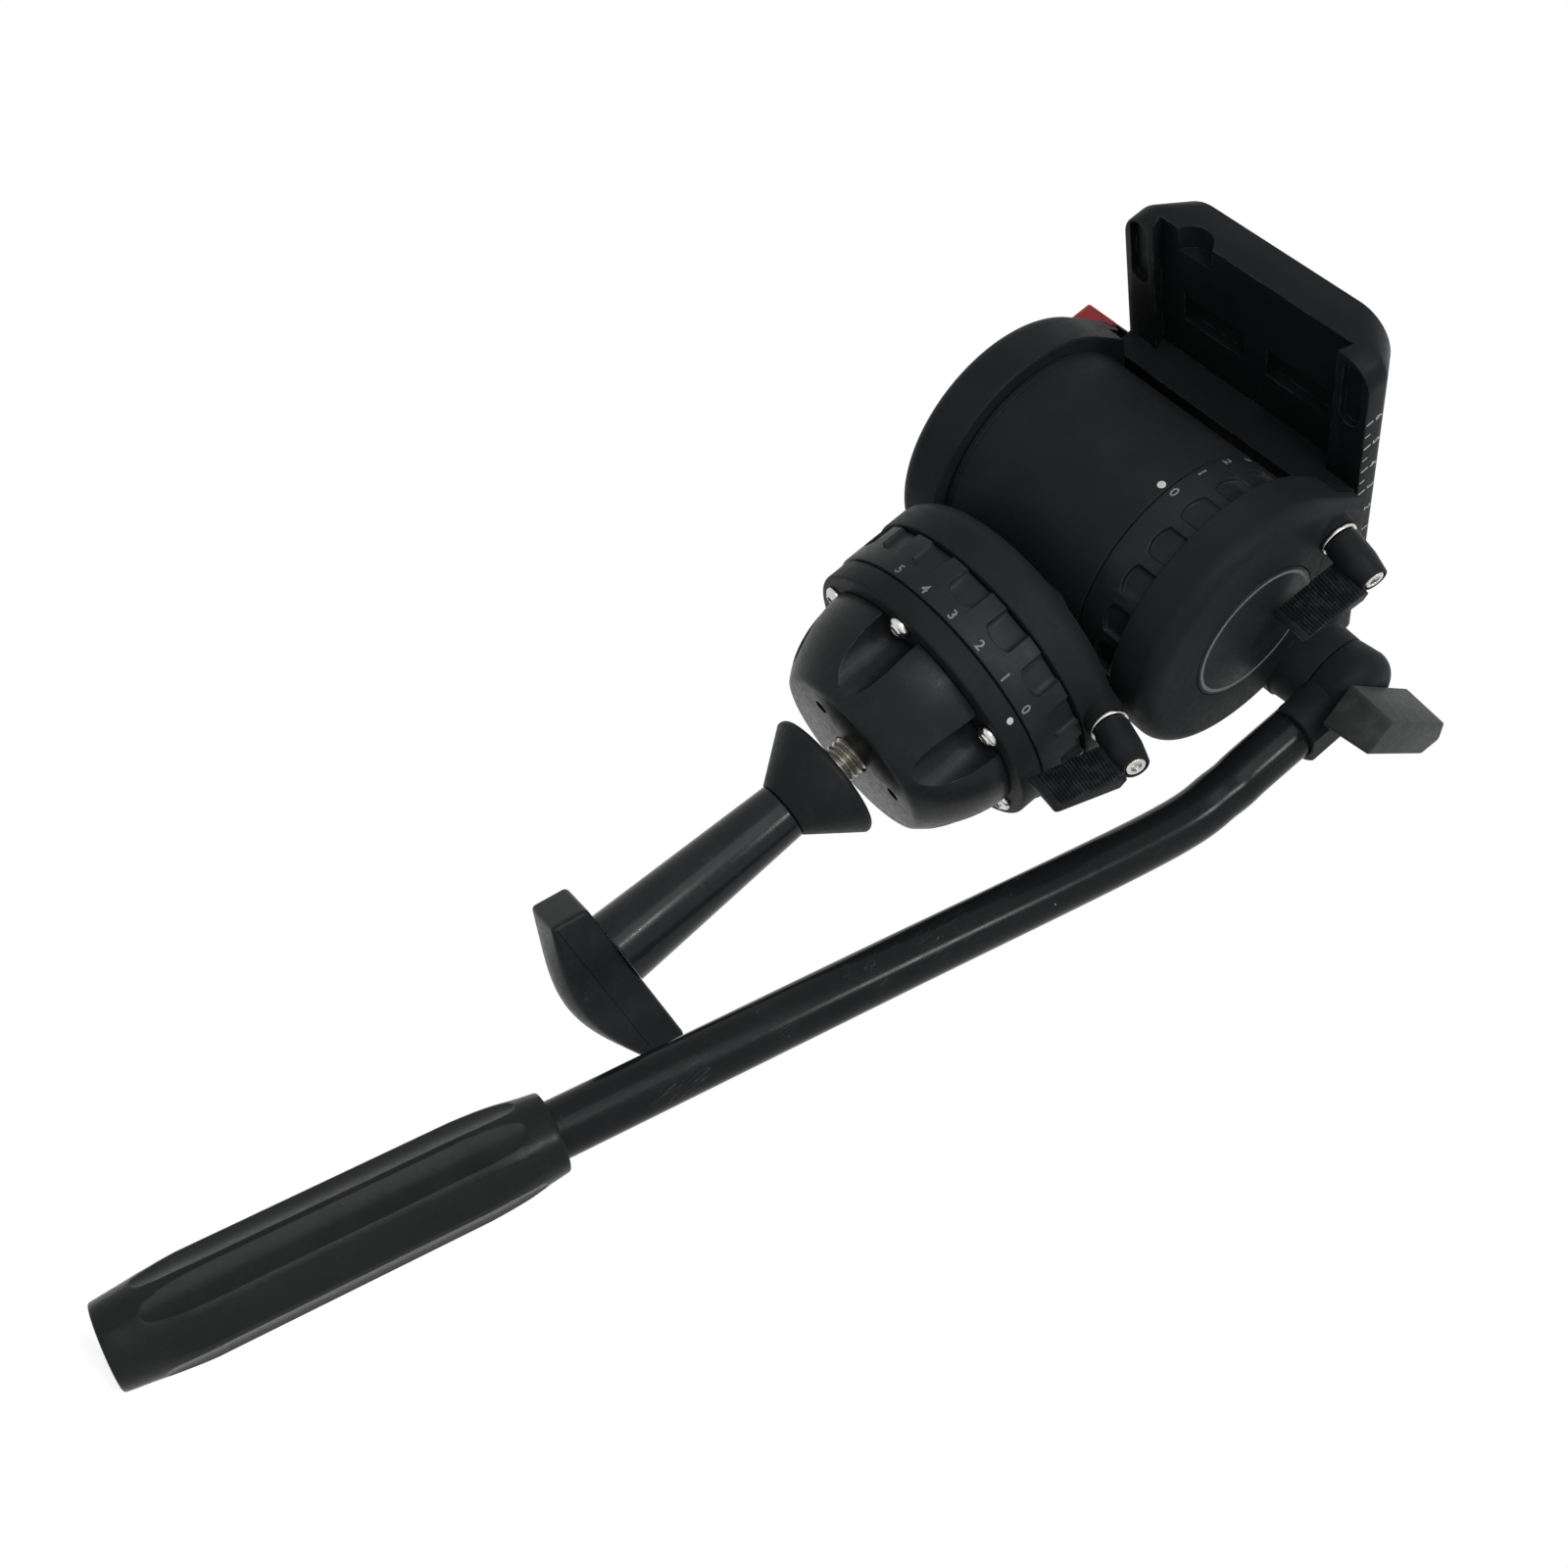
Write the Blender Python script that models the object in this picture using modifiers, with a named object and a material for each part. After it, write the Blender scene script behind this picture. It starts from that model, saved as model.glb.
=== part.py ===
"""Fluid video head for a 75 mm bowl, with its pan bar folded down.

Built in metres, +Z up. The pan axis is Z and the origin is the centre of the half ball, on the
underside of the fixed flange. The tilt axis runs along X. The brake levers and the pan bar are on
the +X side, the index dots face -Y and the operator stands on the +Y side.
"""
import math

import bmesh
import bpy
from mathutils import Euler, Matrix, Vector

MM = 0.001

# Clearances and tool values
FIT_GAP = 0.3 * MM
OVERRUN = 2.0 * MM
MERGE_DISTANCE = 0.005 * MM
EDGE_CHAMFER = 0.7 * MM
ROUND_STEPS = 40
SMALL_STEPS = 20
HIDDEN_STEPS = 24
HEX_SIDES = 6
ARC_STEPS = 5
STRAIGHT_TURN = 0.3
BALL_STEPS = 7
CHEEK_RIM_STEPS = 26
BOSS_RIM_STEPS = 8
RIM_STEPS = 4
BELLY_STEPS = 8
PATH_STEPS = 4
FLARE_STEPS = 3
WIRE_RESOLUTION = 1
BAR_RESOLUTION = 3

# Half ball under the flange
BALL_RADIUS = 37.5 * MM
BALL_DEPTH = 26.0 * MM
BALL_FLOOR = 7.0 * MM
BALL_HOLLOW_RADIUS = 24.0 * MM
BALL_HOLLOW_FLOOR_RADIUS = 20.0 * MM
SCALLOP_RADIUS = 7.2 * MM
BALL_HOLE_RADIUS = 2.2 * MM
BALL_HOLE_CIRCLE = 18.0 * MM
BALL_HOLE_DEPTH = 3.5 * MM
BALL_HOLE_COUNT = 3

# Fixed flange and its screws
FLANGE_INSET = 1.1 * MM
FLANGE_HEIGHT = 7.3 * MM
FLANGE_SCREW_COUNT = 6
FLANGE_SCREW_INSET = 6.8 * MM
FLANGE_SCREW_FIRST = math.radians(-30)
BUTTON_HEAD_RADIUS = 3.3 * MM
BUTTON_HEAD_HEIGHT = 2.2 * MM
BUTTON_SOCKET_RADIUS = 1.4 * MM
BUTTON_SOCKET_DEPTH = 1.2 * MM
BUTTON_SHANK_RADIUS = 1.8 * MM
BUTTON_SHANK_LENGTH = 5.0 * MM

# Clamp stud on the pan axis
STUD_RADIUS = 6.0 * MM
STUD_LENGTH = 92.0 * MM

# Pan unit: axle, bearing, damper and drag ring
PAN_AXLE_RADIUS = 9.0 * MM
PAN_AXLE_FOOT_RADIUS = 14.0 * MM
PAN_AXLE_FOOT_HEIGHT = 3.0 * MM
PAN_THREAD_RADIUS = 7.0 * MM
PAN_NUT_RADIUS = 11.5 * MM
PAN_NUT_HEIGHT = 3.4 * MM
PAN_BEARING_RADIUS = 17.0 * MM
PAN_BEARING_HEIGHT = 7.4 * MM
PAN_CUP_INSET = 12.0 * MM
PAN_CUP_HEIGHT = 12.9 * MM
PAN_CUP_INNER_HEIGHT = 4.4 * MM
CUP_WALL = 1.9 * MM
ROTOR_THICKNESS = 2.0 * MM
PAN_ROTOR_HUB_RADIUS = 13.5 * MM
DRAG_RING_WIDTH = 14.8 * MM
PAN_DRAG_INSET = 0.5 * MM
TILT_RING_WIDTH = 16.2 * MM
FINGER_COUNT = 18
FINGER_WIDTH = 9.6 * MM
FINGER_LENGTH = 9.0 * MM
FINGER_DEPTH = 1.5 * MM
FINGER_END_RADIUS = 8.0 * MM

# Pan housing: collar, neck and tilt barrel in one casting
COLLAR_RADIUS = 44.0 * MM
COLLAR_STRAIGHT = 7.0 * MM
COLLAR_HEIGHT = 14.6 * MM
COLLAR_SHOULDER_INSET = 7.6 * MM
NUT_ROOM_RADIUS = 12.5 * MM
NUT_ROOM_HEIGHT = 6.2 * MM
BARREL_RADIUS = 36.8 * MM
BARREL_LEFT = -37.5 * MM
BARREL_RIGHT = 18.9 * MM
BARREL_BORE_RADIUS = 30.0 * MM
BARREL_WALL = 6.5 * MM
NECK_HALF_WIDTH = 14.5 * MM
NECK_SIDE_INSET = 1.4 * MM
NECK_SINK = 4.0 * MM
NECK_ROUNDING = 9.0 * MM
NECK_FLARE = 5.0 * MM

# Tilt unit inside the barrel and the drag ring
TILT_AXLE_RADIUS = 8.0 * MM
TILT_AXLE_SEAT = 11.0 * MM
TILT_BEARING_RADIUS = 14.0 * MM
END_COVER_THICKNESS = 6.6 * MM
SPRING_DRUM_RADIUS = 17.0 * MM
SPRING_DRUM_END_GAP = 1.0 * MM
SPRING_WIRE_RADIUS = 1.7 * MM
SPRING_TURNS = 5
SPRING_POINTS_PER_TURN = 10
TILT_CUP_RADIUS = 29.0 * MM
TILT_CUP_DEPTH = 13.6 * MM
TILT_ROTOR_HUB_RADIUS = 12.0 * MM
TILT_ROTOR_SETBACK = 3.4 * MM
TILT_DRAG_RADIUS = 36.8 * MM
DRAG_RING_BORE_GAP = 0.4 * MM

# Cheeks of the tilt bracket
CHEEK_RADIUS = 41.0 * MM
CHEEK_OVER_COLLAR = 0.9 * MM
ARM_FRONT_ANGLE = 135
ARM_BACK_ANGLE = 365
ARM_BOSS_ANGLE = 10
FULL_ANGLE = 360
RIGHT_CHEEK_GAP = 0.6 * MM
RIGHT_CHEEK_THICKNESS = 15.3 * MM
LEFT_CHEEK_THICKNESS = 16.0 * MM
CHEEK_ROUNDING = 5.5 * MM
CHEEK_ROUNDING_STEPS = 4
BADGE_RADIUS = 21.7 * MM
BADGE_THICKNESS = 1.2 * MM
BADGE_PROUD = 0.2 * MM
BAR_AXIS_Y = 37.5 * MM
BAR_AXIS_Z = 21.5 * MM
ROSETTE_RADIUS = 13.5 * MM
ROSETTE_ROOT_RADIUS = 14.6 * MM
ROSETTE_STANDING = 10.5 * MM

# Platform between the cheeks, with a dovetail on top
PLATFORM_FRONT = -13.0 * MM
PLATFORM_BACK = 47.0 * MM
PLATFORM_BOTTOM = 38.0 * MM
PLATFORM_TOP = 46.0 * MM
PLATFORM_IN_CHEEK = 8.0 * MM
DOVETAIL_ROOT_INSET = 11.0 * MM
DOVETAIL_TIP_INSET = 9.5 * MM
DOVETAIL_HEIGHT = 4.2 * MM
ARM_SHOULDER_DROP = 0.8 * MM
PLATFORM_SCREW_INSET = 3.6 * MM
PLATFORM_SCREW_FRONT = -2.0 * MM
PLATFORM_SCREW_BACK = 36.0 * MM
COUNTERSUNK_RADIUS = 3.0 * MM
COUNTERSUNK_HEIGHT = 1.8 * MM
COUNTERSUNK_SHANK_RADIUS = 1.5 * MM
COUNTERSUNK_LENGTH = 16.0 * MM

# Sliding plate
PLATE_FRONT = -62.0 * MM
PLATE_LENGTH = 104.0 * MM
PLATE_OVERHANG = 0.8 * MM
PLATE_TOP_INSET = 7.2 * MM
PLATE_SIDE_HEIGHT = 6.7 * MM
PLATE_THICKNESS = 16.2 * MM
PLATE_CORNER_RADIUS = 9.0 * MM
PLATE_TOP_CORNER_RADIUS = 16.5 * MM
LIP_POCKET_WIDTH = 6.6 * MM
LIP_POCKET_LENGTH = 23.0 * MM
LIP_POCKET_DEPTH = 2.0 * MM
LIP_POCKET_SETBACK = 2.0 * MM
ROOF_POCKET_WIDTH = 23.0 * MM
ROOF_POCKET_LENGTH = 10.5 * MM
ROOF_POCKET_DEPTH = 3.0 * MM
ROOF_POCKET_SETBACK = 24.0 * MM
ROOF_POCKET_LEFT = -25.6 * MM
ROOF_POCKET_RIGHT = 6.0 * MM
NOTCH_RADIUS = 6.6 * MM
NOTCH_DROP = 2.2 * MM
NOTCH_DEPTH = 8.0 * MM
NOTCH_X = -21.3 * MM
SLOT_FRONT = -9.6 * MM
SLOT_LENGTH = 42.6 * MM
SLOT_WIDTH = 10.2 * MM
HEAD_GROOVE_WIDTH = 17.4 * MM
HEAD_GROOVE_DEPTH = 4.2 * MM
PAD_X = 24.0 * MM
PAD_WIDTH = 14.0 * MM
PAD_LENGTH = 78.0 * MM
PAD_RECESS = 0.8 * MM
PAD_THICKNESS = 1.6 * MM
PAD_CORNER = 1.6 * MM
SCREW_HEAD_RADIUS = 8.2 * MM
SCREW_HEAD_HEIGHT = 3.2 * MM
SCREW_STANDING = 5.0 * MM
LARGE_SCREW_RADIUS = 4.7 * MM
SMALL_SCREW_RADIUS = 3.1 * MM
LARGE_SCREW_Y = -4.0 * MM
SMALL_SCREW_Y = 20.0 * MM

# Lock lever, brake levers and their fasteners: one lever shape for all three
LEVER_ROOT_RADIUS = 5.2 * MM
LEVER_MIDDLE_RADIUS = 5.0 * MM
LEVER_MIDDLE_HEIGHT = 9.0 * MM
LEVER_TIP_RADIUS = 4.0 * MM
LEVER_HUB_LENGTH = 15.4 * MM
LEVER_REACH = 26.4 * MM
LEVER_END_SLANT = 2.0 * MM
LEVER_PADDLE_START = 3.4 * MM
LEVER_PADDLE_SHOULDER = 5.6 * MM
LEVER_PADDLE_FRONT = 0.4 * MM
LEVER_PADDLE_BACK = 5.0 * MM
LEVER_START_BACK = 3.0 * MM
LEVER_END_BACK = 3.1 * MM
LEVER_PADDLE_INSET = 3.7 * MM
LEVER_PADDLE_HEIGHT = 12.5 * MM
LEVER_PADDLE_ROUNDING = 0.8 * MM
LEVER_BORE_GAP = 0.3 * MM
SPINDLE_RADIUS = 2.0 * MM
SPINDLE_IN_BODY = 12.0 * MM
LEVER_SCREW_HEAD_RADIUS = 3.0 * MM
LEVER_SCREW_HEAD_HEIGHT = 2.4 * MM
LEVER_SOCKET_RADIUS = 1.5 * MM
LEVER_SOCKET_DEPTH = 1.4 * MM
WASHER_RADIUS = 5.6 * MM
WASHER_THICKNESS = 1.1 * MM
BOSS_RADIUS = 5.9 * MM
TILT_BOSS_RADIUS = 6.4 * MM
PAN_BRAKE_OUT = 5.0 * MM
PAN_BRAKE_Y = -8.6 * MM
PAN_BRAKE_UP = 4.6 * MM
PAN_BRAKE_AZIMUTH = math.radians(-8)
PAN_BRAKE_DROOP = math.radians(17)
PAN_BRAKE_SWING = math.radians(-2)
TILT_BRAKE_OUT = 2.3 * MM
TILT_BRAKE_Y = -14.9 * MM
TILT_BRAKE_UP = 29.7 * MM
TILT_BRAKE_AZIMUTH = math.radians(5)
TILT_BRAKE_DROOP = math.radians(10.5)
TILT_BRAKE_SWING = math.radians(26)
PLATE_LOCK_OUT = 2.4 * MM
PLATE_LOCK_Y = 22.0 * MM
PLATE_LOCK_UP = 32.0 * MM
PLATE_LOCK_AZIMUTH = math.radians(180)
PLATE_LOCK_SWING = math.radians(100)

# Release button on the left cheek
BUTTON_FRONT = -16.0 * MM
BUTTON_LENGTH = 9.0 * MM
BUTTON_BOTTOM = 36.0 * MM
BUTTON_HEIGHT = 7.6 * MM
BUTTON_STANDING = 6.0 * MM
BUTTON_SINK = 6.4 * MM
BUTTON_ROOM = 4.0 * MM
BUTTON_BEVEL = 1.8 * MM

# Pan bar bracket, clamp and bar
BRACKET_THICKNESS = 14.2 * MM
BRACKET_BELLY_RADIUS = 14.2 * MM
BRACKET_ROUNDING = 7.0 * MM
BAR_STANDING = 5.3 * MM
BAR_RADIUS = 7.8 * MM
SLEEVE_RADIUS = 10.4 * MM
SLEEVE_LENGTH = 22.0 * MM
BAR_TOP_BELOW_AXIS = 14.2 * MM
BEND_BELOW_AXIS = 62.7 * MM
BEND_LENGTH = 26.0 * MM
GRIP_NECK_X = 40.3 * MM
GRIP_NECK_Y = -21.4 * MM
GRIP_NECK_Z = -153.7 * MM
GRIP_END_X = 24.9 * MM
GRIP_END_Y = -54.0 * MM
GRIP_END_Z = -260.4 * MM
GRIP_NECK_RADIUS = 10.7 * MM
GRIP_BELLY_RADIUS = 13.2 * MM
GRIP_END_RADIUS = 11.0 * MM
GRIP_BORE_SHORT = 12.0 * MM
GRIP_BELLY_SHARES = (0.0, 0.03, 0.11, 0.2, 0.81, 0.89, 0.97, 1.0)
GRIP_SWELL_SHARES = (0.0, 0.18, 0.73, 1.0, 1.0, 0.66, 0.2, 0.0)
GRIP_HOLE_RADIUS = 2.6 * MM
CLAMP_BOLT_RADIUS = 3.0 * MM
CLAMP_BOLT_SINK = 14.0 * MM
CLAMP_HANDLE_DEPTH = 15.8 * MM
CLAMP_HANDLE_LENGTH = 48.0 * MM
CLAMP_HANDLE_WIDTH = 14.2 * MM
CLAMP_HANDLE_OUTER_WIDTH = 11.4 * MM
CLAMP_HANDLE_TURN = math.radians(38)
CLAMP_HANDLE_CHAMFER = 5.0 * MM

# Tie-down under the ball: cone, stem and lever
CONE_TOP = -34.4 * MM
CONE_RADIUS = 19.6 * MM
CONE_NARROW_RADIUS = 8.9 * MM
CONE_HEIGHT = 16.6 * MM
CONE_RIM = 1.8 * MM
CONE_RIM_END_ANGLE = -20
STEM_TOP_RADIUS = 8.6 * MM
STEM_BOTTOM_RADIUS = 11.1 * MM
STEM_LENGTH = 60.0 * MM
STEM_BORE_LENGTH = 48.0 * MM
HANDLE_AZIMUTH = math.radians(60)
HANDLE_SHORT_REACH = 20.3 * MM
HANDLE_LONG_REACH = 31.0 * MM
HANDLE_END_SLANT = 2.2 * MM
HANDLE_WIDTH = 18.0 * MM
HANDLE_END_HEIGHT = 10.6 * MM
HANDLE_DEPTH = 17.2 * MM
HANDLE_KEEL_DEPTH = 20.4 * MM
HANDLE_ROUNDING = 1.5 * MM

# Level bubble on the operator's side of the collar
LEVEL_AZIMUTH = math.radians(96)
LEVEL_INSET = 13.0 * MM
LEVEL_RADIUS = 6.6 * MM
LEVEL_WALL = 1.2 * MM
LEVEL_HEIGHT = 6.0 * MM
LEVEL_SINK = 3.0 * MM

# Heights and places that follow from the sizes above
FLANGE_RADIUS = COLLAR_RADIUS - FLANGE_INSET
FLANGE_SCREW_CIRCLE = COLLAR_RADIUS - FLANGE_SCREW_INSET
PAN_DRAG_RADIUS = COLLAR_RADIUS - PAN_DRAG_INSET
PAN_CUP_RADIUS = COLLAR_RADIUS - PAN_CUP_INSET
COLLAR_SHOULDER_RADIUS = COLLAR_RADIUS - COLLAR_SHOULDER_INSET
LEVEL_CIRCLE = COLLAR_RADIUS - LEVEL_INSET
RING_BOTTOM = FLANGE_HEIGHT + FIT_GAP
RING_TOP = RING_BOTTOM + DRAG_RING_WIDTH
COLLAR_BOTTOM = RING_TOP + FIT_GAP
COLLAR_TOP = COLLAR_BOTTOM + COLLAR_HEIGHT
BEARING_TOP = COLLAR_BOTTOM + PAN_BEARING_HEIGHT + FIT_GAP
TILT_HEIGHT = COLLAR_TOP + CHEEK_OVER_COLLAR + CHEEK_RADIUS
TILT_RING_LEFT = BARREL_RIGHT + FIT_GAP
TILT_RING_RIGHT = TILT_RING_LEFT + TILT_RING_WIDTH
RIGHT_CHEEK_INNER = TILT_RING_RIGHT + RIGHT_CHEEK_GAP
RIGHT_CHEEK_OUTER = RIGHT_CHEEK_INNER + RIGHT_CHEEK_THICKNESS
LEFT_CHEEK_INNER = BARREL_LEFT - FIT_GAP
LEFT_CHEEK_OUTER = LEFT_CHEEK_INNER - LEFT_CHEEK_THICKNESS
PLATFORM_HALF_WIDTH = RIGHT_CHEEK_INNER + PLATFORM_IN_CHEEK
DOVETAIL_HALF_ROOT = PLATFORM_HALF_WIDTH - DOVETAIL_ROOT_INSET
DOVETAIL_HALF_TIP = PLATFORM_HALF_WIDTH - DOVETAIL_TIP_INSET
PLATFORM_SCREW_X = PLATFORM_HALF_WIDTH - PLATFORM_SCREW_INSET
PLATE_HALF_WIDTH = PLATFORM_HALF_WIDTH + PLATE_OVERHANG
PLATE_TOP_HALF_WIDTH = PLATE_HALF_WIDTH - PLATE_TOP_INSET
PLATE_BOTTOM = PLATFORM_TOP + FIT_GAP
PLATE_ROOF = PLATFORM_TOP + DOVETAIL_HEIGHT + FIT_GAP
PLATE_TOP = PLATE_BOTTOM + PLATE_THICKNESS
ROSETTE_PLANE = RIGHT_CHEEK_OUTER + ROSETTE_STANDING
BRACKET_OUTER = ROSETTE_PLANE + FIT_GAP + BRACKET_THICKNESS
BAR_X = ROSETTE_PLANE + BAR_STANDING
SLEEVE_INNER_SIDE = ROSETTE_PLANE + FIT_GAP
PAN_BRAKE_AT = Vector((COLLAR_RADIUS + PAN_BRAKE_OUT, PAN_BRAKE_Y, COLLAR_BOTTOM + PAN_BRAKE_UP))
TILT_BRAKE_AT = Vector((RIGHT_CHEEK_OUTER + TILT_BRAKE_OUT, TILT_BRAKE_Y, TILT_BRAKE_UP))
PLATE_LOCK_AT = Vector((LEFT_CHEEK_OUTER - PLATE_LOCK_OUT, PLATE_LOCK_Y, PLATE_LOCK_UP))
GRIP_NECK = Vector((GRIP_NECK_X, GRIP_NECK_Y, GRIP_NECK_Z))
GRIP_END = Vector((GRIP_END_X, GRIP_END_Y, GRIP_END_Z))

# Looks: colour, roughness, metallic
BLACK_PAINT = ((0.022, 0.024, 0.026), 0.48, 0.0)
GREY_PAINT = ((0.05, 0.055, 0.057), 0.5, 0.0)
BLACK_ANODISED = ((0.012, 0.014, 0.014), 0.38, 0.6)
DARK_PLASTIC = ((0.05, 0.055, 0.057), 0.5, 0.0)
LEVER_PLASTIC = ((0.06, 0.065, 0.07), 0.55, 0.0)
CLAMP_PLASTIC = ((0.11, 0.12, 0.12), 0.5, 0.0)
BAR_PAINT = ((0.02, 0.022, 0.022), 0.25, 0.3)
GRIP_RUBBER = ((0.045, 0.05, 0.055), 0.6, 0.0)
BRIGHT_STEEL = ((0.6, 0.6, 0.58), 0.25, 1.0)
ZINC_STEEL = ((0.5, 0.49, 0.44), 0.35, 1.0)
BLACK_STEEL = ((0.03, 0.03, 0.03), 0.4, 0.8)
SPRING_STEEL = ((0.3, 0.3, 0.32), 0.35, 1.0)
RED_PLASTIC = ((0.5, 0.03, 0.03), 0.4, 0.0)
PAD_RUBBER = ((0.02, 0.02, 0.02), 0.8, 0.0)
LEVEL_ACRYLIC = ((0.55, 0.7, 0.2), 0.1, 0.0)

# A piece turned this way has its own X along Y, its own Y along Z and its own Z along X
SIDEWAYS = Euler((math.radians(90), 0, math.radians(90)))


def clear_scene():
    """Remove every object that the scene starts with."""
    for item in list(bpy.data.objects):
        bpy.data.objects.remove(item, do_unlink=True)


def new_collection(name):
    """Add a collection to the scene."""
    collection = bpy.data.collections.new(name)
    bpy.context.scene.collection.children.link(collection)
    return collection


clear_scene()
PARTS = new_collection("fluid_head")
CUTTERS = new_collection("fluid_head_cutters")
PIVOTS = {}


def look_of(name, look):
    """Make the material of one piece from its colour, roughness and metallic value."""
    colour, roughness, metallic = look
    material = bpy.data.materials.new(name + "_finish")
    material.use_nodes = True
    shader = material.node_tree.nodes["Principled BSDF"]
    shader.inputs["Base Color"].default_value = (*colour, 1.0)
    shader.inputs["Roughness"].default_value = roughness
    shader.inputs["Metallic"].default_value = metallic
    material.diffuse_color = (*colour, 1.0)
    return material


def add_object(name, mesh, look=None):
    """Link a mesh as a piece, or as a hidden cutter where it has no look."""
    mesh.shade_smooth()
    mesh.set_sharp_from_angle(angle=math.radians(35))
    item = bpy.data.objects.new(name, mesh)
    if look is None:
        item.hide_render = True
        item.display_type = "WIRE"
        CUTTERS.objects.link(item)
    else:
        mesh.materials.append(look_of(name, look))
        PARTS.objects.link(item)
    return item


def pivot(name, point, parent=None):
    """Add an empty on a joint's axis, which carries the pieces of one moving body."""
    empty = bpy.data.objects.new(name + "_pivot", None)
    PARTS.objects.link(empty)
    point = Vector(point)
    if parent:
        empty.parent, start = PIVOTS[parent]
        empty.location = point - start
    else:
        empty.location = point
    PIVOTS[name] = (empty, point)


def place(item, body, point=(0, 0, 0), turn=None):
    """Put a piece at a point of the head, carried by a body's pivot."""
    empty, start = PIVOTS[body]
    item.parent = empty
    item.location = Vector(point) - start
    if turn is not None:
        item.rotation_euler = turn
    return item


def baked_mesh(item):
    """Take an object's evaluated mesh, welded, and remove the object."""
    bpy.context.view_layer.update()
    depsgraph = bpy.context.evaluated_depsgraph_get()
    mesh = bpy.data.meshes.new_from_object(item.evaluated_get(depsgraph))
    bpy.data.objects.remove(item, do_unlink=True)
    work = bmesh.new()
    work.from_mesh(mesh)
    bmesh.ops.remove_doubles(work, verts=work.verts, dist=MERGE_DISTANCE)
    bmesh.ops.recalc_face_normals(work, faces=work.faces)
    work.to_mesh(mesh)
    work.free()
    return mesh


def arc(centre, radius, start, end, steps=ARC_STEPS):
    """Points along an arc in a plane, both ends included; angles in degrees."""
    points = []
    for step in range(steps + 1):
        angle = math.radians(start + (end - start) * step / steps)
        points.append((centre[0] + radius * math.cos(angle), centre[1] + radius * math.sin(angle)))
    return points


def turned(name, profile, look=None, steps=ROUND_STEPS):
    """Turn a profile of (radius, height) points, outer side first and downwards, about local Z."""
    mesh = bpy.data.meshes.new(name)
    closed = profile[0][0] > 0
    edges = [(i, i + 1) for i in range(len(profile) - 1)]
    if closed:
        edges.append((len(profile) - 1, 0))
    mesh.from_pydata([(radius, 0, height) for radius, height in profile], edges, [])
    item = bpy.data.objects.new(name, mesh)
    CUTTERS.objects.link(item)
    screw = item.modifiers.new("turn", "SCREW")
    screw.axis = "Z"
    screw.steps = steps
    screw.render_steps = steps
    screw.use_merge_vertices = True
    screw.merge_threshold = MERGE_DISTANCE
    return add_object(name, baked_mesh(item), look)


def drum(name, radius, bottom, top, look=None, steps=ROUND_STEPS, tip=None):
    """A cylinder, or a cone where the tip has its own radius, along local Z."""
    work = bmesh.new()
    bmesh.ops.create_cone(work, cap_ends=True, segments=steps, radius1=radius,
                          radius2=radius if tip is None else tip, depth=top - bottom)
    bmesh.ops.translate(work, verts=work.verts, vec=(0, 0, (top + bottom) / 2))
    return from_work(name, work, look)


def block(name, low, high, look=None):
    """A box between two corners."""
    work = bmesh.new()
    bmesh.ops.create_cube(work, size=1.0)
    low, high = Vector(low), Vector(high)
    bmesh.ops.scale(work, verts=work.verts, vec=high - low)
    bmesh.ops.translate(work, verts=work.verts, vec=(high + low) / 2)
    return from_work(name, work, look)


def from_work(name, work, look):
    """Turn a working mesh into an object."""
    mesh = bpy.data.meshes.new(name)
    work.to_mesh(mesh)
    work.free()
    return add_object(name, mesh, look)


def extruded(name, outline, bottom, top, look=None):
    """Extrude a closed outline of local X and Y points between two heights on local Z."""
    curve = bpy.data.curves.new(name, "CURVE")
    curve.dimensions = "2D"
    curve.fill_mode = "BOTH"
    curve.extrude = (top - bottom) / 2
    spline = curve.splines.new("POLY")
    spline.points.add(len(outline) - 1)
    for point, place_on in zip(spline.points, outline):
        point.co = (place_on[0], place_on[1], 0, 1)
    spline.use_cyclic_u = True
    item = bpy.data.objects.new(name, curve)
    CUTTERS.objects.link(item)
    mesh = baked_mesh(item)
    mesh.transform(Matrix.Translation((0, 0, (top + bottom) / 2)))
    return add_object(name, mesh, look)


def stacked(name, layers, look=None):
    """Join outlines of equal length, each at its own height on local Z, into one solid."""
    work = bmesh.new()
    rings = [[work.verts.new((x, y, height)) for x, y in outline] for outline, height in layers]
    for lower, upper in zip(rings, rings[1:]):
        for index, corner in enumerate(lower):
            following = (index + 1) % len(lower)
            work.faces.new((corner, lower[following], upper[following], upper[index]))
    work.faces.new(rings[0][::-1])
    work.faces.new(rings[-1])
    bmesh.ops.recalc_face_normals(work, faces=work.faces)
    return from_work(name, work, look)


def inset(outline, depths):
    """Move each edge of an anticlockwise outline inwards by its own depth."""
    count = len(outline)
    corners = [Vector(point) for point in outline]
    along = [(corners[(i + 1) % count] - corners[i]).normalized() for i in range(count)]
    inwards = [Vector((-way.y, way.x)) for way in along]
    moved = []
    for i, corner in enumerate(corners):
        before, after = inwards[i - 1], inwards[i]
        turn = before.cross(after)
        if abs(turn) < STRAIGHT_TURN:
            mean = (before * depths[i - 1] + after * depths[i]) / 2
            moved.append(tuple(corner + mean))
            continue
        shift_x = (depths[i - 1] * after.y - depths[i] * before.y) / turn
        shift_y = (before.x * depths[i] - after.x * depths[i - 1]) / turn
        moved.append(tuple(corner + Vector((shift_x, shift_y))))
    return moved


def copies(name, item, places, look=None):
    """Join copies of a shape, each at its own matrix, as separate solids of one object."""
    source = baked_mesh(item)
    work = bmesh.new()
    for matrix in places:
        copied = source.copy()
        copied.transform(matrix)
        work.from_mesh(copied)
        bpy.data.meshes.remove(copied)
    bpy.data.meshes.remove(source)
    return from_work(name, work, look)


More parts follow.
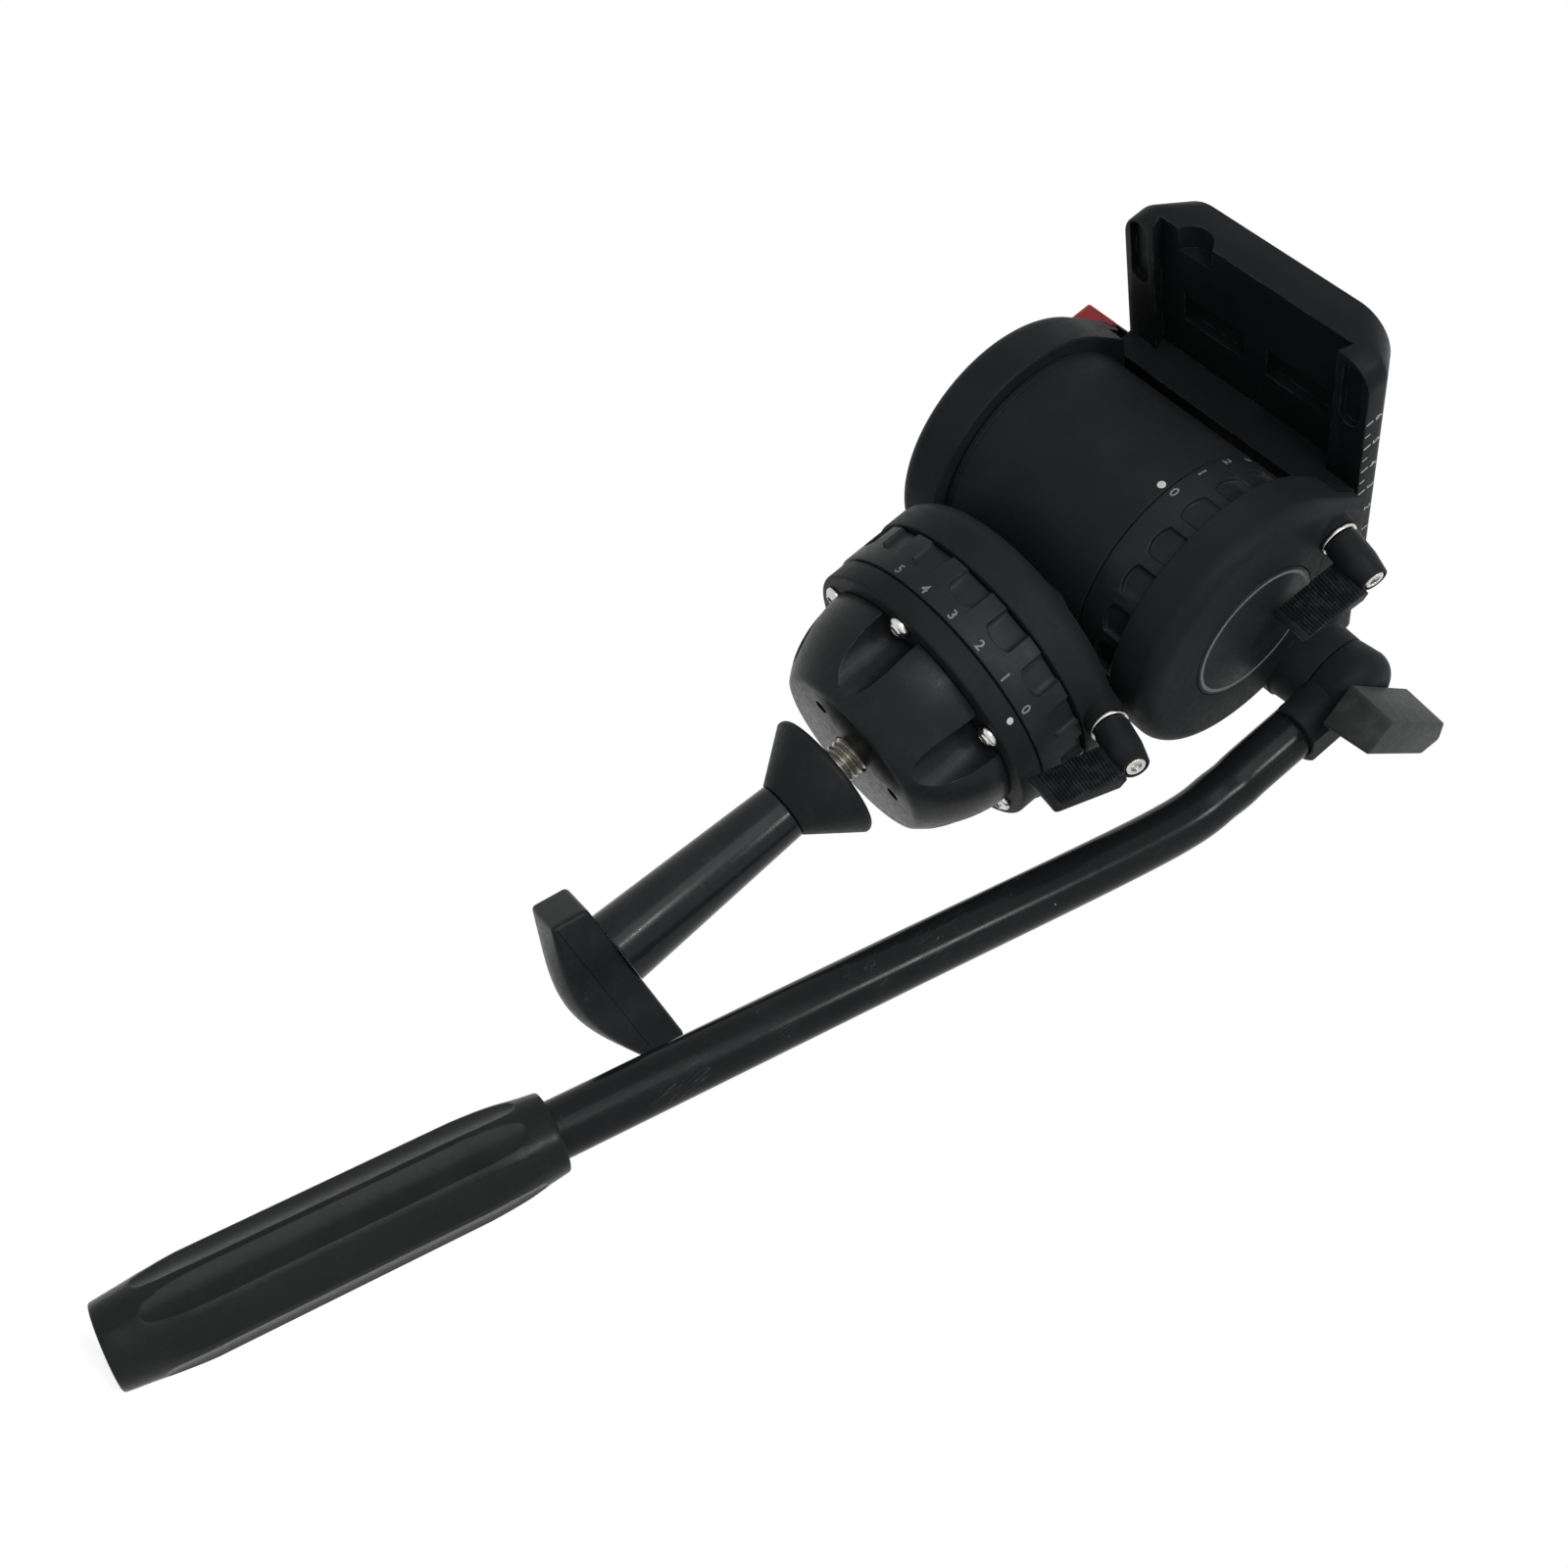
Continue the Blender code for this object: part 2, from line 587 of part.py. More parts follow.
def repeated(name, item, places, look, body):
    """Place one shape several times, each copy an object of its own."""
    mesh = baked_mesh(item)
    for index, matrix in enumerate(places, 1):
        copied = add_object(f"{name}_{index}", mesh.copy(), look)
        place(copied, body, matrix.translation, matrix.to_euler())


def around(count, radius, first=0.0, height=0.0):
    """Matrices spaced evenly on a circle about Z, each facing outwards along its own X."""
    turns = [first + math.tau * i / count for i in range(count)]
    out = Matrix.Translation((radius, 0, height))
    return [Matrix.Rotation(turn, 4, "Z") @ out for turn in turns]


def combine(item, tool, operation="DIFFERENCE"):
    """Cut a tool from a piece, or join it on; the tool stays in the cutters."""
    boolean = item.modifiers.new(tool.name, "BOOLEAN")
    boolean.operation = operation
    boolean.solver = "EXACT"
    boolean.object = tool
    return item


def bevel(item, width, segments=2, angle=40, weights=None):
    """Round a piece's edges: those sharper than an angle, or those that a test picks."""
    modifier = item.modifiers.new("rounding", "BEVEL")
    modifier.width = width
    modifier.segments = segments
    if weights is None:
        modifier.limit_method = "ANGLE"
        modifier.angle_limit = math.radians(angle)
        return item
    layer = item.data.attributes.new("bevel_weight_edge", "FLOAT", "EDGE")
    for edge in item.data.edges:
        ends = [item.data.vertices[index].co for index in edge.vertices]
        layer.data[edge.index].value = 1.0 if weights(*ends) else 0.0
    modifier.limit_method = "WEIGHT"
    return item


def obround(length, width, steps=ARC_STEPS):
    """Outline of a slot with round ends, long side along local Y, centred."""
    half = (length - width) / 2
    return arc((0, half), width / 2, 0, 180, steps) + arc((0, -half), width / 2, 180, 360, steps)


def rounded_box(half_x, half_y, radius, steps=ARC_STEPS):
    """Outline of a rectangle with round corners, centred."""
    corners = []
    for sign_x, sign_y, start in ((1, 1, 0), (-1, 1, 90), (-1, -1, 180), (1, -1, 270)):
        centre = (sign_x * (half_x - radius), sign_y * (half_y - radius))
        corners += arc(centre, radius, start, start + 90, steps)
    return corners


def crossing(radius, centre, other_radius):
    """The point, on its right-hand side, where a circle about zero crosses another circle."""
    apart = math.hypot(*centre)
    along = (radius ** 2 - other_radius ** 2 + apart ** 2) / (2 * apart)
    aside = math.sqrt(radius ** 2 - along ** 2)
    unit = (centre[0] / apart, centre[1] / apart)
    return along * unit[0] + aside * unit[1], along * unit[1] - aside * unit[0]


def lever_turn(azimuth, droop=0.0, swing=0.0):
    """Rotation that points local Z out along a lever's spindle, with its paddle hanging down."""
    outwards = Matrix.Rotation(azimuth, 3, "Z") @ SIDEWAYS.to_matrix()
    lowered = Matrix.Rotation(droop, 3, (-math.sin(azimuth), math.cos(azimuth), 0)) @ outwards
    return (lowered @ Matrix.Rotation(swing, 3, "Z")).to_euler()


# Joints' places
pivot("root", (0, 0, 0))
pivot("pan", (0, 0, COLLAR_BOTTOM), "root")
pivot("pan_drag", (0, 0, RING_BOTTOM), "root")
pivot("tie_clamp", (0, 0, CONE_TOP), "root")
pivot("tie_handle", (0, 0, CONE_TOP - CONE_HEIGHT), "tie_clamp")
pivot("pan_brake", PAN_BRAKE_AT, "pan")
pivot("tilt", (0, 0, TILT_HEIGHT), "pan")
pivot("tilt_drag", (TILT_RING_LEFT, 0, TILT_HEIGHT), "pan")
TILT_UP = Vector((0, 0, TILT_HEIGHT))
pivot("tilt_brake", TILT_BRAKE_AT + TILT_UP, "tilt")
pivot("plate_lock", PLATE_LOCK_AT + TILT_UP, "tilt")
pivot("release_button", (LEFT_CHEEK_OUTER, BUTTON_FRONT, TILT_HEIGHT + BUTTON_BOTTOM), "tilt")
pivot("plate", (0, 0, TILT_HEIGHT + PLATE_BOTTOM), "tilt")
pivot("large_screw", (0, LARGE_SCREW_Y, TILT_HEIGHT + PLATE_ROOF), "plate")
pivot("small_screw", (0, SMALL_SCREW_Y, TILT_HEIGHT + PLATE_ROOF), "plate")
BAR_AXIS = Vector((ROSETTE_PLANE, BAR_AXIS_Y, TILT_HEIGHT + BAR_AXIS_Z))
pivot("bar", BAR_AXIS, "tilt")
pivot("bar_clamp", BAR_AXIS + Vector((BRACKET_THICKNESS, 0, 0)), "tilt")


def half_ball():
    """Scalloped half ball that sits in the bowl."""
    rim = math.degrees(math.asin(FIT_GAP / BALL_RADIUS))
    low = math.degrees(math.asin(BALL_DEPTH / BALL_RADIUS))
    profile = arc((0, 0), BALL_RADIUS, -rim, -low, BALL_STEPS)
    profile += [(STUD_RADIUS + FIT_GAP, -BALL_DEPTH), (STUD_RADIUS + FIT_GAP, BALL_FLOOR - BALL_DEPTH),
                (BALL_HOLLOW_FLOOR_RADIUS, BALL_FLOOR - BALL_DEPTH), (BALL_HOLLOW_RADIUS, -FIT_GAP)]
    ball = place(turned("half_ball", profile, DARK_PLASTIC), "root")
    scallop = drum("scallop", SCALLOP_RADIUS, -BALL_DEPTH - OVERRUN, OVERRUN, steps=SMALL_STEPS)
    circle = around(FLANGE_SCREW_COUNT, FLANGE_SCREW_CIRCLE, FLANGE_SCREW_FIRST)
    combine(ball, place(copies("scallops", scallop, circle), "root"))
    hole = drum("ball_hole", BALL_HOLE_RADIUS, -BALL_DEPTH - OVERRUN, BALL_HOLE_DEPTH - BALL_DEPTH,
                steps=SMALL_STEPS // 2)
    combine(ball, place(copies("ball_holes", hole, around(BALL_HOLE_COUNT, BALL_HOLE_CIRCLE)), "root"))


def base_flange():
    """Fixed flange, its six button-head screws and the clamp stud."""
    edge = EDGE_CHAMFER
    bore = STUD_RADIUS + FIT_GAP
    profile = [(FLANGE_RADIUS - edge, FLANGE_HEIGHT), (FLANGE_RADIUS, FLANGE_HEIGHT - edge),
               (FLANGE_RADIUS, edge), (FLANGE_RADIUS - edge, 0), (bore, 0), (bore, FLANGE_HEIGHT)]
    flange = place(turned("base_flange", profile, BLACK_PAINT), "root")
    circle = around(FLANGE_SCREW_COUNT, FLANGE_SCREW_CIRCLE, FLANGE_SCREW_FIRST)
    hole = drum("flange_hole", BUTTON_SHANK_RADIUS + FIT_GAP, -OVERRUN,
                BUTTON_SHANK_LENGTH + FIT_GAP, steps=SMALL_STEPS // 2)
    combine(flange, place(copies("flange_holes", hole, circle), "root"))
    under = -FIT_GAP
    half_way = under - BUTTON_HEAD_HEIGHT / 2
    bottom = under - BUTTON_HEAD_HEIGHT
    screw = turned("flange_screw", [
        (0, BUTTON_SHANK_LENGTH), (BUTTON_SHANK_RADIUS, BUTTON_SHANK_LENGTH),
        (BUTTON_SHANK_RADIUS, under), (BUTTON_HEAD_RADIUS, under),
        (BUTTON_HEAD_RADIUS - EDGE_CHAMFER, half_way), (BUTTON_SHANK_RADIUS + EDGE_CHAMFER / 2, bottom),
        (BUTTON_SOCKET_RADIUS, bottom), (BUTTON_SOCKET_RADIUS, bottom + BUTTON_SOCKET_DEPTH),
        (0, bottom + BUTTON_SOCKET_DEPTH)], steps=SMALL_STEPS // 2)
    repeated("flange_screw", screw, circle, BRIGHT_STEEL, "root")
    stud_top = FLANGE_HEIGHT - FIT_GAP
    stud = [(0, stud_top), (STUD_RADIUS, stud_top),
            (STUD_RADIUS, EDGE_CHAMFER + stud_top - STUD_LENGTH),
            (STUD_RADIUS - EDGE_CHAMFER, stud_top - STUD_LENGTH), (0, stud_top - STUD_LENGTH)]
    place(turned("clamp_stud", stud, ZINC_STEEL, SMALL_STEPS), "root")


def pan_unit():
    """Axle, nut, bearing and viscous damper around the pan axis."""
    foot_top = RING_BOTTOM + PAN_AXLE_FOOT_HEIGHT
    thread_top = BEARING_TOP + PAN_NUT_HEIGHT + EDGE_CHAMFER
    place(turned("pan_axle", [
        (0, thread_top), (PAN_THREAD_RADIUS, thread_top), (PAN_THREAD_RADIUS, BEARING_TOP),
        (PAN_AXLE_RADIUS, BEARING_TOP), (PAN_AXLE_RADIUS, foot_top),
        (PAN_AXLE_FOOT_RADIUS, foot_top), (PAN_AXLE_FOOT_RADIUS, RING_BOTTOM), (0, RING_BOTTOM)],
        BRIGHT_STEEL, SMALL_STEPS), "root")
    nut_bottom = BEARING_TOP + FIT_GAP
    nut = drum("pan_axle_nut", PAN_NUT_RADIUS, nut_bottom, nut_bottom + PAN_NUT_HEIGHT, ZINC_STEEL,
               HEX_SIDES)
    nut_bore = drum("nut_bore", PAN_THREAD_RADIUS + FIT_GAP, nut_bottom - OVERRUN,
                    nut_bottom + PAN_NUT_HEIGHT + OVERRUN, steps=SMALL_STEPS)
    combine(place(nut, "root"), place(nut_bore, "root"))
    bearing_bore = PAN_AXLE_RADIUS + FIT_GAP
    bearing_bottom = BEARING_TOP - PAN_BEARING_HEIGHT
    place(turned("pan_bearing", [
        (PAN_BEARING_RADIUS, BEARING_TOP), (PAN_BEARING_RADIUS, bearing_bottom),
        (bearing_bore, bearing_bottom), (bearing_bore, BEARING_TOP)], BRIGHT_STEEL, SMALL_STEPS), "pan")
    hole = PAN_AXLE_FOOT_RADIUS + FIT_GAP
    floor = RING_BOTTOM + CUP_WALL
    place(turned("pan_damper_cup", [
        (PAN_CUP_RADIUS, RING_BOTTOM + PAN_CUP_HEIGHT), (PAN_CUP_RADIUS, RING_BOTTOM),
        (hole, RING_BOTTOM), (hole, RING_BOTTOM + PAN_CUP_INNER_HEIGHT),
        (hole + CUP_WALL, RING_BOTTOM + PAN_CUP_INNER_HEIGHT), (hole + CUP_WALL, floor),
        (PAN_CUP_RADIUS - CUP_WALL, floor),
        (PAN_CUP_RADIUS - CUP_WALL, RING_BOTTOM + PAN_CUP_HEIGHT)], DARK_PLASTIC, HIDDEN_STEPS), "root")
    disc_bottom = RING_BOTTOM + PAN_CUP_INNER_HEIGHT + FIT_GAP
    disc_top = disc_bottom + ROTOR_THICKNESS
    disc_radius = PAN_CUP_RADIUS - CUP_WALL - FIT_GAP
    place(turned("pan_damper_rotor", [
        (PAN_ROTOR_HUB_RADIUS, RING_TOP), (PAN_ROTOR_HUB_RADIUS, disc_top), (disc_radius, disc_top),
        (disc_radius, disc_bottom), (bearing_bore, disc_bottom), (bearing_bore, RING_TOP)],
        DARK_PLASTIC, HIDDEN_STEPS), "pan")


def finger_cutters(name, outer_radius, width):
    """Cutters of the finger hollows round a drag ring, open to its upper edge."""
    spread = math.degrees(math.asin(FINGER_WIDTH / 2 / FINGER_END_RADIUS))
    rounded = arc((0, FINGER_END_RADIUS), FINGER_END_RADIUS, 270 - spread, 270 + spread, RIM_STEPS)
    open_end = FINGER_LENGTH + OVERRUN
    outline = rounded + [(FINGER_WIDTH / 2, open_end), (-FINGER_WIDTH / 2, open_end)]
    hollow = extruded(name + "_one", outline, -FINGER_DEPTH, OVERRUN)
    facing = [matrix @ SIDEWAYS.to_matrix().to_4x4()
              for matrix in around(FINGER_COUNT, outer_radius, 0, width - FINGER_LENGTH)]
    return copies(name, hollow, facing)


def drag_rings():
    """The two numbered drag selector rings."""
    edge = EDGE_CHAMFER
    bore = PAN_CUP_RADIUS + DRAG_RING_BORE_GAP
    ring = turned("pan_drag_ring", [
        (PAN_DRAG_RADIUS - edge, DRAG_RING_WIDTH), (PAN_DRAG_RADIUS, DRAG_RING_WIDTH - edge),
        (PAN_DRAG_RADIUS, 0), (bore, 0), (bore, DRAG_RING_WIDTH)], BLACK_PAINT)
    place(ring, "pan_drag", (0, 0, RING_BOTTOM))
    cutter = finger_cutters("pan_fingers", PAN_DRAG_RADIUS, DRAG_RING_WIDTH)
    combine(ring, place(cutter, "pan_drag", (0, 0, RING_BOTTOM)))

    width = TILT_RING_WIDTH
    bore = TILT_CUP_RADIUS + DRAG_RING_BORE_GAP
    ring = turned("tilt_drag_ring", [
        (TILT_DRAG_RADIUS - edge, width), (TILT_DRAG_RADIUS, width - edge),
        (TILT_DRAG_RADIUS, 0), (bore, 0), (bore, width)], BLACK_PAINT)
    at = (TILT_RING_LEFT, 0, TILT_HEIGHT)
    place(ring, "tilt_drag", at, SIDEWAYS)
    cutter = finger_cutters("tilt_fingers", TILT_DRAG_RADIUS, width)
    combine(ring, place(cutter, "tilt_drag", at, SIDEWAYS))


def spindle_cutter(name, at, azimuth, droop, body):
    """Cutter for the bore of a lever's spindle in the casting that carries it."""
    tool = drum(name, SPINDLE_RADIUS + FIT_GAP, -SPINDLE_IN_BODY - FIT_GAP, OVERRUN, steps=SMALL_STEPS // 2)
    return place(tool, body, at, lever_turn(azimuth, droop))


def boss(name, at, azimuth, droop, body, radius=BOSS_RADIUS):
    """Round boss that a lever's washer bears on."""
    tool = drum(name, radius, -SPINDLE_IN_BODY, -WASHER_THICKNESS - FIT_GAP, steps=SMALL_STEPS)
    return place(tool, body, at, lever_turn(azimuth, droop))


def neck():
    """Neck between collar and barrel, which flares into the collar but on its left side."""
    left = BARREL_LEFT + NECK_SIDE_INSET
    right = BARREL_RIGHT - NECK_SIDE_INSET

    def outline(flare):
        """Outline of the neck, widened by a flare."""
        half_width = NECK_HALF_WIDTH + flare
        shape = rounded_box((right - left + flare) / 2, half_width, NECK_ROUNDING + flare / 2)
        return [(x + (left + right + flare) / 2, y) for x, y in shape]

    layers = [(outline(NECK_FLARE), COLLAR_TOP - NECK_SINK)]
    for step in range(FLARE_STEPS + 1):
        angle = math.radians(90 * step / FLARE_STEPS)
        height = COLLAR_TOP - FIT_GAP + NECK_FLARE * (1 - math.cos(angle))
        layers.append((outline(NECK_FLARE * (1 - math.sin(angle))), height))
    return stacked("neck", layers + [(outline(0), TILT_HEIGHT)])


def pan_housing():
    """Casting that turns on the pan axis: collar, neck and tilt barrel."""
    edge = EDGE_CHAMFER
    round_start = COLLAR_BOTTOM + COLLAR_STRAIGHT
    rise = COLLAR_TOP - round_start
    run = COLLAR_RADIUS - COLLAR_SHOULDER_RADIUS
    shoulder = [(COLLAR_SHOULDER_RADIUS + run * x, round_start + rise * y)
                for x, y in arc((0, 0), 1, 90, 0)]
    profile = [(0, COLLAR_TOP)] + shoulder
    profile += [(COLLAR_RADIUS, COLLAR_BOTTOM + edge), (COLLAR_RADIUS - edge, COLLAR_BOTTOM),
                (0, COLLAR_BOTTOM)]
    housing = place(turned("pan_housing", profile, BLACK_PAINT), "pan")
    combine(housing, place(neck(), "pan"), "UNION")
    barrel = turned("barrel", [
        (0, BARREL_RIGHT), (BARREL_RADIUS - edge, BARREL_RIGHT), (BARREL_RADIUS, BARREL_RIGHT - edge),
        (BARREL_RADIUS, BARREL_LEFT + edge), (BARREL_RADIUS - edge, BARREL_LEFT), (0, BARREL_LEFT)])
    combine(housing, place(barrel, "pan", TILT_UP, SIDEWAYS), "UNION")
    lug = boss("pan_brake_boss", PAN_BRAKE_AT, PAN_BRAKE_AZIMUTH, PAN_BRAKE_DROOP, "pan")
    combine(housing, lug, "UNION")
    combine(housing, spindle_cutter("pan_spindle_bore", PAN_BRAKE_AT, PAN_BRAKE_AZIMUTH,
                                    PAN_BRAKE_DROOP, "pan"))
    level_at = Matrix.Rotation(LEVEL_AZIMUTH, 3, "Z") @ Vector((LEVEL_CIRCLE, 0, COLLAR_TOP))
    room = drum("level_room", LEVEL_RADIUS + FIT_GAP, -LEVEL_SINK - FIT_GAP, LEVEL_HEIGHT + LEVEL_SINK,
                steps=SMALL_STEPS)
    combine(housing, place(room, "pan", level_at))
    ring_room = turned("ring_room", [
        (0, COLLAR_BOTTOM), (PAN_DRAG_RADIUS + FIT_GAP, COLLAR_BOTTOM), (PAN_DRAG_RADIUS + FIT_GAP, 0),
        (0, 0)])
    combine(housing, place(ring_room, "pan"))
    seat = PAN_BEARING_RADIUS + FIT_GAP
    pan_bore = turned("pan_bore", [
        (0, BEARING_TOP + NUT_ROOM_HEIGHT), (NUT_ROOM_RADIUS, BEARING_TOP + NUT_ROOM_HEIGHT),
        (NUT_ROOM_RADIUS, BEARING_TOP + FIT_GAP), (seat, BEARING_TOP + FIT_GAP),
        (seat, COLLAR_BOTTOM - OVERRUN), (0, COLLAR_BOTTOM - OVERRUN)])
    combine(housing, place(pan_bore, "pan"))
    bearing_seat = TILT_BEARING_RADIUS + FIT_GAP
    inner_wall = BARREL_LEFT + BARREL_WALL
    tilt_bore = turned("tilt_bore", [
        (0, BARREL_RIGHT + OVERRUN), (BARREL_BORE_RADIUS, BARREL_RIGHT + OVERRUN),
        (BARREL_BORE_RADIUS, inner_wall), (bearing_seat, inner_wall),
        (bearing_seat, BARREL_LEFT - OVERRUN), (0, BARREL_LEFT - OVERRUN)])
    combine(housing, place(tilt_bore, "pan", TILT_UP, SIDEWAYS))
    level(level_at)


def level(at):
    """Bull's-eye level: a cup with its liquid cell, let into the collar."""
    inner = LEVEL_RADIUS - LEVEL_WALL
    floor = LEVEL_WALL - LEVEL_SINK
    top = LEVEL_HEIGHT - LEVEL_SINK
    cup = [(0, floor), (inner, floor), (inner, top), (LEVEL_RADIUS, top), (LEVEL_RADIUS, -LEVEL_SINK),
           (0, -LEVEL_SINK)]
    place(turned("level_cup", cup, BLACK_ANODISED, SMALL_STEPS), "pan", at)
    cell_radius = inner - FIT_GAP
    cell_top = top - EDGE_CHAMFER
    cell = [(0, cell_top), (cell_radius, cell_top - EDGE_CHAMFER), (cell_radius, floor + FIT_GAP),
            (0, floor + FIT_GAP)]
    place(turned("level_cell", cell, LEVEL_ACRYLIC, SMALL_STEPS), "pan", at)


def ring_profile(outer, inner, bottom, top):
    """Profile of a plain ring."""
    return [(outer, top), (outer, bottom), (inner, bottom), (inner, top)]


def tilt_unit():
    """Axle, bearings, damper and counterbalance spring around the tilt axis."""
    place(drum("tilt_axle", TILT_AXLE_RADIUS, LEFT_CHEEK_INNER - TILT_AXLE_SEAT,
               RIGHT_CHEEK_INNER + TILT_AXLE_SEAT, BRIGHT_STEEL, SMALL_STEPS), "tilt", TILT_UP, SIDEWAYS)
    bore = TILT_AXLE_RADIUS + FIT_GAP
    cover_inner = BARREL_RIGHT - END_COVER_THICKNESS
    seat = TILT_BEARING_RADIUS + FIT_GAP
    cover = ring_profile(BARREL_BORE_RADIUS - FIT_GAP, seat, cover_inner, BARREL_RIGHT - FIT_GAP)
    place(turned("barrel_end_cover", cover, BLACK_ANODISED, HIDDEN_STEPS), "pan", TILT_UP, SIDEWAYS)
    for side, low, high in (("left", BARREL_LEFT + FIT_GAP, BARREL_LEFT + BARREL_WALL),
                            ("right", cover_inner, BARREL_RIGHT - FIT_GAP)):
        bearing = turned("tilt_bearing_" + side, ring_profile(TILT_BEARING_RADIUS, bore, low, high),
                         BRIGHT_STEEL, SMALL_STEPS)
        place(bearing, "pan", TILT_UP, SIDEWAYS)
    cup_low = BARREL_RIGHT
    cup_high = cup_low + TILT_CUP_DEPTH
    cup = [(TILT_CUP_RADIUS, cup_high), (TILT_CUP_RADIUS, cup_low), (bore + FIT_GAP, cup_low),
           (bore + FIT_GAP, cup_low + CUP_WALL), (TILT_CUP_RADIUS - CUP_WALL, cup_low + CUP_WALL),
           (TILT_CUP_RADIUS - CUP_WALL, cup_high)]
    place(turned("tilt_damper_cup", cup, DARK_PLASTIC, HIDDEN_STEPS), "pan", TILT_UP, SIDEWAYS)
    hub_low = cup_low + CUP_WALL + FIT_GAP
    hub_high = RIGHT_CHEEK_INNER - FIT_GAP
    disc_low = hub_low + TILT_ROTOR_SETBACK
    disc_high = disc_low + ROTOR_THICKNESS
    disc_radius = TILT_CUP_RADIUS - CUP_WALL - FIT_GAP
    rotor = [(TILT_ROTOR_HUB_RADIUS, hub_high), (TILT_ROTOR_HUB_RADIUS, disc_high),
             (disc_radius, disc_high), (disc_radius, disc_low), (TILT_ROTOR_HUB_RADIUS, disc_low),
             (TILT_ROTOR_HUB_RADIUS, hub_low), (bore, hub_low), (bore, hub_high)]
    place(turned("tilt_damper_rotor", rotor, DARK_PLASTIC, HIDDEN_STEPS), "tilt", TILT_UP, SIDEWAYS)
    drum_low = BARREL_LEFT + BARREL_WALL + SPRING_DRUM_END_GAP
    drum_high = cover_inner - SPRING_DRUM_END_GAP
    place(turned("spring_drum", ring_profile(SPRING_DRUM_RADIUS, bore, drum_low, drum_high),
                 DARK_PLASTIC, SMALL_STEPS), "tilt", TILT_UP, SIDEWAYS)
    spring(drum_low + SPRING_WIRE_RADIUS, drum_high - SPRING_WIRE_RADIUS)


def spring(low, high):
    """Counterbalance spring: one wire wound round its drum."""
    curve = bpy.data.curves.new("counterbalance_spring", "CURVE")
    curve.dimensions = "3D"
    curve.bevel_depth = SPRING_WIRE_RADIUS
    curve.bevel_resolution = WIRE_RESOLUTION
    curve.use_fill_caps = True
    spline = curve.splines.new("POLY")
    count = SPRING_TURNS * SPRING_POINTS_PER_TURN
    spline.points.add(count)
    # The wire is a polygon of chords, so its points stand out far enough to clear the drum
    clear = (SPRING_DRUM_RADIUS + FIT_GAP + SPRING_WIRE_RADIUS) / math.cos(math.pi / SPRING_POINTS_PER_TURN)
    for index, point in enumerate(spline.points):
        share = index / count
        angle = math.tau * SPRING_TURNS * share
        point.co = (clear * math.cos(angle), clear * math.sin(angle), low + (high - low) * share, 1)
    item = bpy.data.objects.new("counterbalance_spring", curve)
    CUTTERS.objects.link(item)
    wire = add_object("counterbalance_spring", baked_mesh(item), SPRING_STEEL)
    place(wire, "tilt", TILT_UP, SIDEWAYS)


def cheek_outline(with_boss):
    """Outline of a cheek seen from +X: tilt disc, arm up to the platform and, on the right, the boss."""
    centre = (BAR_AXIS_Y, BAR_AXIS_Z)
    top = PLATFORM_TOP - ARM_SHOULDER_DROP
    outline = [(PLATFORM_FRONT, top)]
    if not with_boss:
        rim = arc((0, 0), CHEEK_RADIUS, ARM_FRONT_ANGLE, ARM_BACK_ANGLE, CHEEK_RIM_STEPS)
        return outline + rim + [(PLATFORM_BACK, top)]
    meet = crossing(CHEEK_RADIUS, centre, ROSETTE_ROOT_RADIUS)
    rim_end = math.degrees(math.atan2(meet[1], meet[0]))
    boss_start = math.degrees(math.atan2(meet[1] - centre[1], meet[0] - centre[0]))
    outline += arc((0, 0), CHEEK_RADIUS, ARM_FRONT_ANGLE, FULL_ANGLE + rim_end, CHEEK_RIM_STEPS)
    outline += arc(centre, ROSETTE_ROOT_RADIUS, boss_start, ARM_BOSS_ANGLE, BOSS_RIM_STEPS)[1:]
    return outline + [(PLATFORM_BACK, top)]


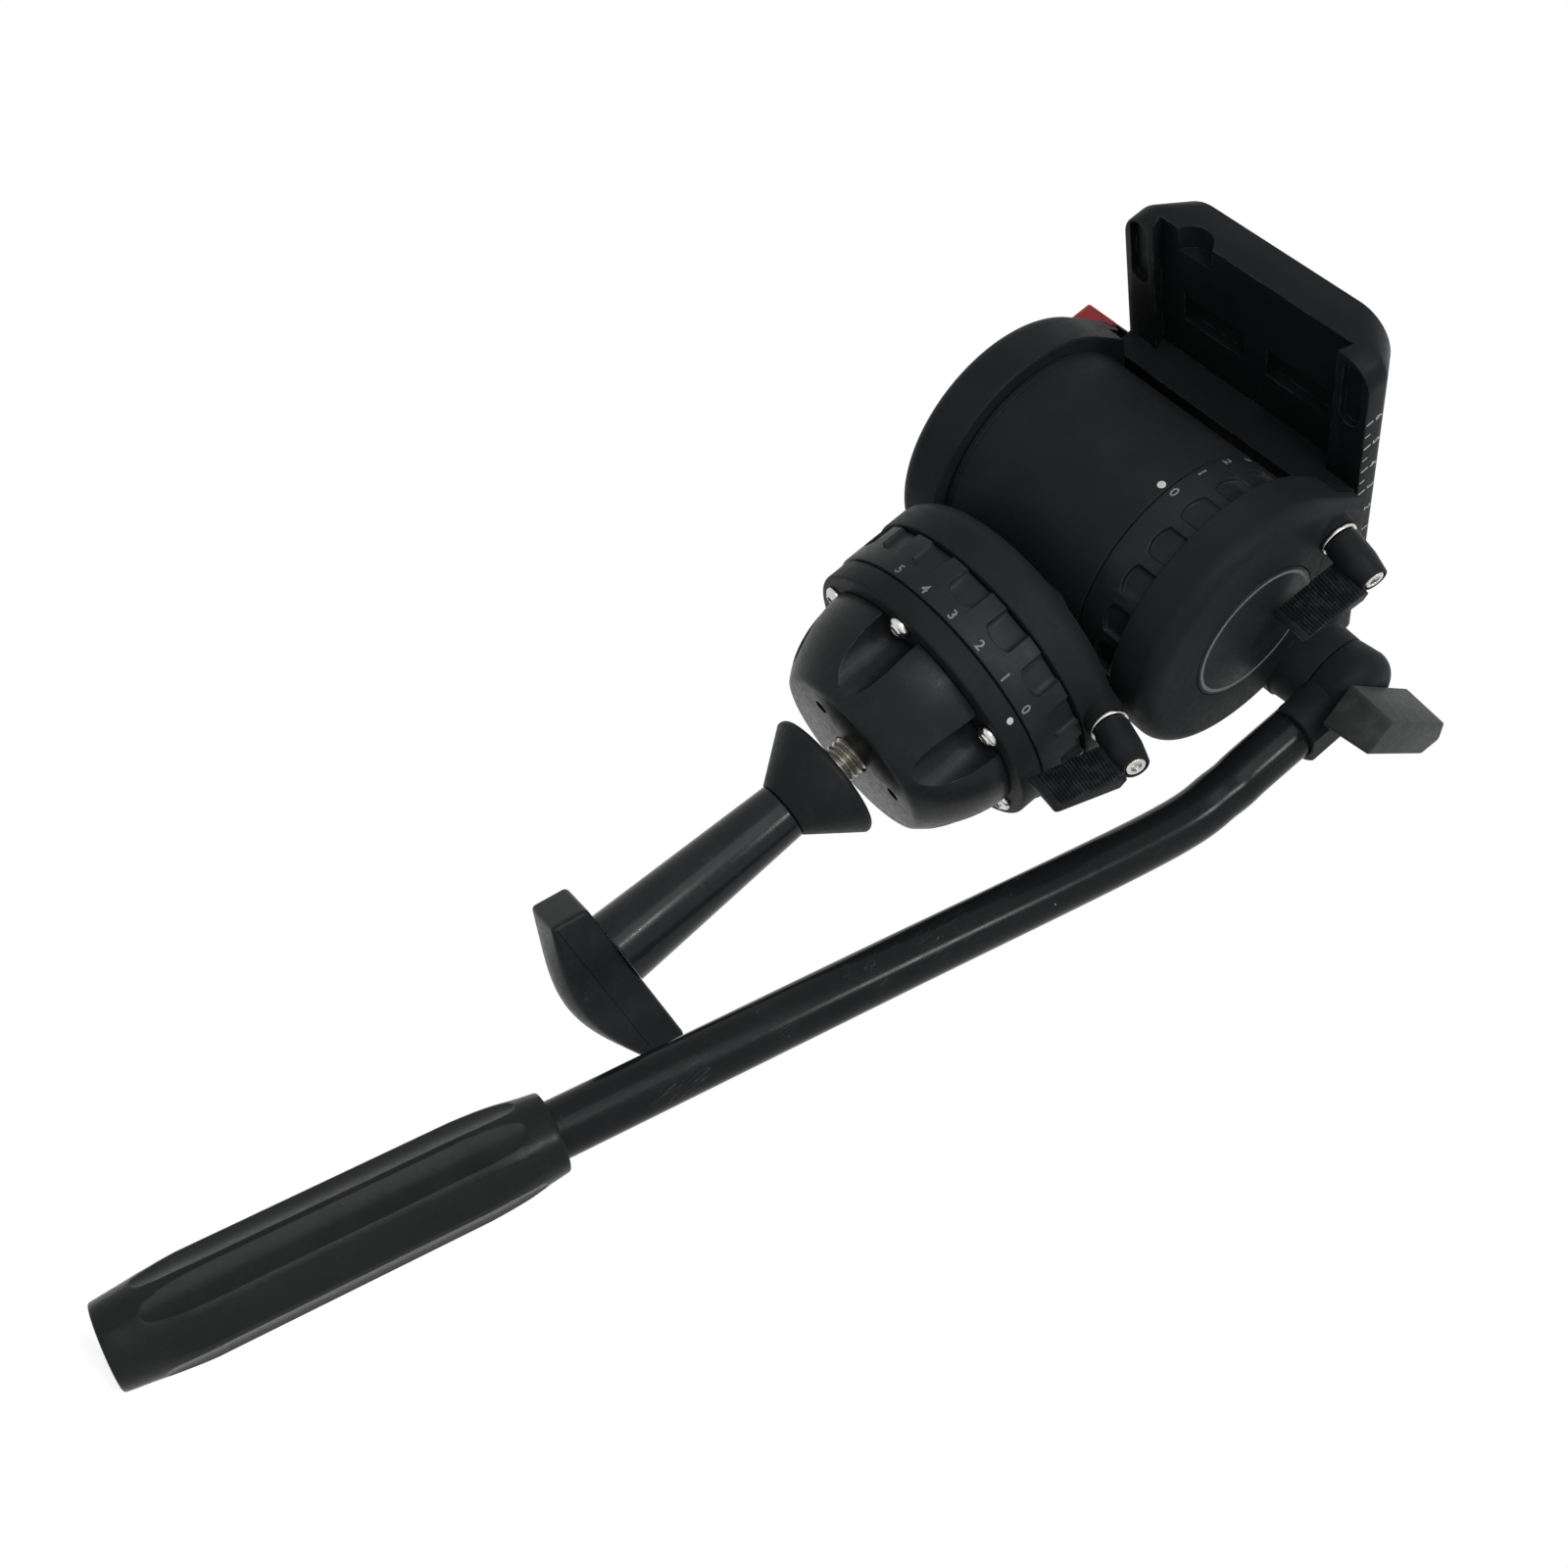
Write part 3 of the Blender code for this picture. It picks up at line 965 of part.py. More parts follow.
def cheek(name, outline, inner, outer, side):
    """One cheek, rounded on its outer side, with the rebate for the platform and the axle's bore."""
    boss_centre = Vector((BAR_AXIS_Y, BAR_AXIS_Z))
    depths = []
    for index, point in enumerate(outline):
        ends = (Vector(point), Vector(outline[(index + 1) % len(outline)]))
        reach = max((end - boss_centre).length for end in ends)
        on_boss = side > 0 and reach < ROSETTE_ROOT_RADIUS + FIT_GAP
        depths.append(0.0 if on_boss else 1.0)
    start = outer - side * CHEEK_ROUNDING
    layers = [(outline, inner), (outline, start)]
    for step in range(1, CHEEK_ROUNDING_STEPS + 1):
        angle = math.radians(90 * step / CHEEK_ROUNDING_STEPS)
        depth = CHEEK_ROUNDING * (1 - math.cos(angle))
        layers.append((inset(outline, [share * depth for share in depths]),
                       start + side * CHEEK_ROUNDING * math.sin(angle)))
    plate = stacked(name, layers, BLACK_PAINT)
    place(plate, "tilt", TILT_UP, SIDEWAYS)
    edge = side * (PLATFORM_HALF_WIDTH + FIT_GAP)
    near = inner - side * OVERRUN
    rebate = block(name + "_rebate",
                   (min(edge, near), PLATFORM_FRONT - CHEEK_RADIUS, PLATFORM_BOTTOM - FIT_GAP),
                   (max(edge, near), PLATFORM_BACK + OVERRUN, PLATFORM_TOP + OVERRUN))
    combine(plate, place(rebate, "tilt", TILT_UP))
    seat = inner + side * (TILT_AXLE_SEAT + FIT_GAP)
    bore = drum(name + "_bore", TILT_AXLE_RADIUS + FIT_GAP, min(near, seat), max(near, seat),
                steps=SMALL_STEPS)
    combine(plate, place(bore, "tilt", TILT_UP, SIDEWAYS))
    face = outer - side * (BADGE_THICKNESS + FIT_GAP - BADGE_PROUD)
    past = outer + side * OVERRUN
    recess = drum(name + "_recess", BADGE_RADIUS + FIT_GAP, min(face, past), max(face, past))
    combine(plate, place(recess, "tilt", TILT_UP, SIDEWAYS))
    disc_low = face + side * FIT_GAP
    disc_high = outer + side * BADGE_PROUD
    disc = drum(name + "_disc", BADGE_RADIUS, min(disc_low, disc_high), max(disc_low, disc_high),
                GREY_PAINT)
    place(disc, "tilt", TILT_UP, SIDEWAYS)
    return plate


def tilt_bracket():
    """Bracket that tilts: two cheeks, the platform on their arms and its screws."""
    right = cheek("right_cheek", cheek_outline(True), RIGHT_CHEEK_INNER, RIGHT_CHEEK_OUTER, 1)
    step = ROSETTE_PLANE - RIGHT_CHEEK_OUTER
    root = ROSETTE_ROOT_RADIUS - FIT_GAP / 2
    rosette = drum("rosette", root, -step - CHEEK_ROUNDING, 0, tip=ROSETTE_RADIUS)
    combine(right, place(rosette, "tilt", BAR_AXIS, SIDEWAYS), "UNION")
    at = TILT_BRAKE_AT + TILT_UP
    lug = boss("tilt_brake_boss", at, TILT_BRAKE_AZIMUTH, TILT_BRAKE_DROOP, "tilt", TILT_BOSS_RADIUS)
    combine(right, lug, "UNION")
    seat = drum("tilt_brake_seat", WASHER_RADIUS + FIT_GAP, -WASHER_THICKNESS - FIT_GAP,
                LEVER_HUB_LENGTH, steps=SMALL_STEPS)
    combine(right, place(seat, "tilt", at, lever_turn(TILT_BRAKE_AZIMUTH, TILT_BRAKE_DROOP)))
    combine(right, spindle_cutter("tilt_spindle_bore", at, TILT_BRAKE_AZIMUTH, TILT_BRAKE_DROOP, "tilt"))
    bolt = drum("clamp_bolt_bore", CLAMP_BOLT_RADIUS + FIT_GAP, -CLAMP_BOLT_SINK - FIT_GAP, OVERRUN,
                steps=SMALL_STEPS // 2)
    combine(right, place(bolt, "tilt", BAR_AXIS, SIDEWAYS))

    left = cheek("left_cheek", cheek_outline(False), LEFT_CHEEK_INNER, LEFT_CHEEK_OUTER, -1)
    at = PLATE_LOCK_AT + TILT_UP
    combine(left, boss("plate_lock_boss", at, PLATE_LOCK_AZIMUTH, 0, "tilt"), "UNION")
    combine(left, spindle_cutter("plate_lock_bore", at, PLATE_LOCK_AZIMUTH, 0, "tilt"))
    room = block("button_room",
                 (LEFT_CHEEK_OUTER - OVERRUN, BUTTON_FRONT - FIT_GAP, BUTTON_BOTTOM - FIT_GAP),
                 (LEFT_CHEEK_OUTER + BUTTON_SINK + BUTTON_ROOM, BUTTON_FRONT + BUTTON_LENGTH + FIT_GAP,
                  BUTTON_BOTTOM + BUTTON_HEIGHT + FIT_GAP))
    combine(left, place(room, "tilt", TILT_UP))
    button = block("release_button", (-BUTTON_STANDING, 0, 0),
                   (BUTTON_SINK, BUTTON_LENGTH, BUTTON_HEIGHT), RED_PLASTIC)
    bevel(button, BUTTON_BEVEL, weights=lambda a, b: max(a.x, b.x) < -MERGE_DISTANCE)
    place(button, "release_button", (LEFT_CHEEK_OUTER, BUTTON_FRONT, TILT_HEIGHT + BUTTON_BOTTOM))

    section = [(-PLATFORM_HALF_WIDTH, PLATFORM_BOTTOM), (PLATFORM_HALF_WIDTH, PLATFORM_BOTTOM),
               (PLATFORM_HALF_WIDTH, PLATFORM_TOP), (DOVETAIL_HALF_ROOT, PLATFORM_TOP),
               (DOVETAIL_HALF_TIP, PLATFORM_TOP + DOVETAIL_HEIGHT),
               (-DOVETAIL_HALF_TIP, PLATFORM_TOP + DOVETAIL_HEIGHT),
               (-DOVETAIL_HALF_ROOT, PLATFORM_TOP), (-PLATFORM_HALF_WIDTH, PLATFORM_TOP)]
    platform = extruded("platform", section, -PLATFORM_BACK, -PLATFORM_FRONT, BLACK_PAINT)
    place(platform, "tilt", TILT_UP, Euler((math.radians(90), 0, 0)))
    head_top = PLATFORM_TOP - FIT_GAP
    tip = head_top - COUNTERSUNK_LENGTH
    places = [Matrix.Translation((x, y, TILT_HEIGHT)) for x in (-PLATFORM_SCREW_X, PLATFORM_SCREW_X)
              for y in (PLATFORM_SCREW_FRONT, PLATFORM_SCREW_BACK)]

    def screw_shape(name, gap, top, bottom):
        """Countersunk screw, or with a gap the hole that it sits in."""
        neck = head_top - COUNTERSUNK_HEIGHT
        head = COUNTERSUNK_RADIUS + gap
        shank = COUNTERSUNK_SHANK_RADIUS + gap
        return turned(name, [(0, top), (head, top), (head, head_top), (shank, neck), (shank, bottom),
                             (0, bottom)], steps=SMALL_STEPS // 2)

    holes = copies("platform_holes", screw_shape("hole", FIT_GAP, head_top + OVERRUN, tip - FIT_GAP), places)
    place(holes, "tilt", (0, 0, 0))
    for casting in (platform, right, left):
        combine(casting, holes)
    screw = screw_shape("screw", 0, head_top, tip)
    repeated("platform_screw", screw, places, BLACK_STEEL, "tilt")


def lever_set(name, at, azimuth, droop, swing):
    """Ribbed lever with its washer, spindle and screw, on one axis."""
    body = name
    turn = lever_turn(azimuth, droop, swing)
    length = LEVER_HUB_LENGTH
    hub = turned(name + "_lever", [
        (0, length), (LEVER_TIP_RADIUS, length), (LEVER_MIDDLE_RADIUS, LEVER_MIDDLE_HEIGHT),
        (LEVER_ROOT_RADIUS, FIT_GAP), (0, FIT_GAP)], LEVER_PLASTIC, SMALL_STEPS)
    place(hub, body, at, turn)
    front, start = -LEVER_PADDLE_FRONT, -LEVER_PADDLE_START

    def paddle_outline(reach):
        """Outline of the paddle seen along the spindle, for one reach of its free end."""
        return [(front, -reach), (LEVER_END_BACK, -reach), (LEVER_PADDLE_BACK, -LEVER_PADDLE_SHOULDER),
                (LEVER_START_BACK, start), (front, start)]

    paddle = stacked(name + "_paddle", [
        (paddle_outline(LEVER_REACH), LEVER_PADDLE_INSET),
        (paddle_outline(LEVER_REACH - LEVER_END_SLANT), LEVER_PADDLE_INSET + LEVER_PADDLE_HEIGHT)])
    bevel(paddle, LEVER_PADDLE_ROUNDING)
    combine(hub, place(paddle, body, at, turn), "UNION")
    bore = SPINDLE_RADIUS + LEVER_BORE_GAP
    recess = LEVER_SCREW_HEAD_RADIUS + LEVER_BORE_GAP
    recess_floor = LEVER_HUB_LENGTH - LEVER_SCREW_HEAD_HEIGHT - FIT_GAP
    tool = turned(name + "_lever_bore", [
        (0, LEVER_HUB_LENGTH + OVERRUN), (recess, LEVER_HUB_LENGTH + OVERRUN), (recess, recess_floor),
        (bore, recess_floor), (bore, -OVERRUN), (0, -OVERRUN)], steps=SMALL_STEPS)
    combine(hub, place(tool, body, at, turn))
    washer = turned(name + "_washer", ring_profile(WASHER_RADIUS, bore, -WASHER_THICKNESS, 0),
                    BRIGHT_STEEL, SMALL_STEPS)
    place(washer, body, at, turn)
    head = recess_floor + FIT_GAP
    top = head + LEVER_SCREW_HEAD_HEIGHT
    socket = top - LEVER_SOCKET_DEPTH
    spindle = turned(name + "_spindle", [
        (0, socket), (LEVER_SOCKET_RADIUS, socket), (LEVER_SOCKET_RADIUS, top),
        (LEVER_SCREW_HEAD_RADIUS, top), (LEVER_SCREW_HEAD_RADIUS, head), (SPINDLE_RADIUS, head),
        (SPINDLE_RADIUS, -SPINDLE_IN_BODY), (0, -SPINDLE_IN_BODY)], ZINC_STEEL, SMALL_STEPS)
    place(spindle, body, at, turn)


def sliding_plate():
    """Camera plate that slides on the dovetail, with its pad and two camera screws."""
    low, roof, top = PLATE_BOTTOM, PLATE_ROOF, PLATE_TOP
    root = DOVETAIL_HALF_ROOT + FIT_GAP
    tip = DOVETAIL_HALF_TIP + FIT_GAP
    back = PLATE_FRONT + PLATE_LENGTH
    middle = (PLATE_FRONT + back) / 2
    outline = rounded_box(PLATE_HALF_WIDTH, PLATE_LENGTH / 2, PLATE_CORNER_RADIUS)
    top_outline = rounded_box(PLATE_TOP_HALF_WIDTH, PLATE_LENGTH / 2, PLATE_TOP_CORNER_RADIUS)
    layers = [(outline, low), (outline, low + PLATE_SIDE_HEIGHT), (top_outline, top)]
    plate = stacked("sliding_plate", layers, BLACK_ANODISED)
    place(plate, "plate", (0, middle, TILT_HEIGHT))

    def at_height(item):
        """Place a tool of the plate in the tilt frame."""
        return place(item, "plate", (0, 0, TILT_HEIGHT))

    slot_middle = (0, SLOT_FRONT + SLOT_LENGTH / 2, TILT_HEIGHT)
    slot = extruded("camera_slot", obround(SLOT_LENGTH, SLOT_WIDTH), roof - OVERRUN, top + OVERRUN)
    combine(plate, place(slot, "plate", slot_middle))
    wide = SLOT_LENGTH + HEAD_GROOVE_WIDTH - SLOT_WIDTH
    groove = extruded("head_groove", obround(wide, HEAD_GROOVE_WIDTH), roof - OVERRUN,
                      roof + HEAD_GROOVE_DEPTH)
    combine(plate, place(groove, "plate", slot_middle))
    section = [(-root, low - OVERRUN), (root, low - OVERRUN), (root, low), (tip, roof), (-tip, roof),
               (-root, low)]
    channel = extruded("plate_channel", section, -back - OVERRUN, -PLATE_FRONT + OVERRUN)
    channel.rotation_euler = (math.radians(90), 0, 0)
    combine(plate, at_height(channel))
    pocket = extruded("lip_pocket", obround(LIP_POCKET_LENGTH, LIP_POCKET_WIDTH), low - OVERRUN,
                      low + LIP_POCKET_DEPTH)
    pocket_x = (root + PLATE_HALF_WIDTH) / 2
    pocket_y = PLATE_FRONT + LIP_POCKET_SETBACK + LIP_POCKET_LENGTH / 2
    sides = [Matrix.Translation((x, pocket_y, 0)) for x in (-pocket_x, pocket_x)]
    combine(plate, at_height(copies("lip_pockets", pocket, sides)))
    front = PLATE_FRONT + ROOF_POCKET_SETBACK
    for name, left in (("left", ROOF_POCKET_LEFT), ("right", ROOF_POCKET_RIGHT)):
        tool = block("roof_pocket_" + name, (left, front, roof - OVERRUN),
                     (left + ROOF_POCKET_WIDTH, front + ROOF_POCKET_LENGTH, roof + ROOF_POCKET_DEPTH))
        combine(plate, at_height(tool))
    notch = drum("end_notch", NOTCH_RADIUS, -NOTCH_DEPTH, OVERRUN, steps=SMALL_STEPS)
    notch_at = (NOTCH_X, PLATE_FRONT, TILT_HEIGHT + roof - NOTCH_DROP)
    combine(plate, place(notch, "plate", notch_at, Euler((math.radians(90), 0, 0))))
    seat = [Matrix.Translation((x, 0, 0)) for x in (-PAD_X, PAD_X)]
    pad_outline = rounded_box(PAD_WIDTH / 2, PAD_LENGTH / 2, PAD_CORNER)
    recess_outline = rounded_box(PAD_WIDTH / 2 + FIT_GAP, PAD_LENGTH / 2 + FIT_GAP, PAD_CORNER)
    recess = extruded("pad_recess", recess_outline, top - PAD_RECESS, top + OVERRUN)
    combine(plate, place(copies("pad_recesses", recess, seat), "plate", (0, middle, TILT_HEIGHT)))
    floor = top - PAD_RECESS + FIT_GAP
    for name, matrix in zip(("left", "right"), seat):
        pad = extruded("plate_pad_" + name, pad_outline, floor, floor + PAD_THICKNESS, PAD_RUBBER)
        place(pad, "plate", matrix.translation + Vector((0, middle, TILT_HEIGHT)))
    for name, radius, y in (("large", LARGE_SCREW_RADIUS, LARGE_SCREW_Y),
                            ("small", SMALL_SCREW_RADIUS, SMALL_SCREW_Y)):
        head_low = HEAD_GROOVE_DEPTH - SCREW_HEAD_HEIGHT - FIT_GAP
        head_high = HEAD_GROOVE_DEPTH - FIT_GAP
        tip_height = top - roof + SCREW_STANDING
        shape = [(0, tip_height), (radius - EDGE_CHAMFER, tip_height), (radius, tip_height - EDGE_CHAMFER),
                 (radius, head_high), (SCREW_HEAD_RADIUS, head_high), (SCREW_HEAD_RADIUS, head_low),
                 (0, head_low)]
        screw = turned(f"camera_screw_{name}", shape, BRIGHT_STEEL, SMALL_STEPS)
        place(screw, name + "_screw", (0, y, TILT_HEIGHT + roof))


def smooth_path(points, steps):
    """Points along a smooth curve through the given ones."""
    path = []
    last = len(points) - 1
    for index in range(last):
        before, start = points[max(index - 1, 0)], points[index]
        end, after = points[index + 1], points[min(index + 2, last)]
        for step in range(steps):
            t = step / steps
            square = 2 * before - 5 * start + 4 * end - after
            cube = 3 * start - before - 3 * end + after
            path.append((2 * start + (end - before) * t + square * t ** 2 + cube * t ** 3) / 2)
    return path + [points[last]]


def pan_bar():
    """Bracket, bent tube, grip and the clamp that holds the bar to its rosette."""
    outer = BRACKET_THICKNESS
    rim_centre = (BRACKET_BELLY_RADIUS - BRACKET_ROUNDING, outer - BRACKET_ROUNDING)
    rim = arc(rim_centre, BRACKET_ROUNDING, 90, 0)
    profile = [(0, outer)] + rim + [(ROSETTE_RADIUS, FIT_GAP), (0, FIT_GAP)]
    bracket = turned("bar_bracket", profile, LEVER_PLASTIC)
    place(bracket, "bar", BAR_AXIS, SIDEWAYS)
    sleeve_at = Vector((BAR_X, BAR_AXIS.y, BAR_AXIS.z))
    sleeve = drum("bar_sleeve", SLEEVE_RADIUS, -SLEEVE_LENGTH, 0)
    place(sleeve, "bar", sleeve_at)
    tall = SLEEVE_LENGTH + OVERRUN
    wide = SLEEVE_RADIUS + OVERRUN
    far = BAR_X + SLEEVE_RADIUS + OVERRUN
    outer_trim = block("sleeve_outer_trim", (BRACKET_OUTER - FIT_GAP, -wide, -tall), (far, wide, OVERRUN))
    inner_trim = block("sleeve_inner_trim", (BAR_X - wide, -wide, -tall), (SLEEVE_INNER_SIDE, wide, OVERRUN))
    boss_room = drum("boss_room", ROSETTE_RADIUS + FIT_GAP, -BRACKET_THICKNESS, FIT_GAP)
    for tool in (outer_trim, inner_trim):
        combine(sleeve, place(tool, "bar", (0, BAR_AXIS.y, BAR_AXIS.z)))
    combine(sleeve, place(boss_room, "bar", BAR_AXIS, SIDEWAYS))
    combine(bracket, sleeve, "UNION")
    socket = drum("bar_socket", BAR_RADIUS + FIT_GAP, -tall, FIT_GAP - BAR_TOP_BELOW_AXIS)
    combine(bracket, place(socket, "bar", sleeve_at))
    bolt_bore = drum("bracket_bolt_bore", CLAMP_BOLT_RADIUS + FIT_GAP, -OVERRUN, outer + OVERRUN,
                     steps=SMALL_STEPS // 2)
    combine(bracket, place(bolt_bore, "bar", BAR_AXIS, SIDEWAYS))

    top = sleeve_at - Vector((0, 0, BAR_TOP_BELOW_AXIS))
    bend = sleeve_at - Vector((0, 0, BEND_BELOW_AXIS))
    along_grip = (GRIP_END - GRIP_NECK).normalized()
    low_run = (GRIP_NECK - bend).normalized()
    route = [top, (top + bend) / 2, bend + Vector((0, 0, BEND_LENGTH / 2)), bend + low_run * BEND_LENGTH / 2,
             (bend + GRIP_NECK) / 2, GRIP_NECK, GRIP_END - along_grip * GRIP_BORE_SHORT]
    curve = bpy.data.curves.new("pan_bar", "CURVE")
    curve.dimensions = "3D"
    curve.bevel_depth = BAR_RADIUS
    curve.bevel_resolution = BAR_RESOLUTION
    curve.use_fill_caps = True
    points = smooth_path(route, PATH_STEPS)
    spline = curve.splines.new("POLY")
    spline.points.add(len(points) - 1)
    for point, co in zip(spline.points, points):
        point.co = (*(co - BAR_AXIS), 1)
    item = bpy.data.objects.new("pan_bar_path", curve)
    CUTTERS.objects.link(item)
    place(add_object("pan_bar", baked_mesh(item), BAR_PAINT), "bar", BAR_AXIS)

    length = (GRIP_END - GRIP_NECK).length
    profile = []
    for share, swell in zip(GRIP_BELLY_SHARES, GRIP_SWELL_SHARES):
        ends = GRIP_NECK_RADIUS + (GRIP_END_RADIUS - GRIP_NECK_RADIUS) * share
        profile.append((ends + (GRIP_BELLY_RADIUS - ends) * swell, length * share))
    bore = BAR_RADIUS + FIT_GAP
    hole = GRIP_HOLE_RADIUS
    bore_end = length - GRIP_BORE_SHORT + FIT_GAP
    outline = profile[::-1] + [(bore, 0), (bore, bore_end), (hole, bore_end), (hole, length)]
    grip = turned("bar_grip", outline, GRIP_RUBBER, SMALL_STEPS + SMALL_STEPS // 3)
    turn = along_grip.to_track_quat("Z", "Y").to_euler()
    place(grip, "bar", GRIP_NECK, turn)

    clamp_at = BAR_AXIS + Vector((BRACKET_THICKNESS, 0, 0))
    half, depth = CLAMP_HANDLE_LENGTH / 2, CLAMP_HANDLE_DEPTH + FIT_GAP
    cut = CLAMP_HANDLE_CHAMFER

    def handle_outline(side):
        """Outline of the handle, for one half of its width."""
        return [(-half, -side), (half - cut, -side), (half, cut - side), (half, side - cut),
                (half - cut, side), (-half, side)]

    handle = stacked("clamp_handle", [
        (handle_outline(CLAMP_HANDLE_WIDTH / 2), FIT_GAP),
        (handle_outline(CLAMP_HANDLE_OUTER_WIDTH / 2), depth)], CLAMP_PLASTIC)
    bevel(handle, EDGE_CHAMFER)
    swung = (SIDEWAYS.to_matrix() @ Matrix.Rotation(CLAMP_HANDLE_TURN, 3, "Z")).to_euler()
    place(handle, "bar_clamp", clamp_at, swung)
    reach = depth - CLAMP_HANDLE_DEPTH / 2
    handle_bore = drum("clamp_handle_bore", CLAMP_BOLT_RADIUS + FIT_GAP, -OVERRUN, reach + FIT_GAP,
                       steps=SMALL_STEPS // 2)
    combine(handle, place(handle_bore, "bar_clamp", clamp_at, SIDEWAYS))
    bolt = drum("clamp_bolt", CLAMP_BOLT_RADIUS, -BRACKET_THICKNESS - CLAMP_BOLT_SINK, reach, ZINC_STEEL,
                SMALL_STEPS // 2)
    place(bolt, "bar_clamp", clamp_at, SIDEWAYS)


def tie_down():
    """Clamping cone, stem and lever that draw the half ball into its bowl."""
    bore = STUD_RADIUS + FIT_GAP
    rim = arc((CONE_RADIUS - CONE_RIM, -CONE_RIM), CONE_RIM, 90, CONE_RIM_END_ANGLE, RIM_STEPS)
    cone = turned("clamp_cone", rim + [(CONE_NARROW_RADIUS, -CONE_HEIGHT), (bore, -CONE_HEIGHT), (bore, 0)],
                  DARK_PLASTIC)
    place(cone, "tie_clamp", (0, 0, CONE_TOP))
    stem_top = CONE_TOP - CONE_HEIGHT
    bottom = -STEM_LENGTH
    profile = [(0, -STEM_BORE_LENGTH), (bore, -STEM_BORE_LENGTH), (bore, -FIT_GAP),
               (STEM_TOP_RADIUS, -FIT_GAP), (STEM_BOTTOM_RADIUS, bottom), (0, bottom)]
    stem = turned("tie_down_stem", profile, DARK_PLASTIC)
    place(stem, "tie_handle", (0, 0, stem_top))
    top = bottom - FIT_GAP
    low = top - HANDLE_END_HEIGHT
    short_low, long_low = HANDLE_SHORT_REACH + HANDLE_END_SLANT, HANDLE_LONG_REACH + HANDLE_END_SLANT
    reach = short_low + long_low

    def lever_outline(depth):
        """Outline of the lever, for one depth of its belly."""
        outline = [(-HANDLE_SHORT_REACH, top), (-short_low, low)]
        for step in range(1, BELLY_STEPS):
            share = step / BELLY_STEPS
            belly = (depth - HANDLE_END_HEIGHT) * math.sin(math.pi * share)
            outline.append((reach * share - short_low, low - belly))
        return outline + [(long_low, low), (HANDLE_LONG_REACH, top)]

    side = HANDLE_WIDTH / 2
    keel = HANDLE_KEEL_DEPTH
    between = HANDLE_DEPTH + (keel - HANDLE_DEPTH) * 3 / 4
    lever = stacked("tie_down_lever", [
        (lever_outline(HANDLE_DEPTH), -side), (lever_outline(between), -side / 2), (lever_outline(keel), 0),
        (lever_outline(between), side / 2), (lever_outline(HANDLE_DEPTH), side)], DARK_PLASTIC)
    bevel(lever, HANDLE_ROUNDING)
    turn = Euler((math.radians(90), 0, HANDLE_AZIMUTH))
    place(lever, "tie_handle", (0, 0, stem_top), turn)


def main():
    """Build every sub-assembly in order."""
    half_ball()
    base_flange()
    pan_unit()
    drag_rings()
    pan_housing()
    tilt_unit()
    tilt_bracket()
    lever_set("pan_brake", PAN_BRAKE_AT, PAN_BRAKE_AZIMUTH, PAN_BRAKE_DROOP, PAN_BRAKE_SWING)
    lever_set("tilt_brake", TILT_BRAKE_AT + TILT_UP, TILT_BRAKE_AZIMUTH, TILT_BRAKE_DROOP, TILT_BRAKE_SWING)
    lever_set("plate_lock", PLATE_LOCK_AT + TILT_UP, PLATE_LOCK_AZIMUTH, 0, PLATE_LOCK_SWING)
    sliding_plate()
    pan_bar()
    tie_down()


main()
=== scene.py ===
"""Finished look of a fluid video head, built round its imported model.

Everything is in metres in the model's own frame: the pan axis is Z, the tilt axis runs along X, the
origin is the centre of the half ball, the index dots face -Y and the operator stands on the +Y side.
"""

import logging
import math
from dataclasses import dataclass, field
from enum import Enum
from typing import Callable, Optional, Sequence, Union

import bmesh
import bpy
from mathutils import Matrix, Vector


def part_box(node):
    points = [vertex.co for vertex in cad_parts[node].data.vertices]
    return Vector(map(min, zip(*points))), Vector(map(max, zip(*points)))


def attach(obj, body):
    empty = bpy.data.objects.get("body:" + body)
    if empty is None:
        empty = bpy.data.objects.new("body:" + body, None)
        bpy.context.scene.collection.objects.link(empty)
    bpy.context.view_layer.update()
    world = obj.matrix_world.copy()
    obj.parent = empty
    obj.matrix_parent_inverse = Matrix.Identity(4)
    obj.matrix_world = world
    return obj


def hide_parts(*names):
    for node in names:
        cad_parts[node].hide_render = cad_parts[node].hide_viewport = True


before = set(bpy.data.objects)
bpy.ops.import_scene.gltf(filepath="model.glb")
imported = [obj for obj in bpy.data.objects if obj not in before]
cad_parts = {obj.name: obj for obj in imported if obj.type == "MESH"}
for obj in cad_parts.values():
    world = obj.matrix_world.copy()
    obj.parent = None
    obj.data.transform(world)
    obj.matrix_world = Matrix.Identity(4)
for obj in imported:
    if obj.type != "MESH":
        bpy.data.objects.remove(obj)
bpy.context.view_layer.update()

LOG = logging.getLogger("fluid_head")
Pair = tuple[float, float]
Outline = list[Pair]
Colour = tuple[float, float, float]
Profile = Union[Outline, Callable[[float], Outline]]
Surface = Callable[[Vector], Vector]
Piece = bpy.types.Object
Mesh = bpy.types.Mesh
Socket = bpy.types.NodeSocket

MM = 0.001
FIT_GAP = 0.3 * MM
OVERRUN = 2.0 * MM
TINY = 0.001 * MM
WELD = 0.002 * MM
ROUND_STEPS = 144
SMALL_STEPS = 64
CORNER_STEPS = 4
SHARP_ANGLE = math.radians(28)
QUARTER = math.radians(90)
FLATTEST_CORNER = math.radians(87)
LONGEST_CORNER = 0.45
STRAIGHTEST_TURN = 0.3
COAT_ROUGHNESS = 0.12
PATCH_BAND = (0.35, 0.65)
FLECK_BAND = (0.3, 0.7)
EDGE_BAND = (0.015, 0.12)
DUST_BAND = (0.5, 0.75)
SCRATCH_BAND = (0.52, 0.62)
SCRATCH_TURNS = (0.5, -1.1)
SCRATCH_SPACING = 2.2 * MM
SCRATCH_WIDTH = 0.006
LUG_DEPTH = 12.0 * MM
LUG_GAP = 1.4 * MM
SPINDLE_BORE = 2.3 * MM
BOLT_BORE = 3.3 * MM

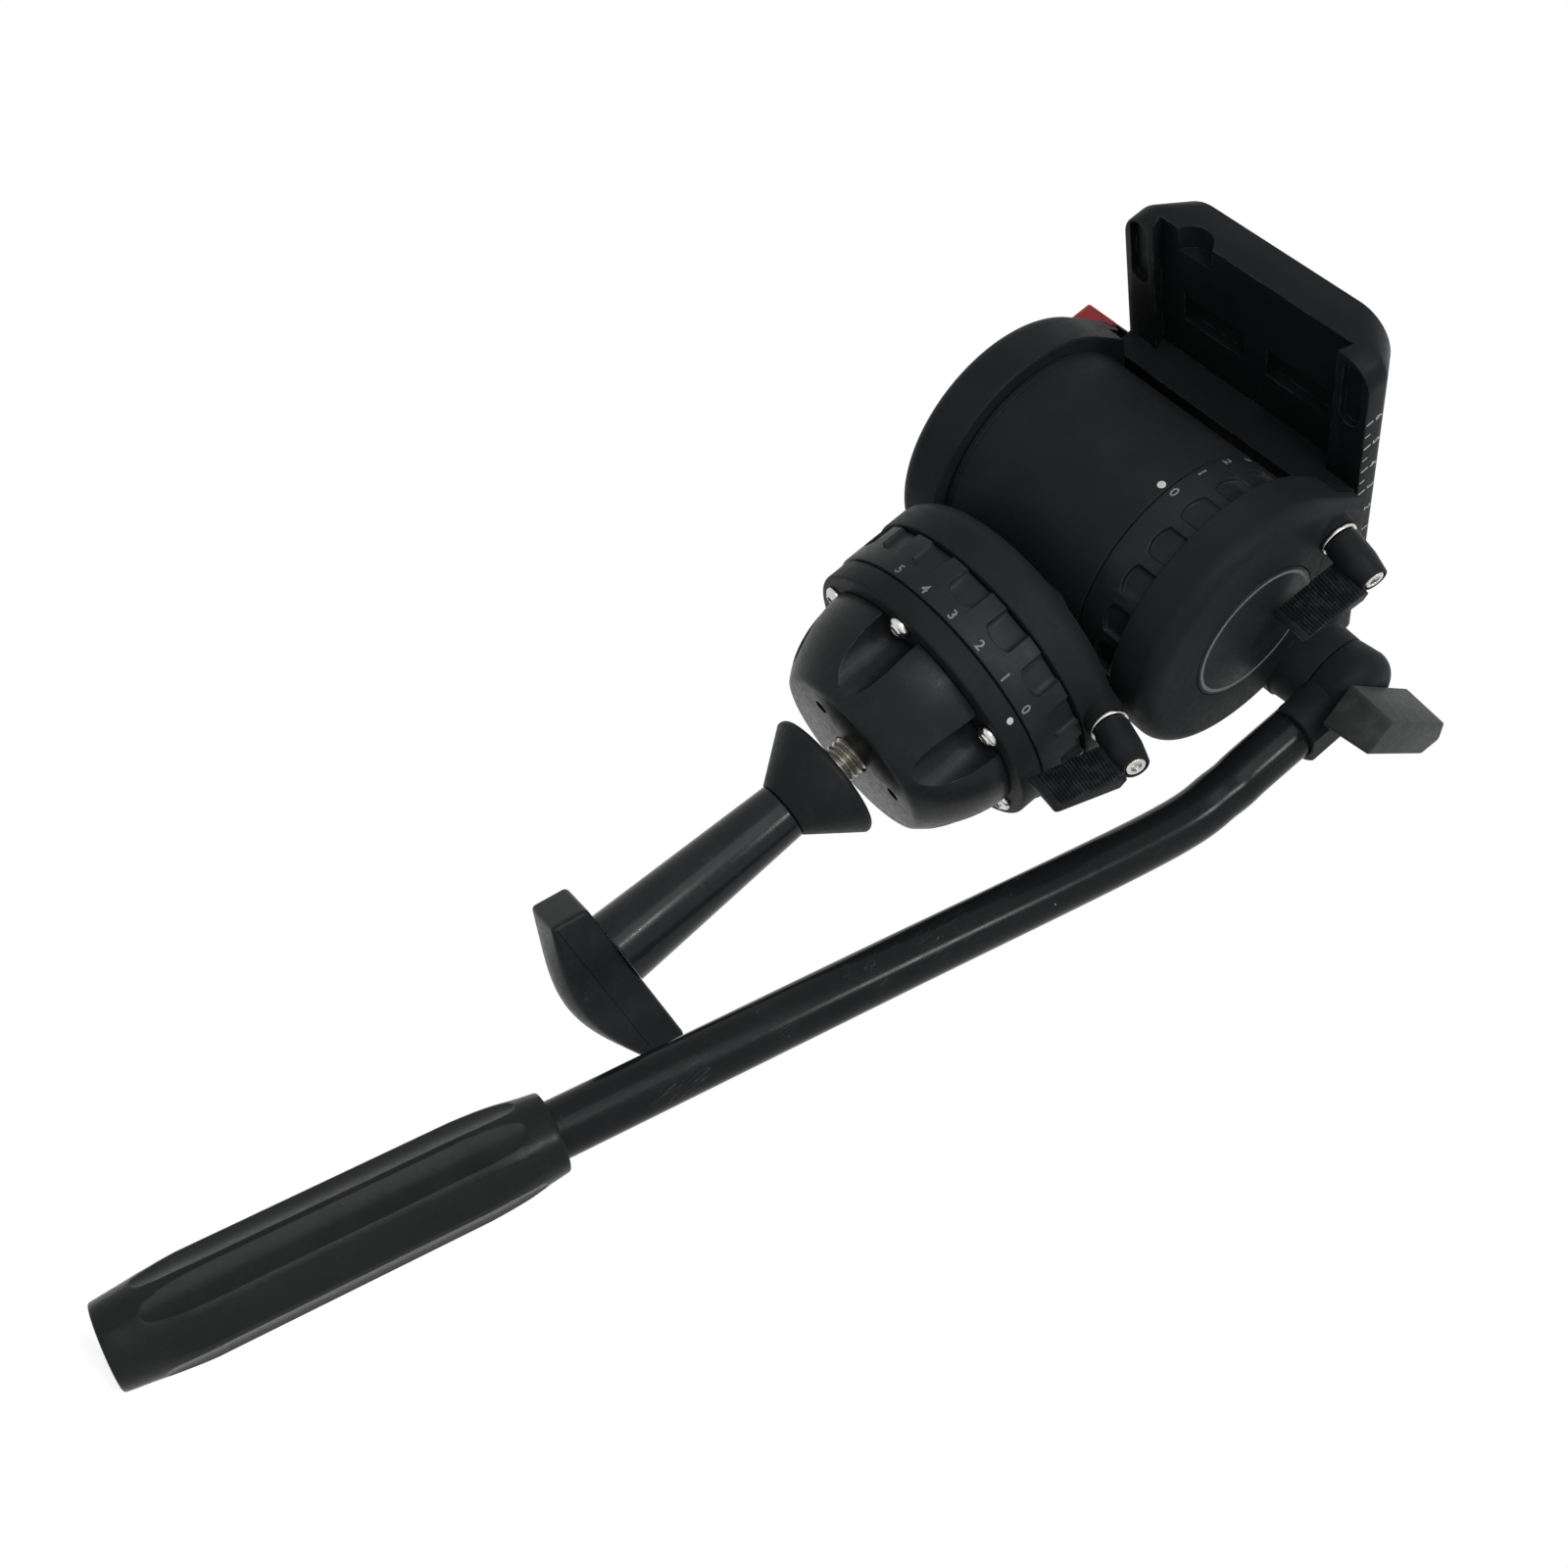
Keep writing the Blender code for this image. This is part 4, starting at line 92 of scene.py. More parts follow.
# Bevels and roundings of edges.
BEVEL = 0.15 * MM
FINE_EDGE = 0.3 * MM
SMALL_EDGE = 0.4 * MM
EDGE = 0.5 * MM
WIDE_EDGE = 0.6 * MM
SLEEVE_EDGE = 0.7 * MM
FLANGE_EDGE = 0.9 * MM
HANDLE_EDGE = 1.3 * MM

# Rounded foot and belly of a brake lever's hub.
HUB_FOOT = 1.4 * MM
FOOT_EDGE = 1.0 * MM
BELLY_EDGE = 6.0 * MM

# How far the neck reaches into the collar: its root, and the start of its flare.
NECK_SUNK = 4 * MM
FLARE_SUNK = 0.2 * MM

# Lower end of a finger hollow: share of its depth, and height over its end line.
HOLLOW_END = ((1, 2.4 * MM), (1, 0.55 * MM), (0.85, 0.32 * MM), (0.1, 0.06 * MM), (0, -0.12 * MM))

# Printed ring on a cheek's disc: how far its two edges stand in from the disc's rim.
DISC_RING = (0.9 * MM, 1.9 * MM)

# Dovetail channel of the plate: its two ends.
CHANNEL_ENDS = (-45 * MM, 65 * MM)

# Ribs of the plate's pads: half of a rib's foot, and half of the valley between two.
RIB_HALF = 0.7 * MM
VALLEY_HALF = 0.3 * MM

# Scale marks: width and height, and the height of their middle over the plate's underside.
LONG_MARK, LONG_MARK_AT = (0.55 * MM, 2.6 * MM), 1.75 * MM
SHORT_MARK, SHORT_MARK_AT = (0.5 * MM, 1.9 * MM), 1.4 * MM
FIGURE_HEIGHT, FIGURE_AT = 2.5 * MM, 5.1 * MM

# Camera screw: depth of the knurl, reach past the plate, and the slot's half length, half width and depth.
KNURL_DEPTH = 0.25 * MM
SCREW_REACH = 5 * MM
SLOT_HALF, SLOT_WIDE, SLOT_DEPTH = 6 * MM, 0.8 * MM, 1.2 * MM
SCRATCH_DEPTH = 0.03 * MM

# Bull's-eye level: room above it in the casting, drop and crown of its cell, printed ring and bubble.
LEVEL_ROOM = 9 * MM
CELL_DROP, CELL_CROWN = 0.7 * MM, 0.5 * MM
LEVEL_INK, LEVEL_INK_SUNK = 0.05 * MM, 0.03 * MM
LEVEL_RING = (2.3 * MM, 2.0 * MM)
BUBBLE_RADIUS, BUBBLE_RISE = 1.5 * MM, 0.12 * MM
BUBBLE_SUNK, BUBBLE_FLOOR = 0.08 * MM, 0.1 * MM
BUBBLE_PLACE = (0.4 * MM, -0.3 * MM, 0)

# Release button: radius of its free corners, and rounding of its ends.
BUTTON_CORNER, BUTTON_EDGE = 2.0 * MM, 0.35 * MM

# Free end of a brake lever's paddle: chamfer on the ribbed side, its bevel, and chamfer on the back.
PADDLE_TIP, PADDLE_BEVEL, PADDLE_HEEL = 1.1 * MM, 0.35 * MM, 1.0 * MM

# Half height of the plate's blend between side and top.
BLEND = 1 * MM

# Plate pads: corner of their seat, and heights of side, valleys and crests over their floor.
PAD_CORNER = 1.6 * MM
PAD_EDGE, PAD_VALLEY, PAD_CREST = 1.3 * MM, 1.15 * MM, 1.6 * MM

# Millimetres from one figure of the plate's scale to the next.
SCALE_STEP = 10

# How far the cutter beside the bar's sleeve reaches out.
TRIM = 20 * MM
TILT_HEIGHT = 79.2 * MM
TILT_CENTRE = Vector((0, 0, TILT_HEIGHT))
# A piece turned this way has its own X along Y, its own Y along Z and its own Z along X
SIDEWAYS = Matrix.Rotation(QUARTER, 4, "Z") @ Matrix.Rotation(QUARTER, 4, "X")
TILT_FRAME = Matrix.Translation(TILT_CENTRE) @ SIDEWAYS


class Side(Enum):
    """The two sides of the tilt bracket, as signs along X."""
    RIGHT = 1
    LEFT = -1


class Cut(Enum):
    """What a boolean step does with its tool."""
    AWAY = "DIFFERENCE"
    JOIN = "UNION"


@dataclass(frozen=True)
class Finish:
    """One surface finish, as a procedural material.

    Attributes:
        name: The material's name.
        colour: Main colour.
        second: Colour that the main one wanders to in soft patches.
        patch: Size of those patches.
        roughness: Mean roughness.
        uneven: How far the roughness wanders either way.
        metallic: Metal or not.
        specular: Specular level.
        grain: Size of the surface's grain.
        relief: Height of the grain.
        worn: Colour of worn edges.
        wear: Share of the edges that is worn.
        edge: Radius that the shading gives to sharp edges.
        scratch: How strongly fine scratches show.
        coat: Clear coat on top.
        dust: How strongly pale dust gathers in patches.
    """
    name: str
    colour: Colour
    second: Colour
    patch: float = 18.0 * MM
    roughness: float = 0.5
    uneven: float = 0.06
    metallic: float = 0.0
    specular: float = 0.3
    grain: float = 0.35 * MM
    relief: float = 0.03 * MM
    worn: Colour = (0.16, 0.16, 0.155)
    wear: float = 0.3
    edge: float = 0.3 * MM
    scratch: float = 0.0
    coat: float = 0.0
    dust: float = 0.0

    def material(self) -> bpy.types.Material:
        """Give the finish's material, made the first time it is asked for.

        Returns:
            The material.
        """
        ready = bpy.data.materials.get(self.name)
        if ready is not None:
            return ready
        material = bpy.data.materials.new(self.name)
        material.use_nodes = True
        Nodes(material.node_tree).dress(self)
        material.diffuse_color = (*self.colour, 1.0)
        return material


@dataclass
class Nodes:
    """Node tree of one finish.

    Attributes:
        tree: The material's node tree.
    """
    tree: bpy.types.NodeTree

    def add(self, kind: str, links: Optional[dict] = None, **settings) -> bpy.types.Node:
        """Add a node.

        Args:
            kind: Node type, without its leading word.
            links: Values or output sockets for its inputs, by name or index.
            settings: Settings of the node itself.

        Returns:
            The node.
        """
        node = self.tree.nodes.new("ShaderNode" + kind)
        for key, value in settings.items():
            setattr(node, key, value)
        for key, value in (links or {}).items():
            if isinstance(value, Socket):
                self.tree.links.new(value, node.inputs[key])
            else:
                node.inputs[key].default_value = value
        return node

    def noise(self, place: Socket, size: float, detail: float = 3.0) -> Socket:
        """Add noise of a given grain size.

        Args:
            place: Coordinates.
            size: Size of one feature.
            detail: Octaves of finer noise on top.

        Returns:
            The noise value's socket.
        """
        node = self.add("TexNoise",
                        {"Vector": place, "Scale": 1.0 / size, "Detail": detail, "Roughness": 0.6})
        return node.outputs["Fac"]

    def ramp(self, value: Socket, low: float, high: float,
             start: float = 0.0, end: float = 1.0) -> Socket:
        """Map a value from one range to another, clamped.

        Args:
            value: Value to map.
            low: Value that becomes start.
            high: Value that becomes end.
            start: Result at the low end.
            end: Result at the high end.

        Returns:
            The mapped value's socket.
        """
        node = self.add("MapRange", {"Value": value, "From Min": low, "From Max": high,
                                     "To Min": start, "To Max": end})
        return node.outputs["Result"]

    def maths(self, operation: str, first: object, second: object = 0.0) -> Socket:
        """Combine two values.

        Args:
            operation: Name of the operation.
            first: First value or socket.
            second: Second value or socket.

        Returns:
            The result's socket.
        """
        return self.add("Math", {0: first, 1: second}, operation=operation).outputs[0]

    def blend(self, share: Socket, first: object, second: object) -> Socket:
        """Mix two colours.

        Args:
            share: How much of the second colour shows.
            first: First colour, as a tuple or a socket.
            second: Second colour, as a tuple or a socket.

        Returns:
            The mixed colour's socket.
        """
        node = self.add("Mix", data_type="RGBA")
        self.tree.links.new(share, node.inputs[0])
        for slot, value in ((6, first), (7, second)):
            if isinstance(value, Socket):
                self.tree.links.new(value, node.inputs[slot])
            else:
                node.inputs[slot].default_value = (*value, 1.0)
        return node.outputs[2]

    def dress(self, finish: Finish) -> None:
        """Wire up a finish.

        Args:
            finish: The finish to wire up.
        """
        shader = self.tree.nodes["Principled BSDF"]
        place = self.add("TexCoord").outputs["Object"]
        patches = self.noise(place, finish.patch)
        flecks = self.noise(place, finish.patch / 9)
        colour = self.blend(self.ramp(patches, *PATCH_BAND), finish.colour, finish.second)
        rough = self.ramp(flecks, *FLECK_BAND, finish.roughness - finish.uneven,
                          finish.roughness + finish.uneven)
        rounded = self.add("Bevel", {"Radius": finish.edge}, samples=4).outputs["Normal"]
        facet = self.add("NewGeometry").outputs["Normal"]
        turned = self.add("VectorMath", {0: rounded, 1: facet}, operation="DOT_PRODUCT").outputs["Value"]
        on_edge = self.ramp(self.maths("SUBTRACT", 1.0, turned), *EDGE_BAND)
        start = 0.62 - 0.3 * finish.wear
        patchy = self.ramp(self.noise(place, finish.patch / 3), start, start + 0.1)
        worn = self.maths("MULTIPLY", on_edge, self.maths("MULTIPLY", patchy, min(1.0, finish.wear * 2)))
        colour = self.blend(worn, colour, finish.worn)
        if finish.dust > 0:
            where = self.ramp(self.noise(place, finish.patch / 2, 6.0), *DUST_BAND)
            colour = self.blend(self.maths("MULTIPLY", where, finish.dust), colour, finish.worn)
        if finish.scratch > 0:
            colour, rough = self.scratched(finish, place, colour, rough)
        height = self.noise(place, finish.grain, 2.0)
        bump = self.add("Bump",
                        {"Strength": 1.0, "Distance": finish.relief, "Height": height, "Normal": rounded})
        self.tree.links.new(colour, shader.inputs["Base Color"])
        self.tree.links.new(rough, shader.inputs["Roughness"])
        self.tree.links.new(bump.outputs["Normal"], shader.inputs["Normal"])
        shader.inputs["Metallic"].default_value = finish.metallic
        shader.inputs["Specular IOR Level"].default_value = finish.specular
        shader.inputs["Coat Weight"].default_value = finish.coat
        shader.inputs["Coat Roughness"].default_value = COAT_ROUGHNESS

    def scratched(self, finish: Finish, place: Socket, colour: Socket,
                  rough: Socket) -> tuple[Socket, Socket]:
        """Add fine scratches that run in two directions.

        Args:
            finish: The finish.
            place: Coordinates.
            colour: Colour so far.
            rough: Roughness so far.

        Returns:
            The new colour's and roughness's sockets.
        """
        lines = None
        for turn in SCRATCH_TURNS:
            mapping = self.add("Mapping", {"Vector": place, "Rotation": (turn, turn * 0.7, turn * 1.9),
                                           "Scale": (1.0, 1.0, 0.06)})
            wave = self.noise(mapping.outputs["Vector"], SCRATCH_SPACING, 1.0)
            near = self.maths("ABSOLUTE", self.maths("SUBTRACT", wave, 0.5))
            line = self.ramp(near, 0.0, SCRATCH_WIDTH, 1.0, 0.0)
            lines = line if lines is None else self.maths("MAXIMUM", lines, line)
        where = self.ramp(self.noise(place, finish.patch / 2), *SCRATCH_BAND)
        strength = self.maths("MULTIPLY", self.maths("MULTIPLY", lines, where), finish.scratch)
        rougher = self.maths("ADD", rough, self.maths("MULTIPLY", strength, 0.2))
        return self.blend(strength, colour, finish.worn), rougher


CASTING_PAINT = Finish("casting_paint", (0.0120, 0.0138, 0.0148), (0.0150, 0.0172, 0.0182), roughness=0.5,
                       specular=0.05, relief=0.035 * MM, worn=(0.06, 0.062, 0.062), wear=0.25)
RING_PAINT = Finish("ring_paint", (0.0130, 0.0148, 0.0158), (0.0165, 0.0185, 0.0195), roughness=0.42,
                    specular=0.1, grain=0.25 * MM, relief=0.012 * MM, worn=(0.08, 0.083, 0.083), wear=0.35)
DARK_PLASTIC = Finish("dark_plastic", (0.0105, 0.0120, 0.0130), (0.0140, 0.0158, 0.0168), patch=12 * MM,
                      roughness=0.34, uneven=0.08, specular=0.1, grain=0.5 * MM, relief=0.02 * MM,
                      worn=(0.09, 0.092, 0.09), wear=0.5, scratch=0.2, dust=0.04)
GLOSS_PLASTIC = Finish("gloss_plastic", (0.0120, 0.0135, 0.0145), (0.0150, 0.0165, 0.0175), patch=10 * MM,
                       roughness=0.2, uneven=0.05, specular=0.14, grain=0.5 * MM, relief=0.008 * MM,
                       worn=(0.1, 0.1, 0.1), wear=0.4, scratch=0.2)
MATT_PLASTIC = Finish("matt_plastic", (0.0125, 0.0142, 0.0150), (0.0165, 0.0182, 0.0190), patch=14 * MM,
                      roughness=0.5, uneven=0.08, specular=0.07, relief=0.02 * MM, worn=(0.1, 0.102, 0.1),
                      wear=0.5, dust=0.05)
LEVER_PLASTIC = Finish("lever_plastic", (0.0105, 0.0122, 0.0132), (0.0140, 0.0158, 0.0168), patch=9 * MM,
                       roughness=0.42, specular=0.08, grain=0.3 * MM, relief=0.015 * MM,
                       worn=(0.07, 0.072, 0.072), wear=0.45)
CLAMP_PLASTIC = Finish("clamp_plastic", (0.026, 0.029, 0.029), (0.040, 0.043, 0.042), patch=13 * MM,
                       roughness=0.5, specular=0.08, worn=(0.13, 0.13, 0.125), wear=0.6, dust=0.2,
                       scratch=0.2)
BLACK_ANODISED = Finish("black_anodised", (0.0095, 0.0108, 0.0118), (0.0122, 0.0136, 0.0146), patch=20 * MM,
                        roughness=0.4, specular=0.05, grain=0.18 * MM, relief=0.01 * MM,
                        worn=(0.10, 0.105, 0.105), wear=0.5)
GLOSS_TUBE = Finish("gloss_tube", (0.0090, 0.0102, 0.0108), (0.0115, 0.0128, 0.0134), patch=30 * MM,
                    roughness=0.2, uneven=0.04, specular=0.09, grain=0.8 * MM, relief=0.006 * MM,
                    worn=(0.2, 0.2, 0.2), wear=0.3, scratch=0.3)
GRIP_RUBBER = Finish("grip_rubber", (0.0095, 0.0108, 0.0110), (0.0125, 0.0140, 0.0142), patch=16 * MM,
                     roughness=0.3, uneven=0.06, specular=0.11, grain=0.4 * MM, relief=0.012 * MM,
                     worn=(0.07, 0.07, 0.068), wear=0.3, dust=0.04)
PAD_RUBBER = Finish("pad_rubber", (0.012, 0.012, 0.012), (0.02, 0.02, 0.02), roughness=0.75, specular=0.2,
                    grain=0.25 * MM, relief=0.04 * MM, wear=0.2)
RED_PLASTIC = Finish("red_plastic", (0.36, 0.022, 0.026), (0.28, 0.016, 0.02), patch=6 * MM, roughness=0.4,
                     relief=0.01 * MM, worn=(0.5, 0.2, 0.18), wear=0.5)
BRIGHT_STEEL = Finish("bright_steel", (0.62, 0.61, 0.58), (0.50, 0.49, 0.46), patch=5 * MM, roughness=0.24,
                      metallic=1.0, specular=0.5, grain=0.2 * MM, relief=0.008 * MM, worn=(0.3, 0.29, 0.27),
                      wear=0.4)
ZINC_STEEL = Finish("zinc_steel", (0.40, 0.39, 0.34), (0.30, 0.29, 0.25), patch=6 * MM, roughness=0.32,
                    metallic=1.0, specular=0.5, grain=0.3 * MM, relief=0.01 * MM, worn=(0.2, 0.18, 0.15),
                    wear=0.5)
BLACK_STEEL = Finish("black_steel", (0.03, 0.03, 0.03), (0.045, 0.045, 0.045), patch=4 * MM, roughness=0.38,
                     metallic=0.8, relief=0.01 * MM, wear=0.4)
SPRING_STEEL = Finish("spring_steel", (0.30, 0.30, 0.31), (0.22, 0.22, 0.23), patch=4 * MM, roughness=0.34,
                      metallic=1.0, relief=0.008 * MM, wear=0.3)
WHITE_INK = Finish("white_ink", (0.62, 0.63, 0.62), (0.50, 0.51, 0.50), patch=1.5 * MM, roughness=0.6,
                   grain=0.15 * MM, relief=0.005 * MM, wear=0.0, edge=0.02 * MM)
GREY_INK = Finish("grey_ink", (0.21, 0.22, 0.22), (0.14, 0.15, 0.15), patch=1.2 * MM, roughness=0.6,
                  grain=0.15 * MM, relief=0.005 * MM, wear=0.0, edge=0.02 * MM)
LEVEL_LIQUID = Finish("level_liquid", (0.42, 0.55, 0.08), (0.36, 0.5, 0.06), patch=3 * MM, roughness=0.12,
                      specular=0.5, grain=0.5 * MM, relief=0.001 * MM, wear=0.0, coat=0.6)


def arc(centre: Pair, radius: float, start: float, end: float, steps: int = CORNER_STEPS) -> Outline:
    """Give points along an arc, both ends included.

    Args:
        centre: Centre of the arc.
        radius: Its radius.
        start: First angle in degrees.
        end: Last angle in degrees.
        steps: Number of chords.

    Returns:
        The points.
    """
    points = []
    for step in range(steps + 1):
        angle = math.radians(start + (end - start) * step / steps)
        points.append((centre[0] + radius * math.cos(angle), centre[1] + radius * math.sin(angle)))
    return points


def softened(outline: Outline, radius: Union[float, Sequence[float]], steps: int = CORNER_STEPS) -> Outline:
    """Round the corners of a closed outline.

    Args:
        outline: The corners in order.
        radius: One radius for all corners, or one for each; zero leaves a corner sharp.
        steps: Chords in each rounded corner.

    Returns:
        The rounded outline.
    """
    count = len(outline)
    radii = [radius] * count if isinstance(radius, (int, float)) else list(radius)
    points = []
    for index, corner in enumerate(outline):
        here = Vector(corner)
        to_before, to_after = Vector(outline[index - 1]) - here, Vector(outline[(index + 1) % count]) - here
        if radii[index] <= 0 or to_before.length < TINY or to_after.length < TINY:
            points.append(tuple(corner))
            continue
        half = to_before.angle(to_after) / 2
        if half > FLATTEST_CORNER:
            points.append(tuple(corner))
            continue
        longest = LONGEST_CORNER * min(to_before.length, to_after.length)
        reach = min(radii[index] / math.tan(half), longest)
        start, end = here + to_before.normalized() * reach, here + to_after.normalized() * reach
        middle = here + (to_before.normalized() + to_after.normalized()).normalized() * reach / math.cos(half)
        first = start - middle
        sweep = first.angle_signed(end - middle)
        for step in range(steps + 1):
            spoke = first.copy()
            spoke.rotate(Matrix.Rotation(-sweep * step / steps, 2))
            points.append(tuple(middle + spoke))
    return points


def inset(outline: Outline, depths: Sequence[float]) -> Outline:
    """Move each edge of an anticlockwise outline inwards.

    Args:
        outline: The outline.
        depths: How far each edge moves.

    Returns:
        The smaller outline, with as many points.
    """
    count = len(outline)
    corners = [Vector(point) for point in outline]
    along = [(corners[(i + 1) % count] - corners[i]).normalized() for i in range(count)]
    inwards = [Vector((-way.y, way.x)) for way in along]
    moved = []
    for i, corner in enumerate(corners):
        before, after = inwards[i - 1], inwards[i]
        turn = before.cross(after)
        if abs(turn) < STRAIGHTEST_TURN:
            moved.append(tuple(corner + (before * depths[i - 1] + after * depths[i]) / 2))
            continue
        shift_x = (depths[i - 1] * after.y - depths[i] * before.y) / turn
        shift_y = (before.x * depths[i] - after.x * depths[i - 1]) / turn
        moved.append(tuple(corner + Vector((shift_x, shift_y))))
    return moved


def piece_from(work: bmesh.types.BMesh, name: str, matrix: Optional[Matrix] = None) -> Piece:
    """Turn a working mesh into a smooth object in the model's frame.

    Args:
        work: The working mesh, which is freed.
        name: Name of the piece.
        matrix: Where the mesh goes.

    Returns:
        The object.
    """
    bmesh.ops.recalc_face_normals(work, faces=work.faces)
    mesh = bpy.data.meshes.new(name)
    work.to_mesh(mesh)
    work.free()
    if matrix is not None:
        mesh.transform(matrix)
    piece = bpy.data.objects.new(name, mesh)
    bpy.context.scene.collection.objects.link(piece)
    return smooth(piece)


def smooth(piece: Piece) -> Piece:
    """Shade a piece smoothly, with its real edges kept sharp.

    Args:
        piece: The piece.

    Returns:
        The same piece.
    """
    piece.data.shade_smooth()
    piece.data.set_sharp_from_angle(angle=SHARP_ANGLE)
    return piece


def lathe(name: str, profile: Profile, matrix: Optional[Matrix] = None, steps: int = ROUND_STEPS,
          angles: Optional[Sequence[float]] = None) -> Piece:
    """Turn a closed profile of (radius, height) points about local Z.

    Args:
        name: Name of the piece.
        profile: The profile, or a function that gives it for an angle.
        matrix: Where the piece goes.
        steps: Number of steps in a turn.
        angles: The steps' own angles, where they aren't even.

    Returns:
        The turned piece.
    """
    turns = list(angles) if angles else [math.tau * step / steps for step in range(steps)]
    profiles = [profile(turn) if callable(profile) else profile for turn in turns]
    work = bmesh.new()
    rings = []
    for index, (radius, height) in enumerate(profiles[0]):
        if radius < TINY:
            rings.append([work.verts.new((0, 0, height))])
            continue
        rings.append([work.verts.new((shape[index][0] * math.cos(turn), shape[index][0] * math.sin(turn),
                                      shape[index][1])) for shape, turn in zip(profiles, turns)])
    count = len(turns)
    for index, near in enumerate(rings):
        far = rings[(index + 1) % len(rings)]
        for step in range(count):
            after = (step + 1) % count
            if len(near) == 1 and len(far) == 1:
                break
            if len(near) == 1:
                work.faces.new((near[0], far[after], far[step]))
            elif len(far) == 1:
                work.faces.new((near[step], near[after], far[0]))
            else:
                work.faces.new((near[step], near[after], far[after], far[step]))
    return piece_from(work, name, matrix)


def loft(name: str, rings: Sequence[Sequence[Sequence[float]]],
         matrix: Optional[Matrix] = None) -> Piece:
    """Join closed loops of equally many points into one capped solid.

    Args:
        name: Name of the piece.
        rings: The loops, each a list of points in space.
        matrix: Where the piece goes.

    Returns:
        The solid.
    """
    work = bmesh.new()
    loops = [[work.verts.new(point) for point in ring] for ring in rings]
    for lower, upper in zip(loops, loops[1:]):
        for index, corner in enumerate(lower):
            after = (index + 1) % len(lower)
            work.faces.new((corner, lower[after], upper[after], upper[index]))
    work.faces.new(loops[0][::-1])
    work.faces.new(loops[-1])
    return piece_from(work, name, matrix)


def stacked(name: str, layers: Sequence[tuple[Outline, float]], matrix: Optional[Matrix] = None) -> Piece:
    """Join flat outlines, each at its own height on local Z.

    Args:
        name: Name of the piece.
        layers: Pairs of an outline and its height.
        matrix: Where the piece goes.

    Returns:
        The solid.
    """
    return loft(name, [[(x, y, height) for x, y in outline] for outline, height in layers], matrix)


def pillow(name: str, outline: Outline, low: float, high: float, radius: float,
           matrix: Optional[Matrix] = None) -> Piece:
    """Extrude an anticlockwise outline along local Z, with both of its rims rounded.

    Args:
        name: Name of the piece.
        outline: The outline.
        low: Lower height.
        high: Upper height.
        radius: Radius of the rims.
        matrix: Where the piece goes.

    Returns:
        The solid.
    """
    layers = [(inset(outline, [depth] * len(outline)), rise)
              for depth, rise in rounding(radius, CORNER_STEPS)]
    upper = [(shape, high - rise) for shape, rise in reversed(layers)]
    return stacked(name, [(shape, low + rise) for shape, rise in layers] + upper, matrix)


def extruded(name: str, outline: Outline, low: float, high: float, matrix: Optional[Matrix] = None) -> Piece:
    """Extrude an outline along local Z, with sharp rims."""
    return stacked(name, [(outline, low), (outline, high)], matrix)


def drum(name: str, radius: float, low: float, high: float, matrix: Optional[Matrix] = None,
         steps: int = SMALL_STEPS) -> Piece:
    """Make a cylinder along local Z."""
    return lathe(name, [(0, high), (radius, high), (radius, low), (0, low)], matrix, steps)


def block(name: str, low: Sequence[float], high: Sequence[float], matrix: Optional[Matrix] = None) -> Piece:
    """Make a box between two corners."""
    corners = [(low[0], low[1]), (high[0], low[1]), (high[0], high[1]), (low[0], high[1])]
    return extruded(name, corners, low[2], high[2], matrix)


def evaluated(item: Piece) -> Mesh:
    """Give an object's mesh with its modifiers applied, or the mesh of a text.

    Args:
        item: The object.

    Returns:
        The new mesh.
    """
    bpy.context.view_layer.update()
    depsgraph = bpy.context.evaluated_depsgraph_get()
    return bpy.data.meshes.new_from_object(item.evaluated_get(depsgraph))


def combine(piece: Piece, way: Cut, *tools: Piece) -> Piece:
    """Cut tools away from a piece, or join them on, and remove the tools.

    Args:
        piece: The piece.
        way: Whether the tools are cut away or joined on.
        tools: The tools.

    Returns:
        The same piece.
    """
    for tool in tools:
        step = piece.modifiers.new(tool.name, "BOOLEAN")
        step.operation = way.value
        step.solver = "EXACT"
        step.object = tool
    plain, piece.data = piece.data, evaluated(piece)
    piece.modifiers.clear()
    bpy.data.meshes.remove(plain)
    for tool in tools:
        bpy.data.objects.remove(tool, do_unlink=True)
    work = bmesh.new()
    work.from_mesh(piece.data)
    bmesh.ops.remove_doubles(work, verts=work.verts, dist=WELD)
    bmesh.ops.dissolve_degenerate(work, edges=work.edges, dist=WELD)
    work.to_mesh(piece.data)
    work.free()
    return smooth(piece)


def merged(name: str, meshes: Sequence[Mesh]) -> Piece:
    """Put several meshes into one object, as separate solids.

    Args:
        name: Name of the piece.
        meshes: The meshes, already in place.

    Returns:
        The object.
    """
    work = bmesh.new()
    for mesh in meshes:
        work.from_mesh(mesh)
        bpy.data.meshes.remove(mesh)
    return piece_from(work, name)


def taken_mesh(piece: Piece) -> Mesh:
    """Take an object's mesh and remove the object.

    Args:
        piece: The object.

    Returns:
        Its mesh.
    """
    mesh = piece.data.copy()
    bpy.data.objects.remove(piece, do_unlink=True)
    return mesh


def around(count: int, radius: float, first: float = 0.0) -> list[Matrix]:
    """Give matrices spaced evenly on a circle about Z, each facing outwards along its own X."""
    out = Matrix.Translation((radius, 0, 0))
    return [Matrix.Rotation(first + math.tau * i / count, 4, "Z") @ out for i in range(count)]


def rounded_box(half_x: float, half_y: float, radius: float, steps: int = 12) -> Outline:
    """Give the outline of a rectangle with round corners, centred and anticlockwise.

    Args:
        half_x: Half of its size along X.
        half_y: Half of its size along Y.
        radius: Radius of the corners.
        steps: Chords in each corner.

    Returns:
        The outline.
    """
    corners = []
    for sign_x, sign_y, start in ((1, 1, 0), (-1, 1, 90), (-1, -1, 180), (1, -1, 270)):
        corners += arc((sign_x * (half_x - radius), sign_y * (half_y - radius)), radius, start, start + 90,
                       steps)
    return corners


